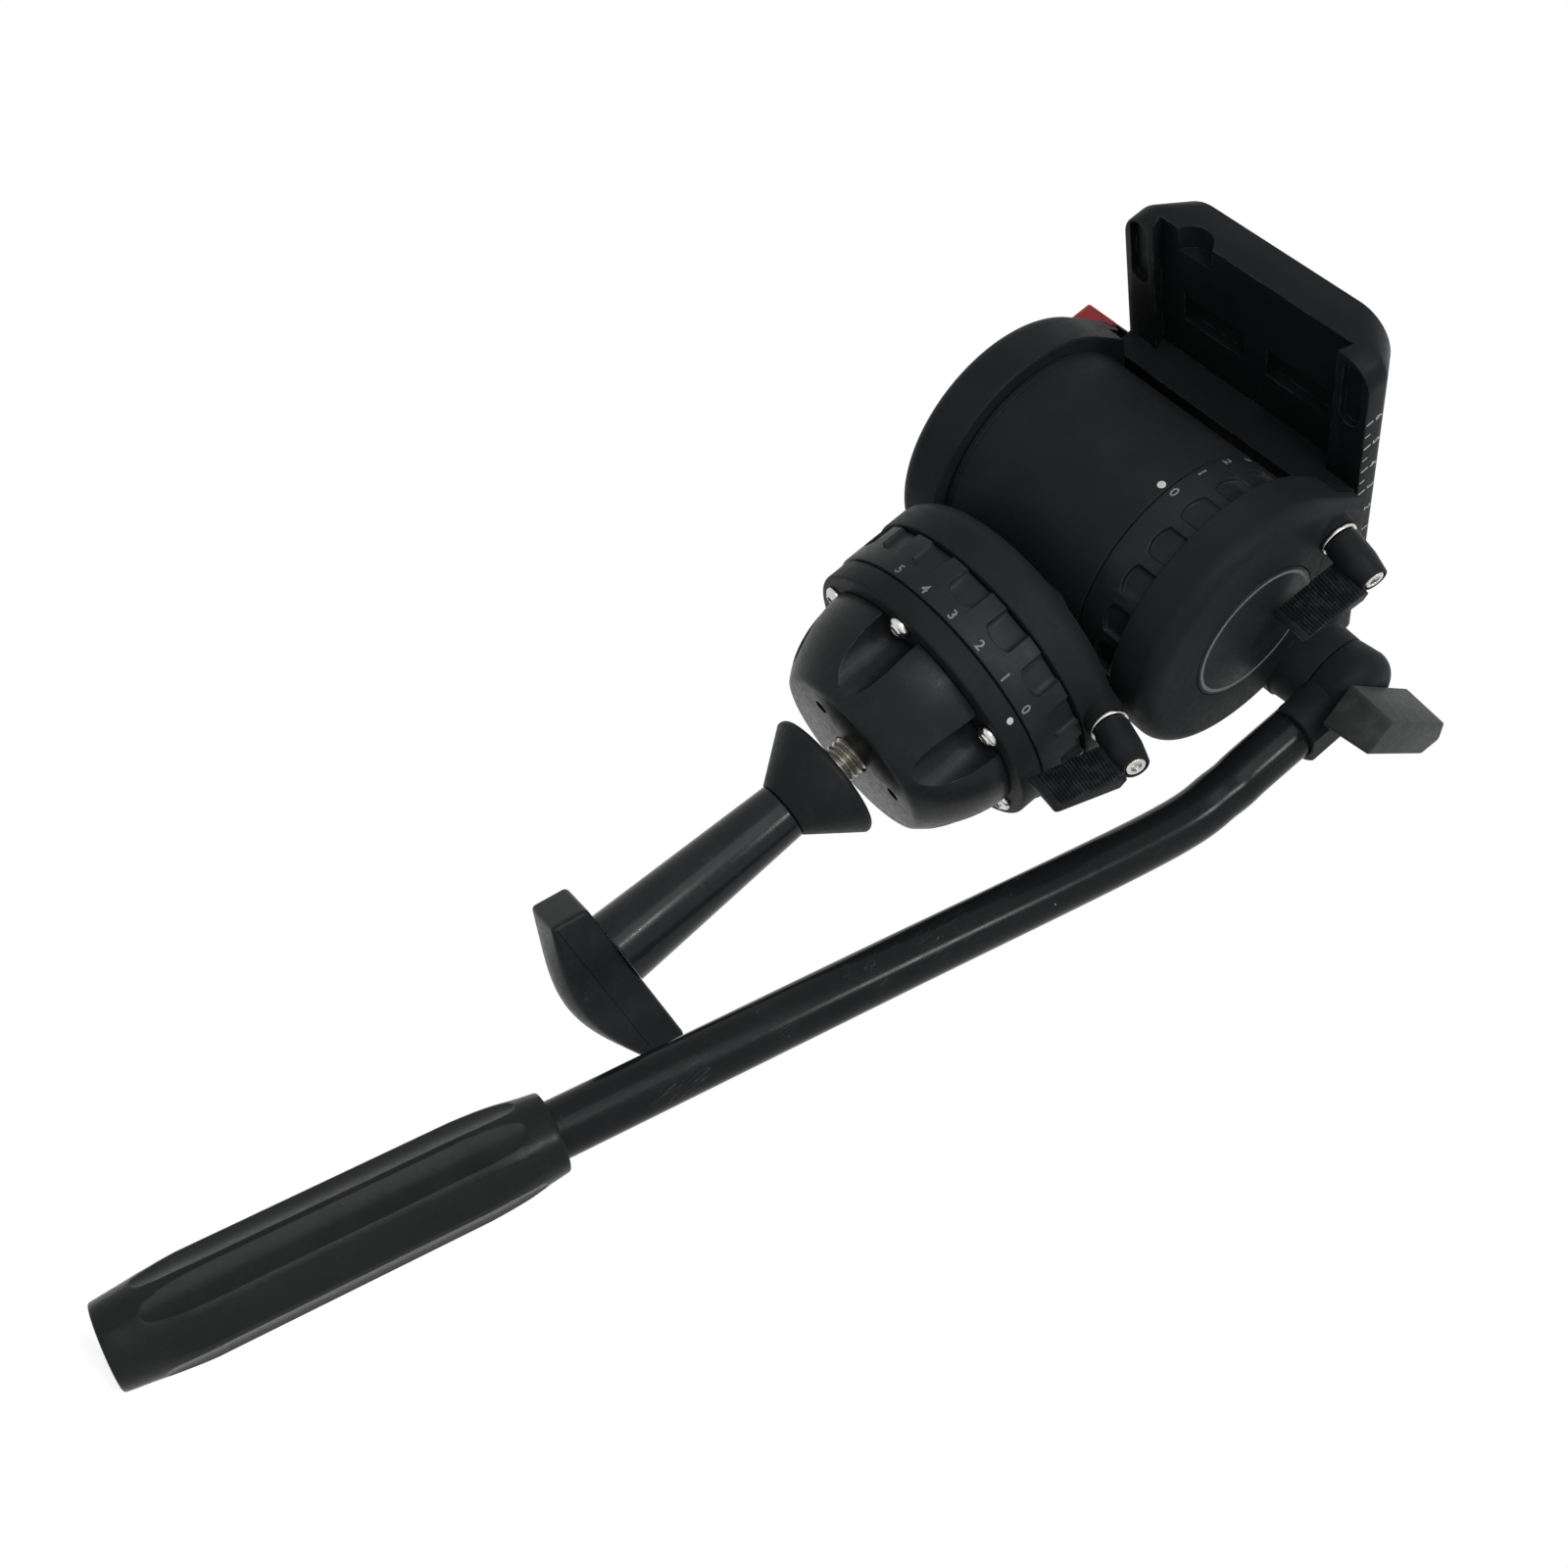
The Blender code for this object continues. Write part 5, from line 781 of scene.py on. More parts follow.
def obround(length: float, width: float) -> Outline:
    """Give the outline of a slot with round ends, its long side along local Y."""
    half = (length - width) / 2
    return arc((0, half), width / 2, 0, 180, 24) + arc((0, -half), width / 2, 180, 360, 24)


def rounding(radius: float, steps: int) -> list[Pair]:
    """Give a rounded rim as pairs of a depth and a height.

    Args:
        radius: Radius of the rim.
        steps: Number of chords.

    Returns:
        The pairs, from the flat face to the side.
    """
    angles = [QUARTER * step / steps for step in range(steps + 1)]
    return [(radius * (1 - math.sin(angle)), radius * (1 - math.cos(angle))) for angle in angles]


def spindle_hole(matrix: Matrix, steps: int = 32) -> Piece:
    """Make the cutter for a lever's spindle."""
    return drum("spindle", SPINDLE_BORE, -LUG_DEPTH - FIT_GAP, OVERRUN, matrix, steps)


def curved(before: object, start: object, end: object, after: object, share: float) -> object:
    """Give a value on the smooth curve through four numbers or points.

    Args:
        before: Value before the stretch.
        start: Value at its start.
        end: Value at its end.
        after: Value after it.
        share: Place on the stretch, from 0 to 1.

    Returns:
        The value there.
    """
    square = 2 * before - 5 * start + 4 * end - after
    cube = 3 * start - before - 3 * end + after
    return 0.5 * (2 * start + (end - before) * share + square * share ** 2 + cube * share ** 3)


def hexagon(radius: float) -> Outline:
    """Give the outline of a hexagon by the radius of its corners."""
    return arc((0, 0), radius, 0, 300, 5)


def threaded_rod(name: str, radius: float, depth: float, pitch: float, stops: Sequence[float],
                 matrix: Optional[Matrix] = None) -> Piece:
    """Make a rod with a screw thread on part of its length.

    Args:
        name: Name of the piece.
        radius: Outer radius.
        depth: Depth of the thread.
        pitch: Pitch of the thread.
        stops: Lower end, start and end of the thread, upper end.
        matrix: Where the rod goes.

    Returns:
        The rod.
    """
    bottom, start, end, top = stops
    turn_steps, rows = 48, 12
    chamfer = depth * 1.2
    heights = [bottom, bottom + chamfer]
    count = round((end - start) / pitch * rows)
    heights += [start + (end - start) * row / count for row in range(count + 1)]
    heights += [top - chamfer, top]
    heights = sorted(set(round(height, 7) for height in heights if bottom <= height <= top))
    rings = []
    for height in heights:
        plain = radius - (chamfer if height in (bottom, top) else 0.0)
        fade = min(1.0, max(0.0, min(height - start, end - height) / pitch))
        ring = []
        for step in range(turn_steps):
            wave = abs(2 * ((height / pitch - step / turn_steps) % 1.0) - 1)
            reach = min(plain, radius - depth * fade * min(1.0, wave * 1.25))
            turn = math.tau * step / turn_steps
            ring.append((reach * math.cos(turn), reach * math.sin(turn), height))
        rings.append(ring)
    return loft(name, rings, matrix)


@dataclass
class Print:
    """Printed marks: thin solids laid on a surface.

    Attributes:
        thickness: Thickness of the ink.
        bold: How much the figures' strokes are thickened, as a share of their height.
    """
    thickness: float = 0.04 * MM
    bold: float = 0.018

    def figure(self, text: str, height: float) -> Mesh:
        """Make a figure, flat and centred, its top along Y.

        Args:
            text: The figure.
            height: Its height.

        Returns:
            The mesh.
        """
        curve = bpy.data.curves.new("figure", "FONT")
        curve.body = text
        curve.align_x, curve.align_y = "CENTER", "CENTER"
        curve.size = 1.0
        curve.resolution_u = 4
        curve.offset = self.bold
        curve.extrude = self.thickness / (2 * height)
        item = bpy.data.objects.new("figure", curve)
        bpy.context.scene.collection.objects.link(item)
        mesh = evaluated(item)
        bpy.data.objects.remove(item, do_unlink=True)
        across = [vertex.co.x for vertex in mesh.vertices]
        upwards = [vertex.co.y for vertex in mesh.vertices]
        left, right, low, high = min(across), max(across), min(upwards), max(upwards)
        scale = height / (high - low)
        centred = Matrix.Translation((-(left + right) / 2, -(low + high) / 2, 0))
        mesh.transform(Matrix.Scale(scale, 4) @ centred)
        return mesh

    def dot(self, radius: float, inner: float = 0.0) -> Mesh:
        """Make a flat dot or ring.

        Args:
            radius: Outer radius.
            inner: Inner radius; zero makes a dot.

        Returns:
            The mesh.
        """
        half = self.thickness / 2
        profile = [(inner, half), (radius, half), (radius, -half), (inner, -half)]
        return taken_mesh(lathe("dot", profile, steps=ROUND_STEPS if inner else SMALL_STEPS))

    def bar(self, width: float, height: float) -> Mesh:
        """Make a flat bar, centred."""
        half = self.thickness / 2
        return taken_mesh(block("bar", (-width / 2, -height / 2, -half), (width / 2, height / 2, half)))

    @staticmethod
    def laid(mesh: Mesh, surface: Surface) -> Mesh:
        """Move every point of a flat mesh onto a surface.

        Args:
            mesh: The flat mesh.
            surface: Gives the place in the model for a flat point.

        Returns:
            The same mesh.
        """
        for vertex in mesh.vertices:
            vertex.co = surface(vertex.co.copy())
        return mesh


def on_drum(radius: float, azimuth: float, height: float) -> Surface:
    """Lay a flat point on a drum about the pan axis, the top of a figure upwards.

    Args:
        radius: Radius of the drum.
        azimuth: Direction of its middle about Z.
        height: Height of its middle.

    Returns:
        The function that gives a point's place.
    """
    def place(point: Vector) -> Vector:
        """Give the place of one point.

        Args:
            point: The flat point.

        Returns:
            Its place in the model.
        """
        angle = azimuth + point.x / radius
        reach = radius + point.z
        return Vector((reach * math.cos(angle), reach * math.sin(angle), height + point.y))
    return place


def on_barrel(radius: float, angle: float, along: float) -> Surface:
    """Lay a flat point on a drum about the tilt axis; the angle goes from -Y upwards.

    Args:
        radius: Radius of the drum.
        angle: Angle of its middle.
        along: Place of its middle along X.

    Returns:
        The function that gives a point's place.
    """
    def place(point: Vector) -> Vector:
        """Give the place of one point.

        Args:
            point: The flat point.

        Returns:
            Its place in the model.
        """
        turn = angle + point.y / radius
        reach = radius + point.z
        return Vector((along + point.x, -reach * math.cos(turn), TILT_HEIGHT + reach * math.sin(turn)))
    return place


@dataclass
class Assembly:
    """A sub-assembly of the head, which builds and dresses its own pieces."""
    pieces: list = field(default_factory=list, init=False)

    def mount(self, piece: Piece, body: str, finish: Finish, *nodes: str) -> Piece:
        """Dress a piece, fix it to its body and let it stand for CAD nodes.

        Args:
            piece: The piece, in place.
            body: The body that it moves with.
            finish: Its finish.
            nodes: CAD nodes that it replaces.

        Returns:
            The same piece.
        """
        piece.data.materials.clear()
        piece.data.materials.append(finish.material())
        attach(piece, body)
        if nodes:
            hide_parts(*nodes)
        self.pieces.append(piece)
        LOG.info("%s: %s on %s, %d faces", type(self).__name__, piece.name, body, len(piece.data.polygons))
        return piece

    def printed(self, name: str, body: str, finish: Finish, *meshes: Mesh) -> None:
        """Fix printed marks to a body as one piece."""
        self.mount(merged(name, meshes), body, finish)

    def repaint(self, finish: Finish, *nodes: str) -> None:
        """Give CAD nodes that stay in view a finish.

        Args:
            finish: The finish.
            nodes: The nodes.
        """
        for node in nodes:
            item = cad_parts[node]
            for index in range(len(item.material_slots)):
                item.material_slots[index].material = finish.material()
            LOG.info("%s: %s keeps its CAD shape", type(self).__name__, node)


@dataclass
class BallAndFlange(Assembly):
    """Half ball, fixed flange, its screws and the clamp stud."""
    ball_radius: float = 37.5 * MM
    ball_depth: float = 26.0 * MM
    ball_floor: float = 7.0 * MM
    hollow_radius: float = 24.0 * MM
    hollow_floor_radius: float = 20.0 * MM
    scallop_radius: float = 7.2 * MM
    hole_radius: float = 2.2 * MM
    hole_circle: float = 18.0 * MM
    hole_depth: float = 3.5 * MM
    flange_radius: float = 42.9 * MM
    flange_height: float = 7.3 * MM
    screw_circle: float = 37.2 * MM
    screw_first: float = math.radians(-30)
    head_radius: float = 3.3 * MM
    head_height: float = 2.2 * MM
    shank_radius: float = 1.8 * MM
    shank_length: float = 5.0 * MM
    socket_radius: float = 1.6 * MM
    socket_depth: float = 1.2 * MM
    stud_radius: float = 6.0 * MM
    stud_length: float = 92.0 * MM
    thread: Pair = (-60.0 * MM, -18.0 * MM)
    thread_depth: float = 0.9 * MM
    thread_pitch: float = 1.75 * MM
    rim: float = 0.8 * MM
    dot_radius: float = 1.0 * MM
    dot_azimuth: float = math.radians(-33.7)
    dot_height: float = 4.8 * MM

    def build(self) -> None:
        """Build every piece of the base."""
        self.ball()
        self.flange()
        self.screws()
        self.stud()

    def ball(self) -> None:
        """Scalloped half ball with its rim and the three holes in its flat bottom."""
        rim = math.degrees(math.asin(FIT_GAP / self.ball_radius))
        low = math.degrees(math.asin(self.ball_depth / self.ball_radius))
        bore = self.stud_radius + FIT_GAP
        edge = self.rim
        side = arc((0, 0), self.ball_radius, -rim, -low + 1.2, 28)
        flat = math.sqrt(self.ball_radius ** 2 - self.ball_depth ** 2)
        bottom, floor = -self.ball_depth, self.ball_floor - self.ball_depth
        profile = side + [(flat - edge * 0.35, 0.25 * edge + bottom), (flat - edge, bottom)]
        profile += [(bore + edge / 2, bottom), (bore, edge / 2 + bottom), (bore, floor),
                    (self.hollow_floor_radius, floor), (self.hollow_radius, -FIT_GAP)]
        ball = lathe("half_ball_moulded", profile, steps=180)
        tools = [drum("scallop", self.scallop_radius, bottom - OVERRUN, OVERRUN, at)
                 for at in self.screw_places()]
        tools += [drum("hole", self.hole_radius, bottom - OVERRUN, self.hole_depth + bottom, at, 32)
                  for at in around(3, self.hole_circle)]
        combine(ball, Cut.AWAY, *tools)
        self.mount(ball, "base", DARK_PLASTIC, "half_ball")

    def screw_places(self) -> list[Matrix]:
        """Give the places of the six screws."""
        return around(6, self.screw_circle, self.screw_first)

    def flange(self) -> None:
        """Fixed flange with its white index dot."""
        bore = self.stud_radius + FIT_GAP
        out, high = self.flange_radius, self.flange_height
        corners = [(out, high), (out, 0), (bore, 0), (bore, high)]
        flange = lathe("flange_turned", softened(corners, [EDGE, FLANGE_EDGE, 0, 0]), steps=180)
        holes = [drum("hole", self.shank_radius + FIT_GAP, -OVERRUN, self.shank_length + FIT_GAP, at, 24)
                 for at in self.screw_places()]
        combine(flange, Cut.AWAY, *holes)
        self.mount(flange, "base", CASTING_PAINT, "base_flange")
        ink = Print()
        dot = ink.laid(ink.dot(self.dot_radius), on_drum(out, self.dot_azimuth, self.dot_height))
        self.printed("flange_index_dot", "base", WHITE_INK, dot)

    def screws(self) -> None:
        """Six button-head screws with hexagon sockets."""
        under, side = -FIT_GAP, EDGE
        bottom = under - self.head_height
        dome = [(self.head_radius * math.cos(math.radians(angle)),
                 under - side - (self.head_height - side) * math.sin(math.radians(angle)))
                for angle in range(0, 51, 10)]
        profile = [(0, self.shank_length), (self.shank_radius, self.shank_length), (self.shank_radius, under),
                   (self.head_radius, under)] + dome + [(self.socket_radius + FINE_EDGE, bottom), (0, bottom)]
        for index, at in enumerate(self.screw_places(), 1):
            screw = lathe(f"button_screw_{index}", profile, at, 48)
            spun = at @ Matrix.Rotation(0.37 * index, 4, "Z")
            end = bottom + self.socket_depth
            combine(screw, Cut.AWAY,
                    extruded("socket", hexagon(self.socket_radius), bottom - OVERRUN, end, spun))
            self.mount(screw, "base", BRIGHT_STEEL, f"flange_screw_{index}")

    def stud(self) -> None:
        """Threaded stud between the ball and the tie-down."""
        top = self.flange_height - FIT_GAP
        stops = (top - self.stud_length, *self.thread, top)
        stud = threaded_rod("stud_threaded", self.stud_radius, self.thread_depth, self.thread_pitch, stops)
        self.mount(stud, "base", ZINC_STEEL, "clamp_stud")


@dataclass
class DragRing(Assembly):
    """A drag selector ring with finger hollows and printed figures.

    Attributes:
        name: Start of its pieces' names.
        node: The CAD node that it replaces.
        body: The body that it turns with.
        outer: Outer radius.
        bore: Inner radius.
        width: Width along its axis.
        matrix: Frame whose Z is its axis.
        figures: Each figure, with the surface that it is printed on.
    """
    name: str
    node: str
    body: str
    outer: float
    bore: float
    width: float
    matrix: Matrix
    figures: list
    finger_count: int = 18
    finger_half: float = 4.8 * MM
    finger_length: float = 9.0 * MM
    finger_depth: float = 1.5 * MM
    finger_end_radius: float = 8.0 * MM
    rim: float = 0.7 * MM
    figure_height: float = 3.0 * MM

    def build(self) -> None:
        """Build the ring and its print."""
        self.ring()
        ink = Print()
        meshes = [ink.laid(ink.figure(text, self.figure_height), surface) for text, surface in self.figures]
        self.printed(self.name + "_figures", self.body, GREY_INK, *meshes)

    def ring(self) -> None:
        """Ring whose outer face follows the finger hollows."""
        half = self.finger_half / self.outer
        pitch = math.tau / self.finger_count
        shares = [-1, -0.98, -0.94, -0.88, -0.8, -0.55, -0.3, 0, 0.3, 0.55, 0.8, 0.88, 0.94, 0.98, 1]
        between = [half + (pitch - 2 * half) * step / 6 for step in (0.25, 1, 2, 3, 4, 5, 5.75)]
        turns = []
        for finger in range(self.finger_count):
            turns += [finger * pitch + half * share for share in shares]
            turns += [finger * pitch + angle for angle in between]
        edge, out, top, curve = self.rim, self.outer, self.width, self.finger_end_radius

        def profile(turn: float) -> Outline:
            """Give the ring's profile at one angle.

            Args:
                turn: The angle.

            Returns:
                The profile.
            """
            across = min(self.finger_half, abs((turn + pitch / 2) % pitch - pitch / 2) * out)
            depth = self.finger_depth * (1 - (across / self.finger_half) ** 10)
            line = top - self.finger_length + curve - math.sqrt(curve ** 2 - across ** 2)
            floor = out - depth
            return [(self.bore, top), (floor - edge, top), (floor - edge * 0.3, top - edge * 0.3),
                    (floor, top - edge), *((out - depth * share, line + rise) for share, rise in HOLLOW_END),
                    (out, line / 2), (out, EDGE), (out - BEVEL, BEVEL), (out - EDGE, 0), (self.bore, 0)]

        ring = lathe(self.name + "_knurled", profile, self.matrix, angles=turns)
        self.mount(ring, self.body, RING_PAINT, self.node)


@dataclass
class PanHousing(Assembly):
    """Casting that turns on the pan axis: collar, neck and tilt barrel, with the level."""
    bottom: float = 22.7 * MM
    top: float = 37.3 * MM
    straight: float = 7.0 * MM
    collar_radius: float = 44.0 * MM
    shoulder_radius: float = 36.4 * MM
    barrel_radius: float = 36.8 * MM
    barrel_left: float = -37.5 * MM
    barrel_right: float = 18.9 * MM
    barrel_bore: float = 30.0 * MM
    barrel_wall: float = 6.5 * MM
    neck_half_width: float = 14.5 * MM
    neck_inset: float = 1.4 * MM
    neck_rounding: float = 9.0 * MM
    flare: float = 5.0 * MM
    groove_depth: float = 0.25 * MM
    groove_at: float = 2.2 * MM
    lug_radius: float = 5.9 * MM
    ring_radius: float = 43.8 * MM
    nut_radius: float = 12.5 * MM
    nut_height: float = 6.2 * MM
    bearing_radius: float = 17.3 * MM
    bearing_top: float = 30.4 * MM
    axle_bore: float = 14.3 * MM
    dot_radius: float = 1.2 * MM
    dot_angle: float = math.radians(-0.8)
    dot_x: float = 16.9 * MM
    level_radius: float = 6.6 * MM
    level_depth: float = 3.0 * MM
    level_at: Vector = field(default_factory=lambda: Matrix.Rotation(math.radians(96), 3, "Z")
                             @ Vector((31.0 * MM, 0, 37.3 * MM)))
    brake: Matrix = field(default_factory=Matrix)

    def build(self) -> None:
        """Build the casting, the level and what it carries inside."""
        self.casting()
        self.level()
        self.repaint(BRIGHT_STEEL, "pan_axle", "pan_bearing", "tilt_bearing_left", "tilt_bearing_right")
        self.repaint(ZINC_STEEL, "pan_axle_nut")
        self.repaint(MATT_PLASTIC, "pan_damper_cup", "pan_damper_rotor", "tilt_damper_cup")
        self.repaint(BLACK_ANODISED, "barrel_end_cover")

    def casting(self) -> None:
        """Collar, flared neck and barrel in one, with the bores that take the shafts."""
        round_start = self.bottom + self.straight
        run, rise = self.collar_radius - self.shoulder_radius, self.top - round_start
        profile = [(0, self.top)]
        profile += [(self.shoulder_radius + run * x, round_start + rise * y)
                    for x, y in arc((0, 0), 1, 90, 0, 14)]
        low_side = [(0, self.bottom), (self.collar_radius, round_start), (self.collar_radius, self.bottom),
                    (0, self.bottom)]
        profile += softened(low_side, [0, 0, WIDE_EDGE, 0])[2:]
        collar = lathe("housing_cast", profile, steps=180)
        left, right = self.barrel_left + self.neck_inset, self.barrel_right - self.neck_inset
        layers = [(self.neck_outline(left, right, self.flare), self.top - NECK_SUNK)]
        layers += [(self.neck_outline(left, right, spread), self.top - FLARE_SUNK + rise)
                   for spread, rise in rounding(self.flare, 8)]
        layers.append((self.neck_outline(left, right, 0.0), TILT_HEIGHT))
        neck = stacked("neck", layers)
        low, high, out = self.barrel_left, self.barrel_right, self.barrel_radius
        groove, deep = low + self.groove_at, self.groove_depth
        ends = [(0, high), (out, high), (out, groove + deep), (out - deep, groove), (out, groove - deep),
                (out, low), (0, low)]
        barrel = lathe("barrel", softened(ends, [0, WIDE_EDGE, 0, 0, 0, WIDE_EDGE, 0]), TILT_FRAME, 180)
        combine(collar, Cut.JOIN, neck, barrel,
                drum("lug", self.lug_radius, -LUG_DEPTH, -LUG_GAP, self.brake))
        level_at, wall = Matrix.Translation(self.level_at), low + self.barrel_wall
        tools = [spindle_hole(self.brake, SMALL_STEPS),
                 drum("level", self.level_radius + FIT_GAP, -self.level_depth - FIT_GAP, LEVEL_ROOM,
                      level_at),
                 drum("ring", self.ring_radius, 0, self.bottom, steps=ROUND_STEPS),
                 drum("nut", self.nut_radius, self.bottom, self.bearing_top + self.nut_height),
                 drum("bearing", self.bearing_radius, self.bottom - OVERRUN, self.bearing_top),
                 drum("barrel", self.barrel_bore, wall, high + OVERRUN, TILT_FRAME, ROUND_STEPS),
                 drum("axle", self.axle_bore, low - OVERRUN, wall + OVERRUN, TILT_FRAME)]
        combine(collar, Cut.AWAY, *tools)
        self.mount(collar, "pan", CASTING_PAINT, "pan_housing")
        ink = Print()
        dot = ink.laid(ink.dot(self.dot_radius), on_barrel(out, self.dot_angle, self.dot_x))
        self.printed("barrel_index_dot", "pan", WHITE_INK, dot)

    def neck_outline(self, left: float, right: float, spread: float) -> Outline:
        """Give the neck's outline, widened to the front, the back and the right.

        Args:
            left: Its left side.
            right: Its right side.
            spread: How far it is widened.

        Returns:
            The outline.
        """
        corner = self.neck_rounding + spread / 2
        shape = rounded_box((right - left + spread) / 2, self.neck_half_width + spread, corner, 16)
        return [(x + (left + right + spread) / 2, y) for x, y in shape]

    def level(self) -> None:
        """Bull's-eye level: cup, liquid cell with its ring and its bubble."""
        at = Matrix.Translation(self.level_at)
        inner, top, floor, bottom = 5.4 * MM, 3.0 * MM, -1.8 * MM, -self.level_depth
        out = self.level_radius
        cup = softened([(0, floor), (inner, floor), (inner, top), (out, top), (out, bottom), (0, bottom)],
                       [0, 0, FINE_EDGE, EDGE, 0, 0])
        self.mount(lathe("level_cup_turned", cup, at, 96), "pan", BLACK_ANODISED, "level_cup")
        radius, crown = inner - FIT_GAP, top - CELL_DROP
        dome = [(radius * math.sin(turn), crown - CELL_CROWN * (1 - math.cos(turn)))
                for turn in map(math.radians, range(0, 91, 10))]
        cell = lathe("level_cell_filled", dome + [(radius, floor + FIT_GAP), (0, floor + FIT_GAP)], at, 96)
        self.mount(cell, "pan", LEVEL_LIQUID, "level_cell")
        ring = Print(LEVEL_INK).dot(*LEVEL_RING)
        ring.transform(at @ Matrix.Translation((0, 0, crown - LEVEL_INK_SUNK)))
        self.printed("level_ring", "pan", BLACK_STEEL, ring)
        bubble = [(BUBBLE_RADIUS * math.sin(turn), crown - BUBBLE_SUNK + BUBBLE_RISE * math.cos(turn))
                  for turn in map(math.radians, range(0, 91, 15))]
        bubble.append((0, crown - BUBBLE_FLOOR))
        bubble_at = at @ Matrix.Translation(BUBBLE_PLACE)
        self.mount(lathe("level_bubble", bubble, bubble_at, 48), "pan", WHITE_INK)


@dataclass
class TiltBracket(Assembly):
    """Cheeks, platform, discs, release button and the tilt unit's inner pieces.

    Attributes:
        inner: Where each cheek's inner face is along X.
        thickness: Thickness of each cheek.
        boss: The bar's boss, as its place along Y and its height over the tilt axis.
        button_low: Front and bottom of the room for the button.
        button_high: Back and top of the room for the button.
        button_size: How far the button stands out and reaches in, its depth and its height.
    """
    radius: float = 41.0 * MM
    inner: dict = field(default_factory=lambda: {Side.RIGHT: 36.0 * MM, Side.LEFT: -37.8 * MM})
    thickness: dict = field(default_factory=lambda: {Side.RIGHT: 15.3 * MM, Side.LEFT: 16.0 * MM})
    rounding: float = 5.5 * MM
    disc_radius: float = 21.7 * MM
    disc_thickness: float = 1.2 * MM
    disc_proud: float = 0.2 * MM
    boss: Pair = (37.5 * MM, 21.5 * MM)
    boss_radius: float = 13.5 * MM
    boss_root: float = 14.6 * MM
    boss_plane: float = 61.8 * MM
    front: float = -13.0 * MM
    back: float = 47.0 * MM
    low: float = 38.0 * MM
    high: float = 46.0 * MM
    half_width: float = 44.0 * MM
    tail_root: float = 33.0 * MM
    tail_tip: float = 34.5 * MM
    tail_height: float = 4.2 * MM
    shoulder_drop: float = 0.8 * MM
    screw_x: float = 40.4 * MM
    screw_y: Pair = (-2.0 * MM, 36.0 * MM)
    screw_head: float = 3.3 * MM
    screw_shank: float = 1.8 * MM
    screw_length: float = 16.3 * MM
    brake_lug: float = 6.4 * MM
    brake_seat: float = 5.9 * MM
    brake_seat_length: float = 15.4 * MM
    lock_lug: float = 5.9 * MM
    bolt_depth: float = 14.3 * MM
    axle_bore: float = 8.3 * MM
    axle_depth: float = 11.3 * MM
    button_low: Pair = (-16.3 * MM, 35.7 * MM)
    button_high: Pair = (-6.7 * MM, 43.9 * MM)
    button_room: float = 10.4 * MM
    button_size: tuple = (6.0 * MM, 6.4 * MM, 9.0 * MM, 7.6 * MM)
    tilt_brake: Matrix = field(default_factory=Matrix)
    plate_lock: Matrix = field(default_factory=Matrix)

    def build(self) -> None:
        """Build the bracket."""
        right = self.cheek(Side.RIGHT)
        at = Matrix.Translation(TILT_CENTRE + Vector((self.boss_plane, *self.boss))) @ SIDEWAYS
        step = self.boss_plane - self.inner[Side.RIGHT] - self.thickness[Side.RIGHT]
        boss = [(0, 0), (self.boss_radius, 0), (self.boss_root - BEVEL, -step - self.rounding),
                (0, -step - self.rounding)]
        rosette = lathe("rosette", softened(boss, [0, SMALL_EDGE, 0, 0]), at, ROUND_STEPS)
        lug = drum("lug", self.brake_lug, -LUG_DEPTH, -LUG_GAP, self.tilt_brake)
        combine(right, Cut.JOIN, rosette, lug)
        tools = [drum("seat", self.brake_seat, -LUG_GAP, self.brake_seat_length, self.tilt_brake),
                 spindle_hole(self.tilt_brake),
                 drum("bolt", BOLT_BORE, -self.bolt_depth, OVERRUN, at, 32)]
        combine(right, Cut.AWAY, *tools, *self.screw_holes())
        self.mount(right, "tilt", CASTING_PAINT, "right_cheek")
        left = self.cheek(Side.LEFT)
        combine(left, Cut.JOIN, drum("lug", self.lock_lug, -LUG_DEPTH, -LUG_GAP, self.plate_lock))
        outer = self.inner[Side.LEFT] - self.thickness[Side.LEFT]
        (front, low), (back, high) = self.button_low, self.button_high
        room = block("room", (outer - OVERRUN, front, TILT_HEIGHT + low),
                     (outer + self.button_room, back, TILT_HEIGHT + high))
        combine(left, Cut.AWAY, spindle_hole(self.plate_lock), room, *self.screw_holes())
        self.mount(left, "tilt", CASTING_PAINT, "left_cheek")
        self.platform()
        self.button(outer)
        for side in Side:
            self.disc(side)
        self.repaint(BRIGHT_STEEL, "tilt_axle")
        self.repaint(MATT_PLASTIC, "tilt_damper_rotor", "spring_drum")
        self.repaint(SPRING_STEEL, "counterbalance_spring")
        self.repaint(BLACK_STEEL, *(f"platform_screw_{index}" for index in range(1, 5)))

    def outline(self, with_boss: bool) -> Outline:
        """Give a cheek's outline seen from +X: tilt disc, arm up to the platform and the bar's boss.

        Args:
            with_boss: Whether the cheek carries the boss.

        Returns:
            The outline.
        """
        top = self.high - self.shoulder_drop
        outline = [(self.front, top)]
        if not with_boss:
            return outline + arc((0, 0), self.radius, 135, 365, 92) + [(self.back, top)]
        (boss_x, boss_y), apart = self.boss, math.hypot(*self.boss)
        along = (self.radius ** 2 - self.boss_root ** 2 + apart ** 2) / (2 * apart)
        aside = math.sqrt(self.radius ** 2 - along ** 2)
        unit_x, unit_y = boss_x / apart, boss_y / apart
        meet_x, meet_y = along * unit_x + aside * unit_y, along * unit_y - aside * unit_x
        rim_end = math.degrees(math.atan2(meet_y, meet_x))
        start = math.degrees(math.atan2(meet_y - boss_y, meet_x - boss_x))
        outline += arc((0, 0), self.radius, 135, 360 + rim_end, 88)
        outline += arc(self.boss, self.boss_root, start, 10, 24)[1:]
        return outline + [(self.back, top)]

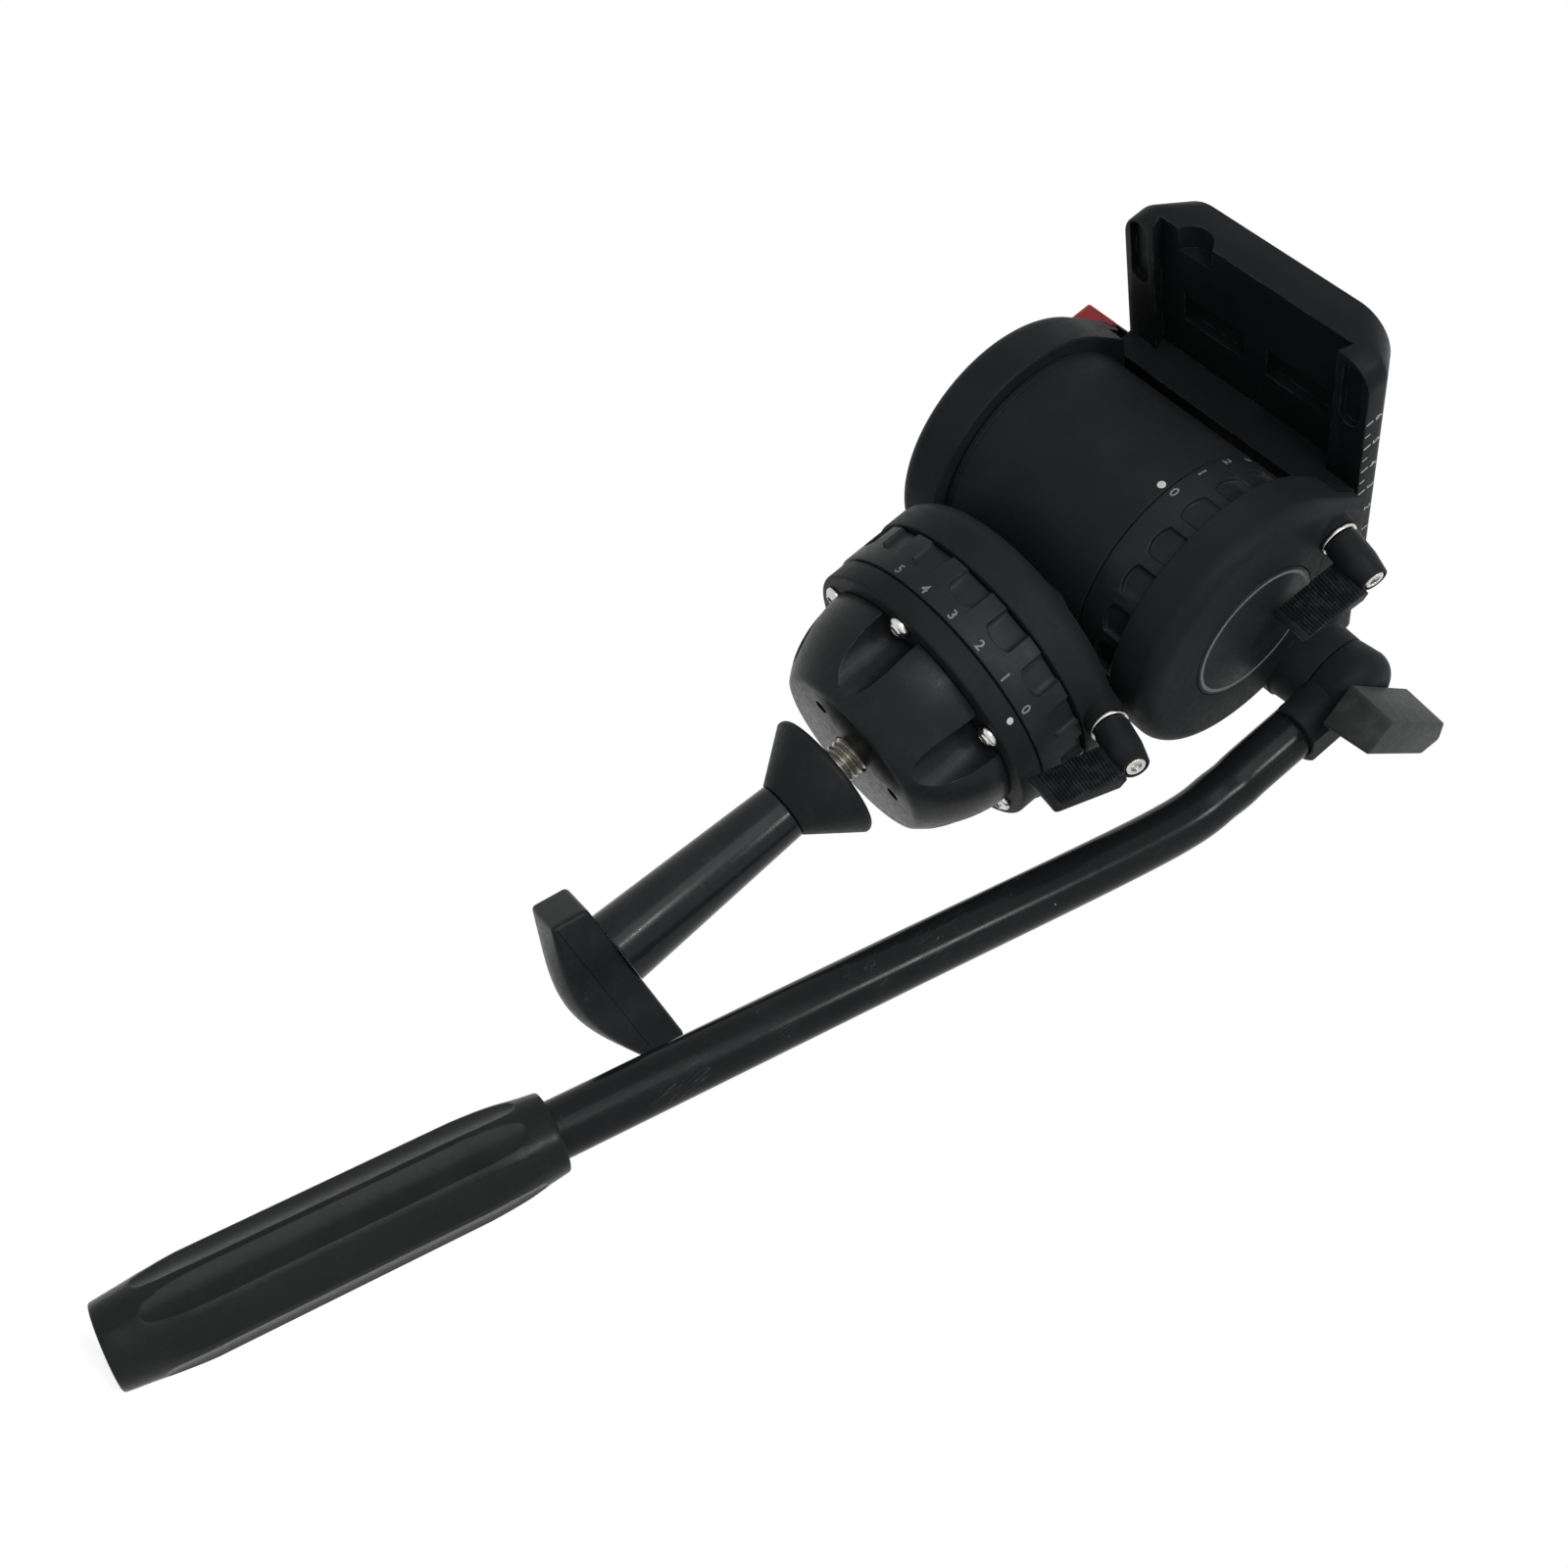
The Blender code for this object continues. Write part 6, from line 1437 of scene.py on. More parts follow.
    def cheek(self, side: Side) -> Piece:
        """Make one cheek, rounded on its outer side, with its rebate, bore and recess.

        Args:
            side: Which cheek.

        Returns:
            The cheek.
        """
        sign = side.value
        outline = self.outline(side is Side.RIGHT)
        inner, outer = self.inner[side], self.inner[side] + sign * self.thickness[side]
        depths = []
        for index, point in enumerate(outline):
            ends = (Vector(point), Vector(outline[(index + 1) % len(outline)]))
            reach = max((end - Vector(self.boss)).length for end in ends)
            depths.append(0.0 if side is Side.RIGHT and reach < self.boss_root + FIT_GAP else 1.0)
        start = outer - sign * self.rounding
        soft = EDGE
        layers = [(inset(outline, [share * soft for share in depths]), inner), (outline, inner + sign * soft),
                  (outline, start)]
        for step in range(1, 11):
            angle = math.radians(9 * step)
            depth = self.rounding * (1 - math.cos(angle))
            layers.append((inset(outline, [share * depth for share in depths]),
                           start + sign * self.rounding * math.sin(angle)))
        cheek = stacked(side.name.lower() + "_cheek_cast", layers, TILT_FRAME)
        edge, near = sign * (self.half_width + FIT_GAP), inner - sign * OVERRUN
        rebate = block("rebate",
                       (min(edge, near), self.front - self.radius, TILT_HEIGHT + self.low - FIT_GAP),
                       (max(edge, near), self.back + OVERRUN, TILT_HEIGHT + self.high + OVERRUN))
        seat = inner + sign * self.axle_depth
        bore = drum("bore", self.axle_bore, min(near, seat), max(near, seat), TILT_FRAME)
        face = outer - sign * (self.disc_thickness + FIT_GAP - self.disc_proud)
        past, wide = outer + sign * OVERRUN, self.disc_radius + FIT_GAP
        recess = drum("recess", wide, min(face, past), max(face, past), TILT_FRAME, ROUND_STEPS)
        return combine(cheek, Cut.AWAY, rebate, bore, recess)

    def disc(self, side: Side) -> None:
        """Plain disc let into a cheek, with a printed ring.

        Args:
            side: Which cheek.
        """
        sign, name = side.value, side.name.lower()
        outer = self.inner[side] + sign * self.thickness[side]
        high = outer + sign * self.disc_proud
        low = high - sign * self.disc_thickness
        out = self.disc_radius
        corners = [(0, high), (out, high), (out, low), (0, low)]
        disc = lathe(name + "_disc_plain", softened(corners, [0, FINE_EDGE, 0, 0]), TILT_FRAME)
        self.mount(disc, "tilt", RING_PAINT, name + "_cheek_disc")
        ring = Print().dot(*(out - rim for rim in DISC_RING))
        ring.transform(TILT_FRAME @ Matrix.Translation((0, 0, high)))
        self.printed(name + "_disc_ring", "tilt", GREY_INK, ring)

    def screw_holes(self) -> list[Piece]:
        """Make the cutters for the four platform screws.

        Returns:
            The cutters.
        """
        top, head, shank = self.high - FIT_GAP, self.screw_head, self.screw_shank
        end = top - self.screw_length
        shape = [(0, top + OVERRUN), (head, top + OVERRUN), (head, top), (shank, top - shank), (shank, end),
                 (0, end)]
        return [lathe("hole", shape, Matrix.Translation((x, y, TILT_HEIGHT)), 32)
                for x in (-self.screw_x, self.screw_x) for y in self.screw_y]

    def platform(self) -> None:
        """Platform with the dovetail that the camera plate slides on."""
        wide, low, high = self.half_width, self.low, self.high
        tip = high + self.tail_height
        section = [(-wide, low), (wide, low), (wide, high), (self.tail_root, high), (self.tail_tip, tip),
                   (-self.tail_tip, tip), (-self.tail_root, high), (-wide, high)]
        section = softened(section,
                           [WIDE_EDGE, WIDE_EDGE, SMALL_EDGE, 0, SMALL_EDGE, SMALL_EDGE, 0, SMALL_EDGE])
        at = Matrix.Translation(TILT_CENTRE) @ Matrix.Rotation(QUARTER, 4, "X")
        platform = extruded("platform_milled", section, -self.back, -self.front, at)
        combine(platform, Cut.AWAY, *self.screw_holes())
        self.mount(platform, "tilt", BLACK_ANODISED, "platform")

    def button(self, outer: float) -> None:
        """Red release button on the left cheek.

        Args:
            outer: The cheek's outer face.
        """
        out, inside, deep, tall = self.button_size
        corners = [(-out, 0), (inside, 0), (inside, deep), (-out, deep)]
        outline = softened(corners, [BUTTON_CORNER, SMALL_EDGE, SMALL_EDGE, BUTTON_CORNER], 6)
        front, low = self.button_low
        at = Matrix.Translation((outer, front + FIT_GAP, TILT_HEIGHT + low + FIT_GAP))
        button = pillow("release_button_moulded", outline, 0, tall, BUTTON_EDGE, at)
        self.mount(button, "release", RED_PLASTIC, "release_button")


@dataclass
class Lever(Assembly):
    """Ribbed lever with its washer and its spindle.

    Attributes:
        name: Name of the body and start of the nodes' names.
        matrix: Frame whose Z points out along the spindle and whose -Y is the paddle.
        layers: Heights up the paddle in millimetres, each with how far its outline is moved in.
    """
    name: str
    matrix: Matrix
    root: float = 5.2 * MM
    middle: float = 5.0 * MM
    middle_height: float = 9.0 * MM
    tip: float = 4.0 * MM
    length: float = 15.4 * MM
    reach: float = 26.4 * MM
    slant: float = 2.0 * MM
    start: float = 3.4 * MM
    shoulder: float = 5.6 * MM
    front: float = -0.4 * MM
    back: float = 5.0 * MM
    start_back: float = 3.0 * MM
    end_back: float = 3.1 * MM
    low: float = 3.7 * MM
    height: float = 12.5 * MM
    rib_count: int = 19
    rib_height: float = 0.5 * MM
    rib_margin: float = 1.9 * MM
    head_radius: float = 3.0 * MM
    head_height: float = 2.4 * MM
    socket_radius: float = 1.75 * MM
    socket_depth: float = 1.5 * MM
    washer_radius: float = 5.6 * MM
    washer_thickness: float = 1.1 * MM
    spindle_radius: float = 2.0 * MM
    layers: tuple = ((0.0, 0.8), (0.25, 0.25), (0.8, 0.0), (11.7, 0.0), (12.0, 0.12), (12.3, 0.35),
                     (12.5, 0.75))

    def build(self) -> None:
        """Build the lever's three pieces."""
        self.lever()
        self.washer()
        self.spindle()

    def lever(self) -> None:
        """Barrel-shaped hub with its ribbed paddle."""
        hub = [(0, self.length), (self.tip, self.length), (self.middle, self.middle_height),
               (self.root, HUB_FOOT),
               (self.root - FINE_EDGE, FIT_GAP), (0, FIT_GAP)]
        hub = softened(hub, [0, EDGE, BELLY_EDGE, FOOT_EDGE, FINE_EDGE, 0], 8)
        lever = lathe(self.name + "_lever_moulded", hub, self.matrix, 96)
        combine(lever, Cut.JOIN, self.paddle())
        recess, above = self.head_radius + FIT_GAP, self.length + OVERRUN
        floor = self.length - self.head_height - FIT_GAP
        bore = lathe("bore", [(0, above), (recess, above), (recess, floor), (SPINDLE_BORE, floor),
                              (SPINDLE_BORE, -OVERRUN), (0, -OVERRUN)], self.matrix)
        combine(lever, Cut.AWAY, bore)
        self.mount(lever, self.name, LEVER_PLASTIC, self.name + "_lever")

    def washer(self) -> None:
        """Bright washer under the hub."""
        out, low = self.washer_radius, -self.washer_thickness
        ring = softened([(out, 0), (out, low), (SPINDLE_BORE, low), (SPINDLE_BORE, 0)],
                        [FINE_EDGE, FINE_EDGE, 0, 0])
        washer = lathe(self.name + "_washer_turned", ring, self.matrix, 96)
        self.mount(washer, self.name, BRIGHT_STEEL, self.name + "_washer")

    def spindle(self) -> None:
        """Spindle whose head has a hexagon socket."""
        top, wide, thin = self.length, self.head_radius, self.spindle_radius
        head = top - self.head_height
        shape = [(0, top), (wide, top), (wide, head), (thin, head), (thin, -LUG_DEPTH), (0, -LUG_DEPTH)]
        shape = softened(shape, [0, EDGE, 0, 0, SMALL_EDGE, 0])
        spindle = lathe(self.name + "_spindle_turned", shape, self.matrix, 64)
        socket = extruded("socket", hexagon(self.socket_radius), top - self.socket_depth, top + OVERRUN,
                          self.matrix)
        combine(spindle, Cut.AWAY, socket)
        self.mount(spindle, self.name, BRIGHT_STEEL, self.name + "_spindle")

    def paddle_outline(self, share: float, depth: float) -> Outline:
        """Give the paddle's outline with its ribbed face.

        Args:
            share: How far up the paddle, from its inner to its outer side.
            depth: How far the outline is moved inwards.

        Returns:
            The outline, anticlockwise.
        """
        reach = self.reach - self.slant * share
        face, end = self.front + depth, -reach + depth
        height = max(0.0, self.rib_height - depth * 0.25)
        first = -self.shoulder + SMALL_EDGE
        pitch = (reach + first - self.rib_margin) / self.rib_count
        points = [(self.start_back - depth, -self.start), (face, -self.start)]
        for rib in range(self.rib_count):
            top = first - rib * pitch
            points += [(face, top), (face + height, top - pitch * 0.3), (face + height, top - pitch * 0.55),
                       (face, top - pitch * 0.85)]
        points += [(face, end + PADDLE_TIP), (face + PADDLE_BEVEL, end + FINE_EDGE), (face + PADDLE_TIP, end)]
        back = self.end_back - depth
        return points + [(back - PADDLE_HEEL, end), (back - FINE_EDGE, end + FINE_EDGE),
                         (back, end + PADDLE_HEEL), (self.back - depth, -self.shoulder)]

    def paddle(self) -> Piece:
        """Make the ribbed paddle, whose free end slants.

        Returns:
            The paddle.
        """
        layers = [(self.paddle_outline(rise * MM / self.height, depth * MM), self.low + rise * MM)
                  for rise, depth in self.layers]
        return stacked("paddle", layers, self.matrix)


@dataclass
class CameraPlate(Assembly):
    """Sliding camera plate with its scale, pads and camera screws.

    Attributes:
        pocket: A lip pocket's place aside, its setback, length, width and depth.
        roof_pocket: A roof pocket's setback, width, length and depth.
        head: Lower and upper side of a camera screw's head.
        screws: Each camera screw's name, place along Y, thread radius and pitch.
    """
    front: float = -62.0 * MM
    length: float = 104.0 * MM
    half_width: float = 44.8 * MM
    top_half_width: float = 37.6 * MM
    side_height: float = 6.7 * MM
    thickness: float = 16.2 * MM
    corner: float = 9.0 * MM
    top_corner: float = 11.5 * MM
    low: float = 46.3 * MM
    roof: float = 50.5 * MM
    slot_front: float = -9.6 * MM
    slot_length: float = 42.6 * MM
    notch_radius: float = 6.6 * MM
    notch_drop: float = 2.2 * MM
    notch_depth: float = 8.0 * MM
    notch_x: float = -21.3 * MM
    slot_width: float = 10.2 * MM
    groove_width: float = 17.4 * MM
    groove_depth: float = 4.2 * MM
    pad_x: float = 24.0 * MM
    pad_half: float = 39.0 * MM
    pad_side: float = 7.0 * MM
    pad_sunk: float = 0.5 * MM
    pad_room: float = 0.3 * MM
    rib_pitch: float = 2.0 * MM
    rib_count: int = 38
    root: float = 33.3 * MM
    tip: float = 34.8 * MM
    pocket: tuple = (39.05 * MM, 13.5 * MM, 23.0 * MM, 6.6 * MM, 2.0 * MM)
    roof_pocket_left: Pair = (-25.6 * MM, 6.0 * MM)
    roof_pocket: tuple = (24.0 * MM, 23.0 * MM, 10.5 * MM, 3.0 * MM)
    head_radius: float = 8.2 * MM
    head: Pair = (0.7 * MM, 3.9 * MM)
    screws: tuple = (("large", -4.0 * MM, 4.7 * MM, 1.59 * MM), ("small", 20.0 * MM, 3.1 * MM, 1.27 * MM))
    scale_first: int = 1
    scale_last: int = 6
    scale_zero: float = 19.6 * MM

    def build(self) -> None:
        """Build the plate and what is on it."""
        self.plate()
        self.pads()
        self.scale()
        for screw in self.screws:
            self.screw(*screw)

    def middle(self) -> float:
        """Give the plate's middle along Y."""
        return self.front + self.length / 2

    def plate(self) -> None:
        """Plate with its channel, pockets, notch, slot and pad seats."""
        low, top = self.low, self.low + self.thickness
        half_y, tall = self.length / 2, self.thickness - self.side_height
        slope = (self.half_width - self.top_half_width) / tall
        layers = []
        for height, rim in ((0, 0.6), (0.18, 0.18), (0.6, 0)):
            cut = rim * MM
            layers.append((rounded_box(self.half_width - cut, half_y - cut, self.corner - cut),
                           low + height * MM))
        for share in (0, 0.25, 0.5, 0.75, 1.0):
            height = low + self.side_height - BLEND + share * 2 * BLEND
            across = self.half_width - slope * BLEND * share ** 2
            raised = max(0.0, (height - low - self.side_height) / tall)
            radius = self.corner + (self.top_corner - self.corner) * raised
            layers.append((rounded_box(across, half_y, radius), height))
        for drop, rim in ((0.8, 0), (0.24, 0.24), (0, 0.8)):
            height, cut = top - drop * MM, rim * MM
            across = self.half_width - slope * (height - low - self.side_height)
            layers.append((rounded_box(across - cut, half_y - cut, self.top_corner - cut), height))
        plate = stacked("camera_plate_milled", layers, Matrix.Translation((0, self.middle(), TILT_HEIGHT)))
        combine(plate, Cut.AWAY, *self.slot_and_channel(top), *self.pockets(), *self.pad_seats(top))
        self.mount(plate, "plate", BLACK_ANODISED, "sliding_plate")

    def slot_and_channel(self, top: float) -> list[Piece]:
        """Make the cutters for the screws' slot and for the dovetail channel.

        Args:
            top: Height of the plate's top.

        Returns:
            The cutters.
        """
        up, root, tip, low = Matrix.Translation(TILT_CENTRE), self.root, self.tip, self.low - OVERRUN
        slot_at = up @ Matrix.Translation((0, self.slot_front + self.slot_length / 2, 0))
        long = self.slot_length + self.groove_width - self.slot_width
        section = [(-root, low), (root, low), (root, self.low), (tip, self.roof), (-tip, self.roof),
                   (-root, self.low)]
        return [extruded("slot", obround(self.slot_length, self.slot_width), self.roof - OVERRUN,
                         top + OVERRUN, slot_at),
                extruded("groove", obround(long, self.groove_width), self.roof - OVERRUN,
                         self.roof + self.groove_depth, slot_at),
                extruded("channel", section, *CHANNEL_ENDS, up @ Matrix.Rotation(QUARTER, 4, "X"))]

    def pockets(self) -> list[Piece]:
        """Make the cutters for the pockets in the lips and in the roof, and for the end notch.

        Returns:
            The cutters.
        """
        up = Matrix.Translation(TILT_CENTRE)
        aside, setback, long, wide, deep = self.pocket
        tools = [extruded("pocket", obround(long, wide), self.low - OVERRUN, self.low + deep,
                          up @ Matrix.Translation((x, self.front + setback, 0))) for x in (-aside, aside)]
        setback, wide, long, deep = self.roof_pocket
        front, roof = self.front + setback, TILT_HEIGHT + self.roof
        for left in self.roof_pocket_left:
            tools.append(block("roof_pocket", (left, front, roof - OVERRUN),
                               (left + wide, front + long, roof + deep)))
        notch_at = Matrix.Translation((self.notch_x, self.front, self.roof - self.notch_drop))
        tools.append(drum("notch", self.notch_radius, -self.notch_depth, OVERRUN,
                          up @ notch_at @ Matrix.Rotation(QUARTER, 4, "X"), 96))
        return tools

    def pad_seats(self, top: float) -> list[Piece]:
        """Make the cutters for the two pads' seats.

        Args:
            top: Height of the plate's top.

        Returns:
            The cutters.
        """
        seat = rounded_box(self.pad_side + self.pad_room, self.pad_half + self.pad_room, PAD_CORNER, 6)
        floor = top - self.pad_sunk - self.pad_room
        return [extruded("pad_seat", seat, floor, top + OVERRUN,
                         Matrix.Translation((x, self.middle(), TILT_HEIGHT)))
                for x in (-self.pad_x, self.pad_x)]

    def pads(self) -> None:
        """Two ribbed rubber pads."""
        floor = self.low + self.thickness - self.pad_sunk
        half, edge, valley, crest = self.pad_half, floor + PAD_EDGE, floor + PAD_VALLEY, floor + PAD_CREST
        first = -self.rib_pitch * (self.rib_count - 1) / 2
        section = [(-half, floor), (half, floor), (half, edge), (half - FINE_EDGE, crest)]
        for rib in reversed(range(self.rib_count)):
            middle = first + rib * self.rib_pitch
            section += [(middle + RIB_HALF, crest), (middle + VALLEY_HALF, valley),
                        (middle - VALLEY_HALF, valley), (middle - RIB_HALF, crest)]
        section += [(-half + FINE_EDGE, crest), (-half, edge)]
        for name, x in (("left", -self.pad_x), ("right", self.pad_x)):
            at = Matrix.Translation((x, self.middle(), TILT_HEIGHT)) @ SIDEWAYS
            pad = extruded(f"pad_{name}_ribbed", section, -self.pad_side, self.pad_side, at)
            self.mount(pad, "plate", PAD_RUBBER, "plate_pad_" + name)

    def scale(self) -> None:
        """Centimetre scale with half-centimetre marks on the plate's right side."""
        ink = Print()
        meshes = []

        def on_side(along: float, height: float) -> Surface:
            """Lay a flat point on the plate's right side at a place along it and a height."""
            base = Vector((self.half_width, along, TILT_HEIGHT + self.low + height))
            return lambda point: base + Vector((point.z, point.x, point.y))

        for figure in range(self.scale_first, self.scale_last + 1):
            along = self.scale_zero - figure * SCALE_STEP * MM
            meshes.append(ink.laid(ink.bar(*LONG_MARK), on_side(along, LONG_MARK_AT)))
            meshes.append(ink.laid(ink.bar(*SHORT_MARK), on_side(along + SCALE_STEP / 2 * MM, SHORT_MARK_AT)))
            meshes.append(ink.laid(ink.figure(str(figure), FIGURE_HEIGHT), on_side(along, FIGURE_AT)))
        self.printed("plate_scale", "plate", WHITE_INK, *meshes)

    def screw(self, name: str, along: float, radius: float, pitch: float) -> None:
        """Camera screw with a knurled head and a threaded tip.

        Args:
            name: Its size's name.
            along: Its place along Y.
            radius: Radius of its thread.
            pitch: Pitch of its thread.
        """
        at = Matrix.Translation((0, along, TILT_HEIGHT + self.roof))
        (low, high), edge, tip = self.head, SMALL_EDGE, self.low + self.thickness - self.roof + SCREW_REACH

        def rim(turn: float) -> Outline:
            """Give the head's profile at one angle, with its straight knurl.

            Args:
                turn: The angle.

            Returns:
                The profile.
            """
            out = self.head_radius - KNURL_DEPTH * (0.5 + 0.5 * math.cos(turn * 40))
            return [(0, high), (out - edge, high), (out, high - edge), (out, low + edge), (out - edge, low),
                    (0, low)]

        screw = lathe(f"camera_screw_{name}_turned", rim, at, 240)
        rod = threaded_rod("rod", radius, pitch * 0.5, pitch, (high - MM, high + MM, tip, tip), at)
        combine(screw, Cut.JOIN, rod)
        slot = block("slot", (-SLOT_HALF, -SLOT_WIDE, low - OVERRUN),
                     (SLOT_HALF, SLOT_WIDE, low + SLOT_DEPTH), at)
        combine(screw, Cut.AWAY, slot)
        self.mount(screw, name + "_screw", BRIGHT_STEEL, "camera_screw_" + name)


@dataclass
class PanBar(Assembly):
    """Bracket, bent tube, grip and the clamp that holds the bar to its rosette.

    Attributes:
        shares: Shares of the grip's length at which its swell is given.
        swells: Swell of the grip there, from its straight taper to its belly.
        flute_half: Half of a flute's angle, in degrees.
        flute_reach: Where the flutes start and end, as shares of the grip's length.
        handle_side: Half of the handle's width at its inner and at its outer side.
        handle_layers: Heights up the handle in millimetres, each with how far its outline is moved in.
        scratches: Each scratch's place along the tube, the way it faces, its length and its lean.
    """
    axis: Vector = field(default_factory=lambda: Vector((61.8 * MM, 37.5 * MM, TILT_HEIGHT + 21.5 * MM)))
    bracket_radius: float = 13.5 * MM
    bracket_belly: float = 14.2 * MM
    bracket_rounding: float = 7.0 * MM
    bracket_depth: float = 14.2 * MM
    bar_x: float = 67.1 * MM
    bar_radius: float = 7.8 * MM
    sleeve_radius: float = 10.4 * MM
    sleeve_length: float = 22.0 * MM
    bar_top: float = 14.2 * MM
    bend_below: float = 62.7 * MM
    bend_length: float = 26.0 * MM
    grip_neck: Vector = field(default_factory=lambda: Vector((40.3, -21.4, -153.7)) * MM)
    grip_end: Vector = field(default_factory=lambda: Vector((24.9, -54.0, -260.4)) * MM)
    neck_radius: float = 10.7 * MM
    belly_radius: float = 13.2 * MM
    end_radius: float = 11.0 * MM
    shares: tuple = (0.0, 0.03, 0.11, 0.2, 0.81, 0.89, 0.97, 1.0)
    swells: tuple = (0.0, 0.18, 0.73, 1.0, 1.0, 0.66, 0.2, 0.0)
    end_hole: float = 2.6 * MM
    end_wall: float = 12.0 * MM
    rows: int = 150
    flute_count: int = 8
    flute_half: float = 19.0
    flute_depth: float = 1.3 * MM
    flute_reach: Pair = (0.06, 0.91)
    flute_first: float = math.radians(9.05)
    handle_turn: float = math.radians(38)
    handle_half: float = 23.9 * MM
    handle_side: Pair = (7.1 * MM, 5.7 * MM)
    handle_depth: float = 15.8 * MM
    handle_cut: float = 5.0 * MM
    handle_layers: tuple = ((0.0, 0.7), (0.2, 0.2), (0.7, 0.0), (15.1, 0.0), (15.4, 0.12), (15.65, 0.4),
                            (15.8, 0.8))
    scratches: tuple = ((35.7 * MM, (0.735, -0.666, -0.126), 2.0 * MM, 0.9),
                        (51.3 * MM, (0.899, -0.398, -0.184), 3.4 * MM, 0.35),
                        (50.0 * MM, (0.88, -0.43, -0.17), 1.2 * MM, 0.2))
    scratch_width: float = 0.22 * MM

    def build(self) -> None:
        """Build the bar."""
        self.bracket()
        self.tube()
        self.grip()
        self.handle()
        self.repaint(ZINC_STEEL, "clamp_bolt")

    def bracket(self) -> None:
        """Bracket with the sleeve that holds the tube."""
        at = Matrix.Translation(self.axis) @ SIDEWAYS
        belly, soft, deep = self.bracket_belly, self.bracket_rounding, self.bracket_depth
        dome = arc((belly - soft, deep - soft), soft, 90, 0, 14)
        side = softened([dome[-1], (self.bracket_radius, FIT_GAP), (0, FIT_GAP)], [0, EDGE, 0])
        bracket = lathe("bar_bracket_cast", [(0, deep)] + dome + side[1:], at)
        sleeve_at = Matrix.Translation((self.bar_x, self.axis.y, self.axis.z))
        tall, out = self.sleeve_length, self.sleeve_radius
        shape = softened([(0, 0), (out, 0), (out, -tall), (0, -tall)], [0, 0, SLEEVE_EDGE, 0])
        sleeve = lathe("sleeve", shape, sleeve_at, 96)
        wide, long, outer = out + OVERRUN, tall + OVERRUN, self.axis.x + deep
        beside = Matrix.Translation((0, self.axis.y, self.axis.z))
        trims = [block("outer", (outer, -wide, -long), (outer + TRIM, wide, OVERRUN), beside),
                 block("inner", (self.bar_x - wide, -wide, -long), (self.axis.x + FIT_GAP, wide, OVERRUN),
                       beside),
                 drum("boss_room", self.bracket_radius + FIT_GAP, -deep, FIT_GAP, at, ROUND_STEPS)]
        combine(sleeve, Cut.AWAY, *trims)
        combine(bracket, Cut.JOIN, sleeve)
        tools = [drum("socket", self.bar_radius + FIT_GAP, -long, FIT_GAP - self.bar_top, sleeve_at, 96),
                 drum("bolt", BOLT_BORE, -OVERRUN, deep + OVERRUN, at, 32)]
        combine(bracket, Cut.AWAY, *tools)
        self.mount(bracket, "bar", CASTING_PAINT, "bar_bracket")

    def route(self, steps: int) -> list[Vector]:
        """Give points along the tube's centre line.

        Args:
            steps: Points to each stretch of it.

        Returns:
            The points, from the sleeve to inside the grip.
        """
        sleeve = Vector((self.bar_x, self.axis.y, self.axis.z))
        top, bend = sleeve - Vector((0, 0, self.bar_top)), sleeve - Vector((0, 0, self.bend_below))
        low_run = (self.grip_neck - bend).normalized()
        along_grip = (self.grip_end - self.grip_neck).normalized()
        half_bend = self.bend_length / 2
        stops = [top, (top + bend) / 2, bend + Vector((0, 0, half_bend)), bend + low_run * half_bend,
                 (bend + self.grip_neck) / 2, self.grip_neck, self.grip_end - along_grip * self.end_wall]
        points, last = [], len(stops) - 1
        for index in range(last):
            before, start = stops[max(index - 1, 0)], stops[index]
            end, after = stops[index + 1], stops[min(index + 2, last)]
            points += [curved(before, start, end, after, step / steps) for step in range(steps)]
        return points + [stops[last]]

    def tube(self) -> None:
        """Bent tube, swept along its centre line, and the bare scratches on it."""
        points = self.route(12)
        rings = []
        side = Vector((1, 0, 0))
        for index, point in enumerate(points):
            ahead = points[min(index + 1, len(points) - 1)] - points[max(index - 1, 0)]
            ahead.normalize()
            side = (side - ahead * side.dot(ahead)).normalized()
            other = ahead.cross(side)
            rings.append([point + (side * math.cos(math.tau * k / 96) + other * math.sin(math.tau * k / 96))
                          * self.bar_radius for k in range(96)])
        self.mount(loft("pan_bar_tube", rings), "bar", GLOSS_TUBE, "pan_bar")
        bend = Vector((self.bar_x, self.axis.y, self.axis.z - self.bend_below))
        along = (self.grip_neck - bend).normalized()
        ink, marks = Print(SCRATCH_DEPTH), []
        for reach, out, length, lean in self.scratches:
            normal = Vector(out).normalized()
            across = along.cross(normal).normalized()
            way = (across * math.cos(lean) + along * math.sin(lean)).normalized()
            at = Matrix((way, normal.cross(way), normal)).transposed().to_4x4()
            at.translation = bend + along * reach + normal * self.bar_radius
            mark = ink.bar(length, self.scratch_width)
            mark.transform(at)
            marks.append(mark)
        self.printed("pan_bar_scratches", "bar", BRIGHT_STEEL, *marks)

    def reach_at(self, share: float) -> float:
        """Give the grip's radius at a share of its length.

        Args:
            share: The share.

        Returns:
            The radius, without the flutes.
        """
        shares, swells = self.shares, self.swells
        span = max(i for i in range(len(shares) - 1) if shares[i] <= share + TINY)
        t = (share - shares[span]) / (shares[span + 1] - shares[span])
        if 0 < span < len(shares) - 2:
            swell = curved(*swells[span - 1:span + 3], t)
        else:
            swell = swells[span] + (swells[span + 1] - swells[span]) * t
        ends = self.neck_radius + (self.end_radius - self.neck_radius) * share
        return ends + (self.belly_radius - ends) * max(0.0, min(1.0, swell))

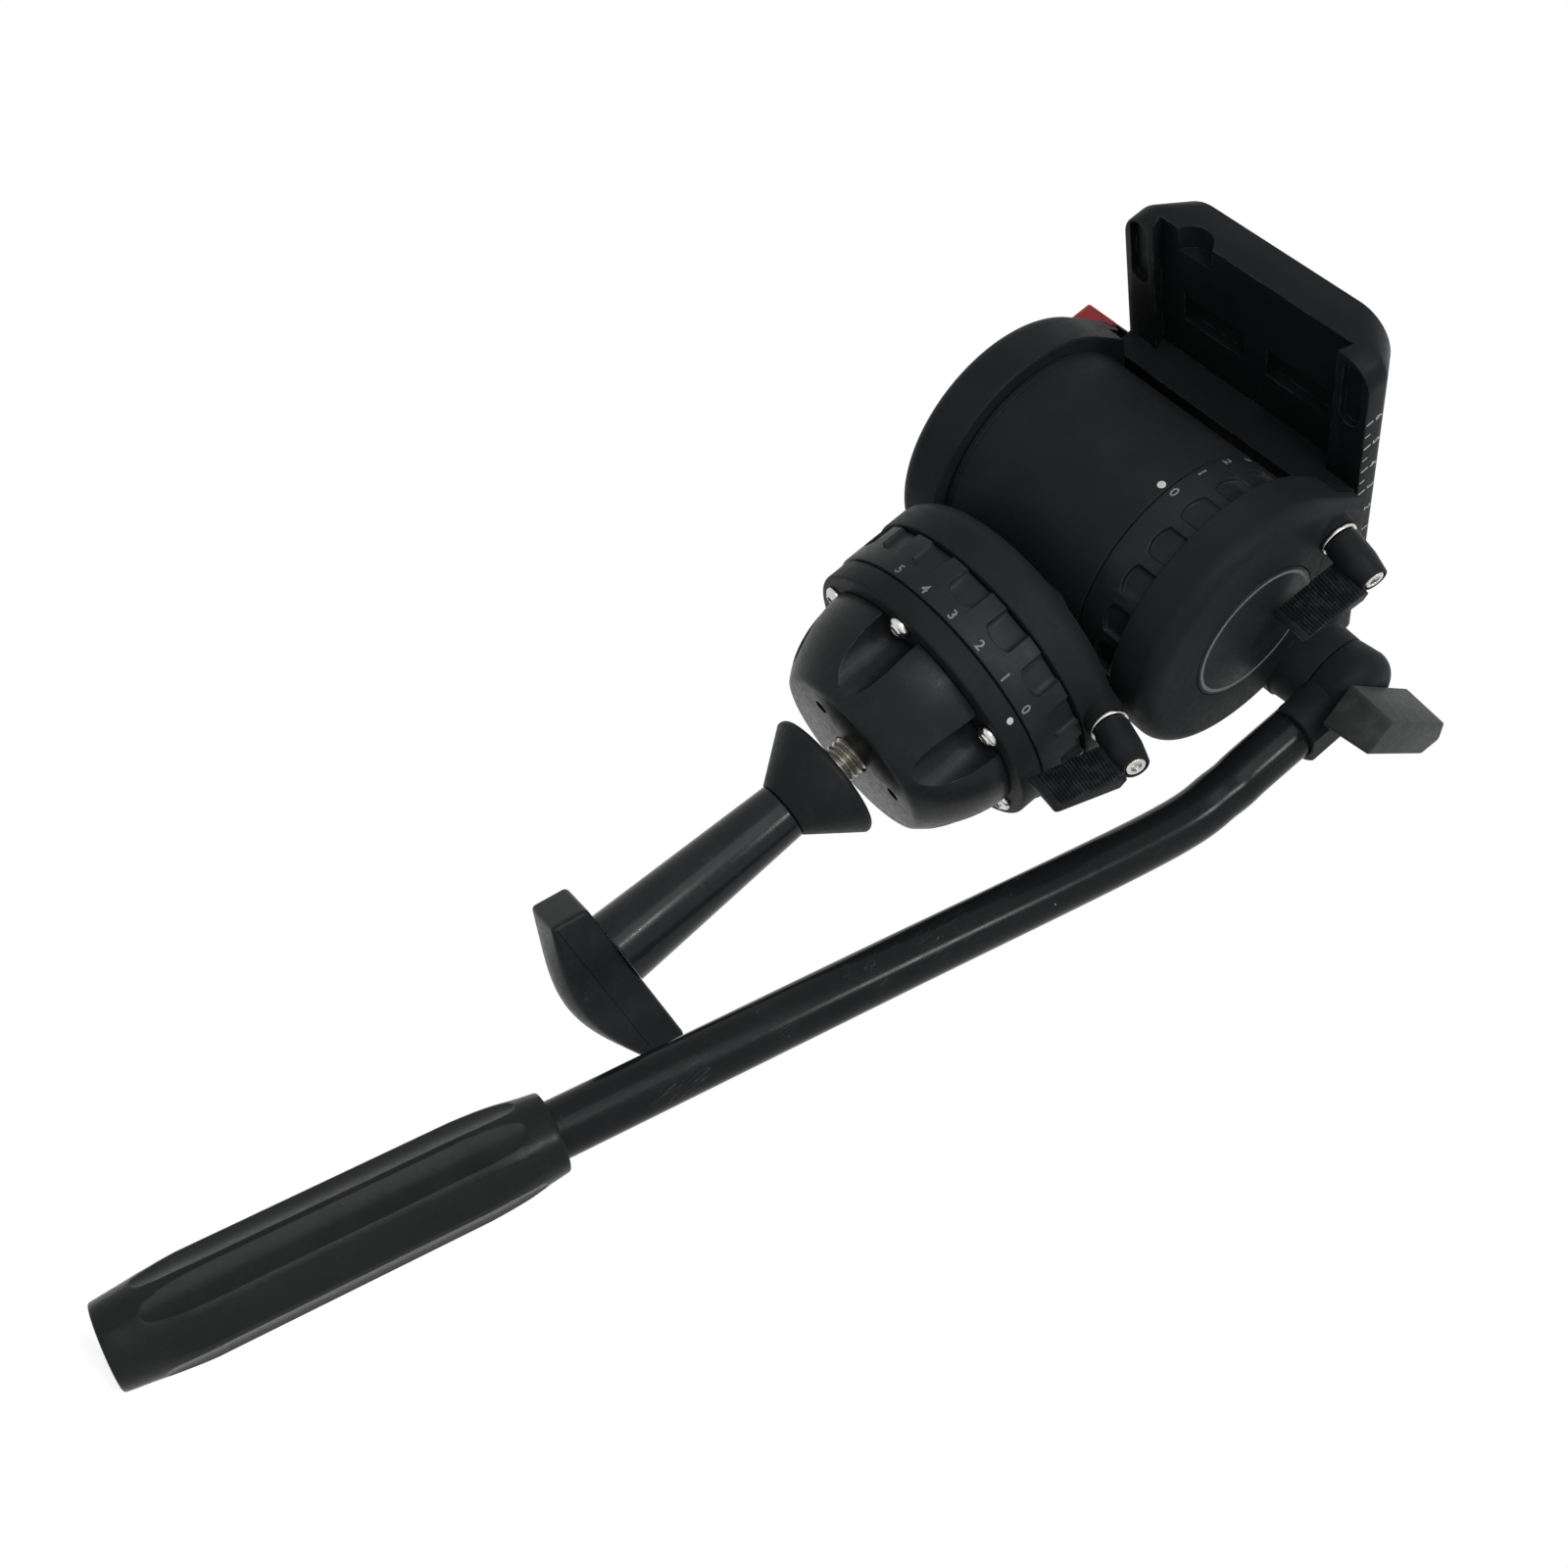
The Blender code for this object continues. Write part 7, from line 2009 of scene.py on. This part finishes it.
    def grip(self) -> None:
        """Fluted rubber grip."""
        along = self.grip_end - self.grip_neck
        length, (low, high), rows = along.length, self.flute_reach, self.rows
        at = Matrix.Translation(self.grip_neck) @ along.to_track_quat("Z", "Y").to_matrix().to_4x4()
        pitch = math.tau / self.flute_count
        soft = [(0.0, EDGE), (BEVEL, BEVEL), (EDGE, 0.0)]
        heights = soft + [(length * row / rows, 0.0) for row in range(2, rows - 1)]
        heights += [(length - rise, cut) for rise, cut in reversed(soft)]
        rings = []
        for height, cut in heights:
            share = height / length
            open_share = max(0.0, min(1.0, (share - low) / 0.12, (high - share) / 0.16))
            depth_share = math.sqrt(max(0.0, 1 - (1 - open_share) ** 2))
            half = math.radians(self.flute_half) * max(0.02, math.sqrt(depth_share))
            reach = self.reach_at(min(1.0, max(0.0, share))) - cut
            places = []
            for middle in (self.flute_first + flute * pitch for flute in range(self.flute_count)):
                places += [(middle + k / 7 * half,
                            reach - self.flute_depth * depth_share * (1 - (k / 7) ** 2))
                           for k in range(-7, 8)]
                places += [(middle + half + (pitch - 2 * half) * k / 5, reach) for k in range(1, 5)]
            rings.append([(radius * math.cos(turn), radius * math.sin(turn), height)
                          for turn, radius in places])
        grip = loft("bar_grip_fluted", rings, at)
        bore = drum("bore", self.bar_radius + FIT_GAP, -OVERRUN, length - self.end_wall + FIT_GAP, at)
        combine(grip, Cut.AWAY, bore, drum("hole", self.end_hole, 0, length + OVERRUN, at))
        self.mount(grip, "bar", GRIP_RUBBER, "bar_grip")

    def handle(self) -> None:
        """Clamp handle."""
        at = (Matrix.Translation(self.axis + Vector((self.bracket_depth, 0, 0))) @ SIDEWAYS
              @ Matrix.Rotation(self.handle_turn, 4, "Z"))
        half, cut, tall = self.handle_half, self.handle_cut, self.handle_depth
        inside, outside = self.handle_side
        layers = []
        for rise, depth in self.handle_layers:
            side = inside + (outside - inside) * rise * MM / tall
            corners = [(-half, -side), (half - cut, -side), (half, cut - side), (half, side - cut),
                       (half - cut, side), (-half, side)]
            outline = softened(corners, HANDLE_EDGE)
            layers.append((inset(outline, [depth * MM] * len(outline)), FIT_GAP + rise * MM))
        handle = stacked("clamp_handle_moulded", layers, at)
        combine(handle, Cut.AWAY, drum("bore", BOLT_BORE, -OVERRUN, FIT_GAP + tall / 2 + FIT_GAP, at, 32))
        self.mount(handle, "bar_clamp", CLAMP_PLASTIC, "clamp_handle")


@dataclass
class TieDown(Assembly):
    """Clamping cone, stem and lever under the ball."""
    cone_top: float = -34.4 * MM
    cone_radius: float = 19.6 * MM
    cone_narrow: float = 8.9 * MM
    cone_height: float = 16.6 * MM
    stem_top: float = 8.6 * MM
    stem_bottom: float = 11.1 * MM
    stem_length: float = 60.0 * MM
    bore: float = 6.3 * MM
    azimuth: float = math.radians(60)
    short: float = 20.3 * MM
    long: float = 31.0 * MM
    slant: float = 2.2 * MM
    width: float = 18.0 * MM
    end_height: float = 10.6 * MM
    depth: float = 17.2 * MM
    keel_depth: float = 20.4 * MM
    rounding: float = 1.5 * MM
    cone_rim: float = 1.8 * MM
    bore_depth: float = 48.0 * MM
    corner: float = 1.6 * MM

    def build(self) -> None:
        """Build the tie-down."""
        rim = self.cone_rim
        cone = arc((self.cone_radius - rim, -rim), rim, 90, -20, 8)
        cone += [(self.cone_narrow + FINE_EDGE, SMALL_EDGE - self.cone_height),
                 (self.cone_narrow, -self.cone_height),
                 (self.bore, -self.cone_height), (self.bore, 0)]
        cone = lathe("clamp_cone_moulded", cone, Matrix.Translation((0, 0, self.cone_top)))
        self.mount(cone, "tie_clamp", MATT_PLASTIC, "clamp_cone")
        start = self.cone_top - self.cone_height
        at = Matrix.Translation((0, 0, start))
        stem = [(0, -self.bore_depth), (self.bore, -self.bore_depth), (self.bore, -FIT_GAP),
                (self.stem_top, -FIT_GAP),
                (self.stem_bottom, -self.stem_length), (0, -self.stem_length)]
        stem = lathe("tie_stem_moulded", softened(stem, [0, 0, 0, WIDE_EDGE, 0, 0]), at)
        self.mount(stem, "tie_handle", GLOSS_PLASTIC, "tie_down_stem")
        side, rim = self.width / 2, self.rounding
        layers = [(rise - side, depth) for depth, rise in rounding(rim, 6)]
        layers += [((side - rim) * step / 6, 0.0) for step in range(-5, 6)]
        layers += [(-across, cut) for across, cut in reversed(layers[:7])]
        layers = [(self.lever_outline(across, cut), across) for across, cut in layers]
        lever_at = at @ Matrix.Rotation(self.azimuth, 4, "Z") @ Matrix.Rotation(QUARTER, 4, "X")
        lever = stacked("tie_lever_moulded", layers, lever_at)
        self.mount(lever, "tie_handle", DARK_PLASTIC, "tie_down_lever")

    def lever_outline(self, across: float, cut: float) -> Outline:
        """Give the lever's outline at one place across its width.

        Args:
            across: Distance from its middle plane.
            cut: How far the outline is moved inwards.

        Returns:
            The outline.
        """
        top = -self.stem_length - FIT_GAP
        low = top - self.end_height
        flat = 1 - (across / (self.width / 2)) ** 2
        belly = self.depth + (self.keel_depth - self.depth) * flat - self.end_height
        short_low, long_low = self.short + self.slant, self.long + self.slant
        reach = short_low + long_low
        outline = [(-self.short, top), (-short_low, low)]
        outline += [(reach * k / 24 - short_low, low - belly * math.sin(math.pi * k / 24))
                    for k in range(1, 24)]
        outline += [(long_low, low), (self.long, top)]
        outline = softened(outline, [self.corner] * 2 + [0] * 23 + [self.corner] * 2)
        return inset(outline, [cut] * len(outline))


@dataclass(frozen=True)
class Lamp:
    """One square lamp.

    Attributes:
        name: Its name.
        way: Its direction from the object: to the picture's right, to its top and towards the camera.
        distance: Its distance from the object.
        size: Length of its side.
        power: Its power in watts.
    """
    name: str
    way: Colour
    distance: float
    size: float
    power: float


@dataclass
class Studio:
    """Camera, floor, world and lamps.

    Attributes:
        right: The way of the picture's right side.
        up: The way of the picture's top.
        floor_glow: How brightly the floor shines by itself to the camera; 1 is white.
        ambient: Light of the surroundings on the object.
        target: What the lamps point at.
    """
    camera_at: Vector = field(default_factory=lambda: Vector((0.2394, -0.4408, -0.1303)))
    right: Vector = field(default_factory=lambda: Vector((0.61738, 0.19807, 0.76132)))
    up: Vector = field(default_factory=lambda: Vector((-0.62305, -0.46771, 0.62694)))
    lens: float = 41.69
    sensor: float = 36.0
    floor_size: float = 6.0
    floor_drop: float = 0.2 * MM
    floor_glow: float = 0.84
    floor_tones: tuple = ((0.86, 0.86, 0.86), (0.88, 0.88, 0.88))
    floor_patch: float = 0.4
    ambient: float = 0.13
    target: Vector = field(default_factory=lambda: Vector((0.02, 0.0, 0.0)))
    lights: tuple = (Lamp("key", (0.15, 0.3, 1.0), 1.6, 1.1, 10.0),
                     Lamp("right", (0.66, 0.09, 0.74), 1.3, 0.18, 4.5),
                     Lamp("near", (0.20, 0.16, 0.97), 1.3, 0.10, 1.8))

    def build(self) -> None:
        """Set up the studio."""
        self.camera()
        self.floor()
        self.world()
        self.lamps()

    def axes(self) -> Matrix:
        """Give the camera's turn: its X is the picture's right, its Y the picture's top.

        Returns:
            The turn.
        """
        back = self.right.cross(self.up).normalized()
        up = back.cross(self.right).normalized()
        return Matrix((self.right.normalized(), up, back)).transposed()

    def camera(self) -> None:
        """Camera at the photograph's angle."""
        data = bpy.data.cameras.new("view")
        data.lens, data.sensor_width, data.sensor_fit = self.lens, self.sensor, "HORIZONTAL"
        data.clip_start, data.clip_end = 0.01, 50.0
        camera = bpy.data.objects.new("view", data)
        camera.matrix_world = Matrix.Translation(self.camera_at) @ self.axes().to_4x4()
        bpy.context.scene.collection.objects.link(camera)
        bpy.context.scene.camera = camera

    def floor(self) -> None:
        """Pale floor just under the lowest point of the grip."""
        low = min(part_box(node)[0].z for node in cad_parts) - self.floor_drop
        half = self.floor_size / 2
        work = bmesh.new()
        corners = ((-half, -half), (half, -half), (half, half), (-half, half))
        work.faces.new([work.verts.new((x, y, low)) for x, y in corners])
        floor = piece_from(work, "studio_floor")
        material = bpy.data.materials.new("floor_paper")
        material.use_nodes = True
        nodes, links = Nodes(material.node_tree), material.node_tree.links
        shader = material.node_tree.nodes["Principled BSDF"]
        place = nodes.add("TexCoord").outputs["Object"]
        links.new(nodes.blend(nodes.noise(place, self.floor_patch), *self.floor_tones),
                  shader.inputs["Base Color"])
        shader.inputs["Roughness"].default_value = 0.9
        shader.inputs["Specular IOR Level"].default_value = 0.1
        strength = nodes.maths("MULTIPLY", self.seen(nodes), self.floor_glow)
        glow = nodes.add("Emission", {"Color": (1, 1, 1, 1), "Strength": strength})
        total = nodes.add("AddShader", {0: shader.outputs[0], 1: glow.outputs[0]})
        links.new(total.outputs[0], material.node_tree.nodes["Material Output"].inputs["Surface"])
        floor.data.materials.append(material)

    @staticmethod
    def seen(nodes: Nodes) -> Socket:
        """Give 1 for rays that the camera, gloss or glass sends out, and 0 for the others.

        Args:
            nodes: The node tree.

        Returns:
            The value's socket.
        """
        path = nodes.add("LightPath").outputs
        glossy = nodes.maths("MAXIMUM", path["Is Glossy Ray"], path["Is Transmission Ray"])
        return nodes.maths("MAXIMUM", path["Is Camera Ray"], glossy)

    def world(self) -> None:
        """White surroundings to the camera, plain soft light to the object."""
        world = bpy.data.worlds.new("studio")
        world.use_nodes = True
        tree = world.node_tree
        nodes = Nodes(tree)
        background = tree.nodes["Background"]
        background.inputs["Color"].default_value = (1, 1, 1, 1)
        strength = nodes.ramp(self.seen(nodes), 0.0, 1.0, self.ambient, 1.0)
        tree.links.new(strength, background.inputs["Strength"])
        bpy.context.scene.world = world

    def lamps(self) -> None:
        """One soft key lamp, and two small ones for the highlights."""
        axes = self.axes()
        for light in self.lights:
            data = bpy.data.lights.new(light.name, "AREA")
            data.shape, data.size, data.energy = "SQUARE", light.size, light.power
            lamp = bpy.data.objects.new(light.name, data)
            way = (axes @ Vector(light.way)).normalized()
            lamp.matrix_world = (Matrix.Translation(self.target + way * light.distance)
                                 @ way.to_track_quat("Z", "Y").to_matrix().to_4x4())
            bpy.context.scene.collection.objects.link(lamp)


def lever_frame(at: Vector, azimuth: float, droop: float = 0.0) -> Matrix:
    """Give a lever's frame: Z out along its spindle, its paddle hanging down along -Y.

    Args:
        at: Where the spindle meets the washer.
        azimuth: Direction of the spindle about Z, in degrees.
        droop: How far the spindle points down, in degrees.

    Returns:
        The frame.
    """
    about = math.radians(azimuth)
    outwards = Matrix.Rotation(about, 4, "Z") @ SIDEWAYS
    hinge = Vector((-math.sin(about), math.cos(about), 0))
    return Matrix.Translation(at) @ Matrix.Rotation(math.radians(droop), 4, hinge) @ outwards


def swung(matrix: Matrix, degrees: float) -> Matrix:
    """Turn a lever's frame about its spindle."""
    return matrix @ Matrix.Rotation(math.radians(degrees), 4, "Z")


PAN_BRAKE = lever_frame(Vector((49.0, -8.6, 27.3)) * MM, -8, 17)
TILT_BRAKE = lever_frame(Vector((53.6, -14.9, 29.7)) * MM + TILT_CENTRE, 5, 10.5)
PLATE_LOCK = lever_frame(Vector((-56.2, 22.0, 32.0)) * MM + TILT_CENTRE, 180)
PAN_RING_RADIUS = 43.5 * MM
TILT_RING_RADIUS = 36.8 * MM
PAN_FIGURES = [(str(n), on_drum(PAN_RING_RADIUS, math.radians(-33.6 - 14.3 * n), 10.1 * MM))
               for n in range(6)]
TILT_FIGURES = [(str(n), on_barrel(TILT_RING_RADIUS, math.radians(0.1 + 16.3 * n), 21.2 * MM))
                for n in range(6)]


def main() -> None:
    """Build the head's sub-assemblies in order and dress them."""
    logging.basicConfig(level=logging.INFO, format="%(name)s %(message)s")
    Studio().build()
    assemblies = [
        BallAndFlange(),
        DragRing("pan_ring", "pan_drag_ring", "pan_drag", outer=PAN_RING_RADIUS, bore=32.4 * MM,
                 width=14.8 * MM, matrix=Matrix.Translation((0, 0, 7.6 * MM)), figures=PAN_FIGURES),
        PanHousing(brake=PAN_BRAKE),
        DragRing("tilt_ring", "tilt_drag_ring", "tilt_drag", outer=TILT_RING_RADIUS, bore=29.4 * MM,
                 width=16.2 * MM, matrix=Matrix.Translation((19.2 * MM, 0, TILT_HEIGHT)) @ SIDEWAYS,
                 figures=TILT_FIGURES),
        TiltBracket(tilt_brake=TILT_BRAKE, plate_lock=PLATE_LOCK),
        Lever("pan_brake", swung(PAN_BRAKE, -2)),
        Lever("tilt_brake", swung(TILT_BRAKE, 26)),
        Lever("plate_lock", swung(PLATE_LOCK, 100)),
        CameraPlate(),
        PanBar(),
        TieDown(),
    ]
    for assembly in assemblies:
        assembly.build()
        LOG.info("%s: %d pieces", type(assembly).__name__, len(assembly.pieces))
    bpy.context.scene.view_settings.view_transform = "Standard"


if __name__ == "__main__":
    main()
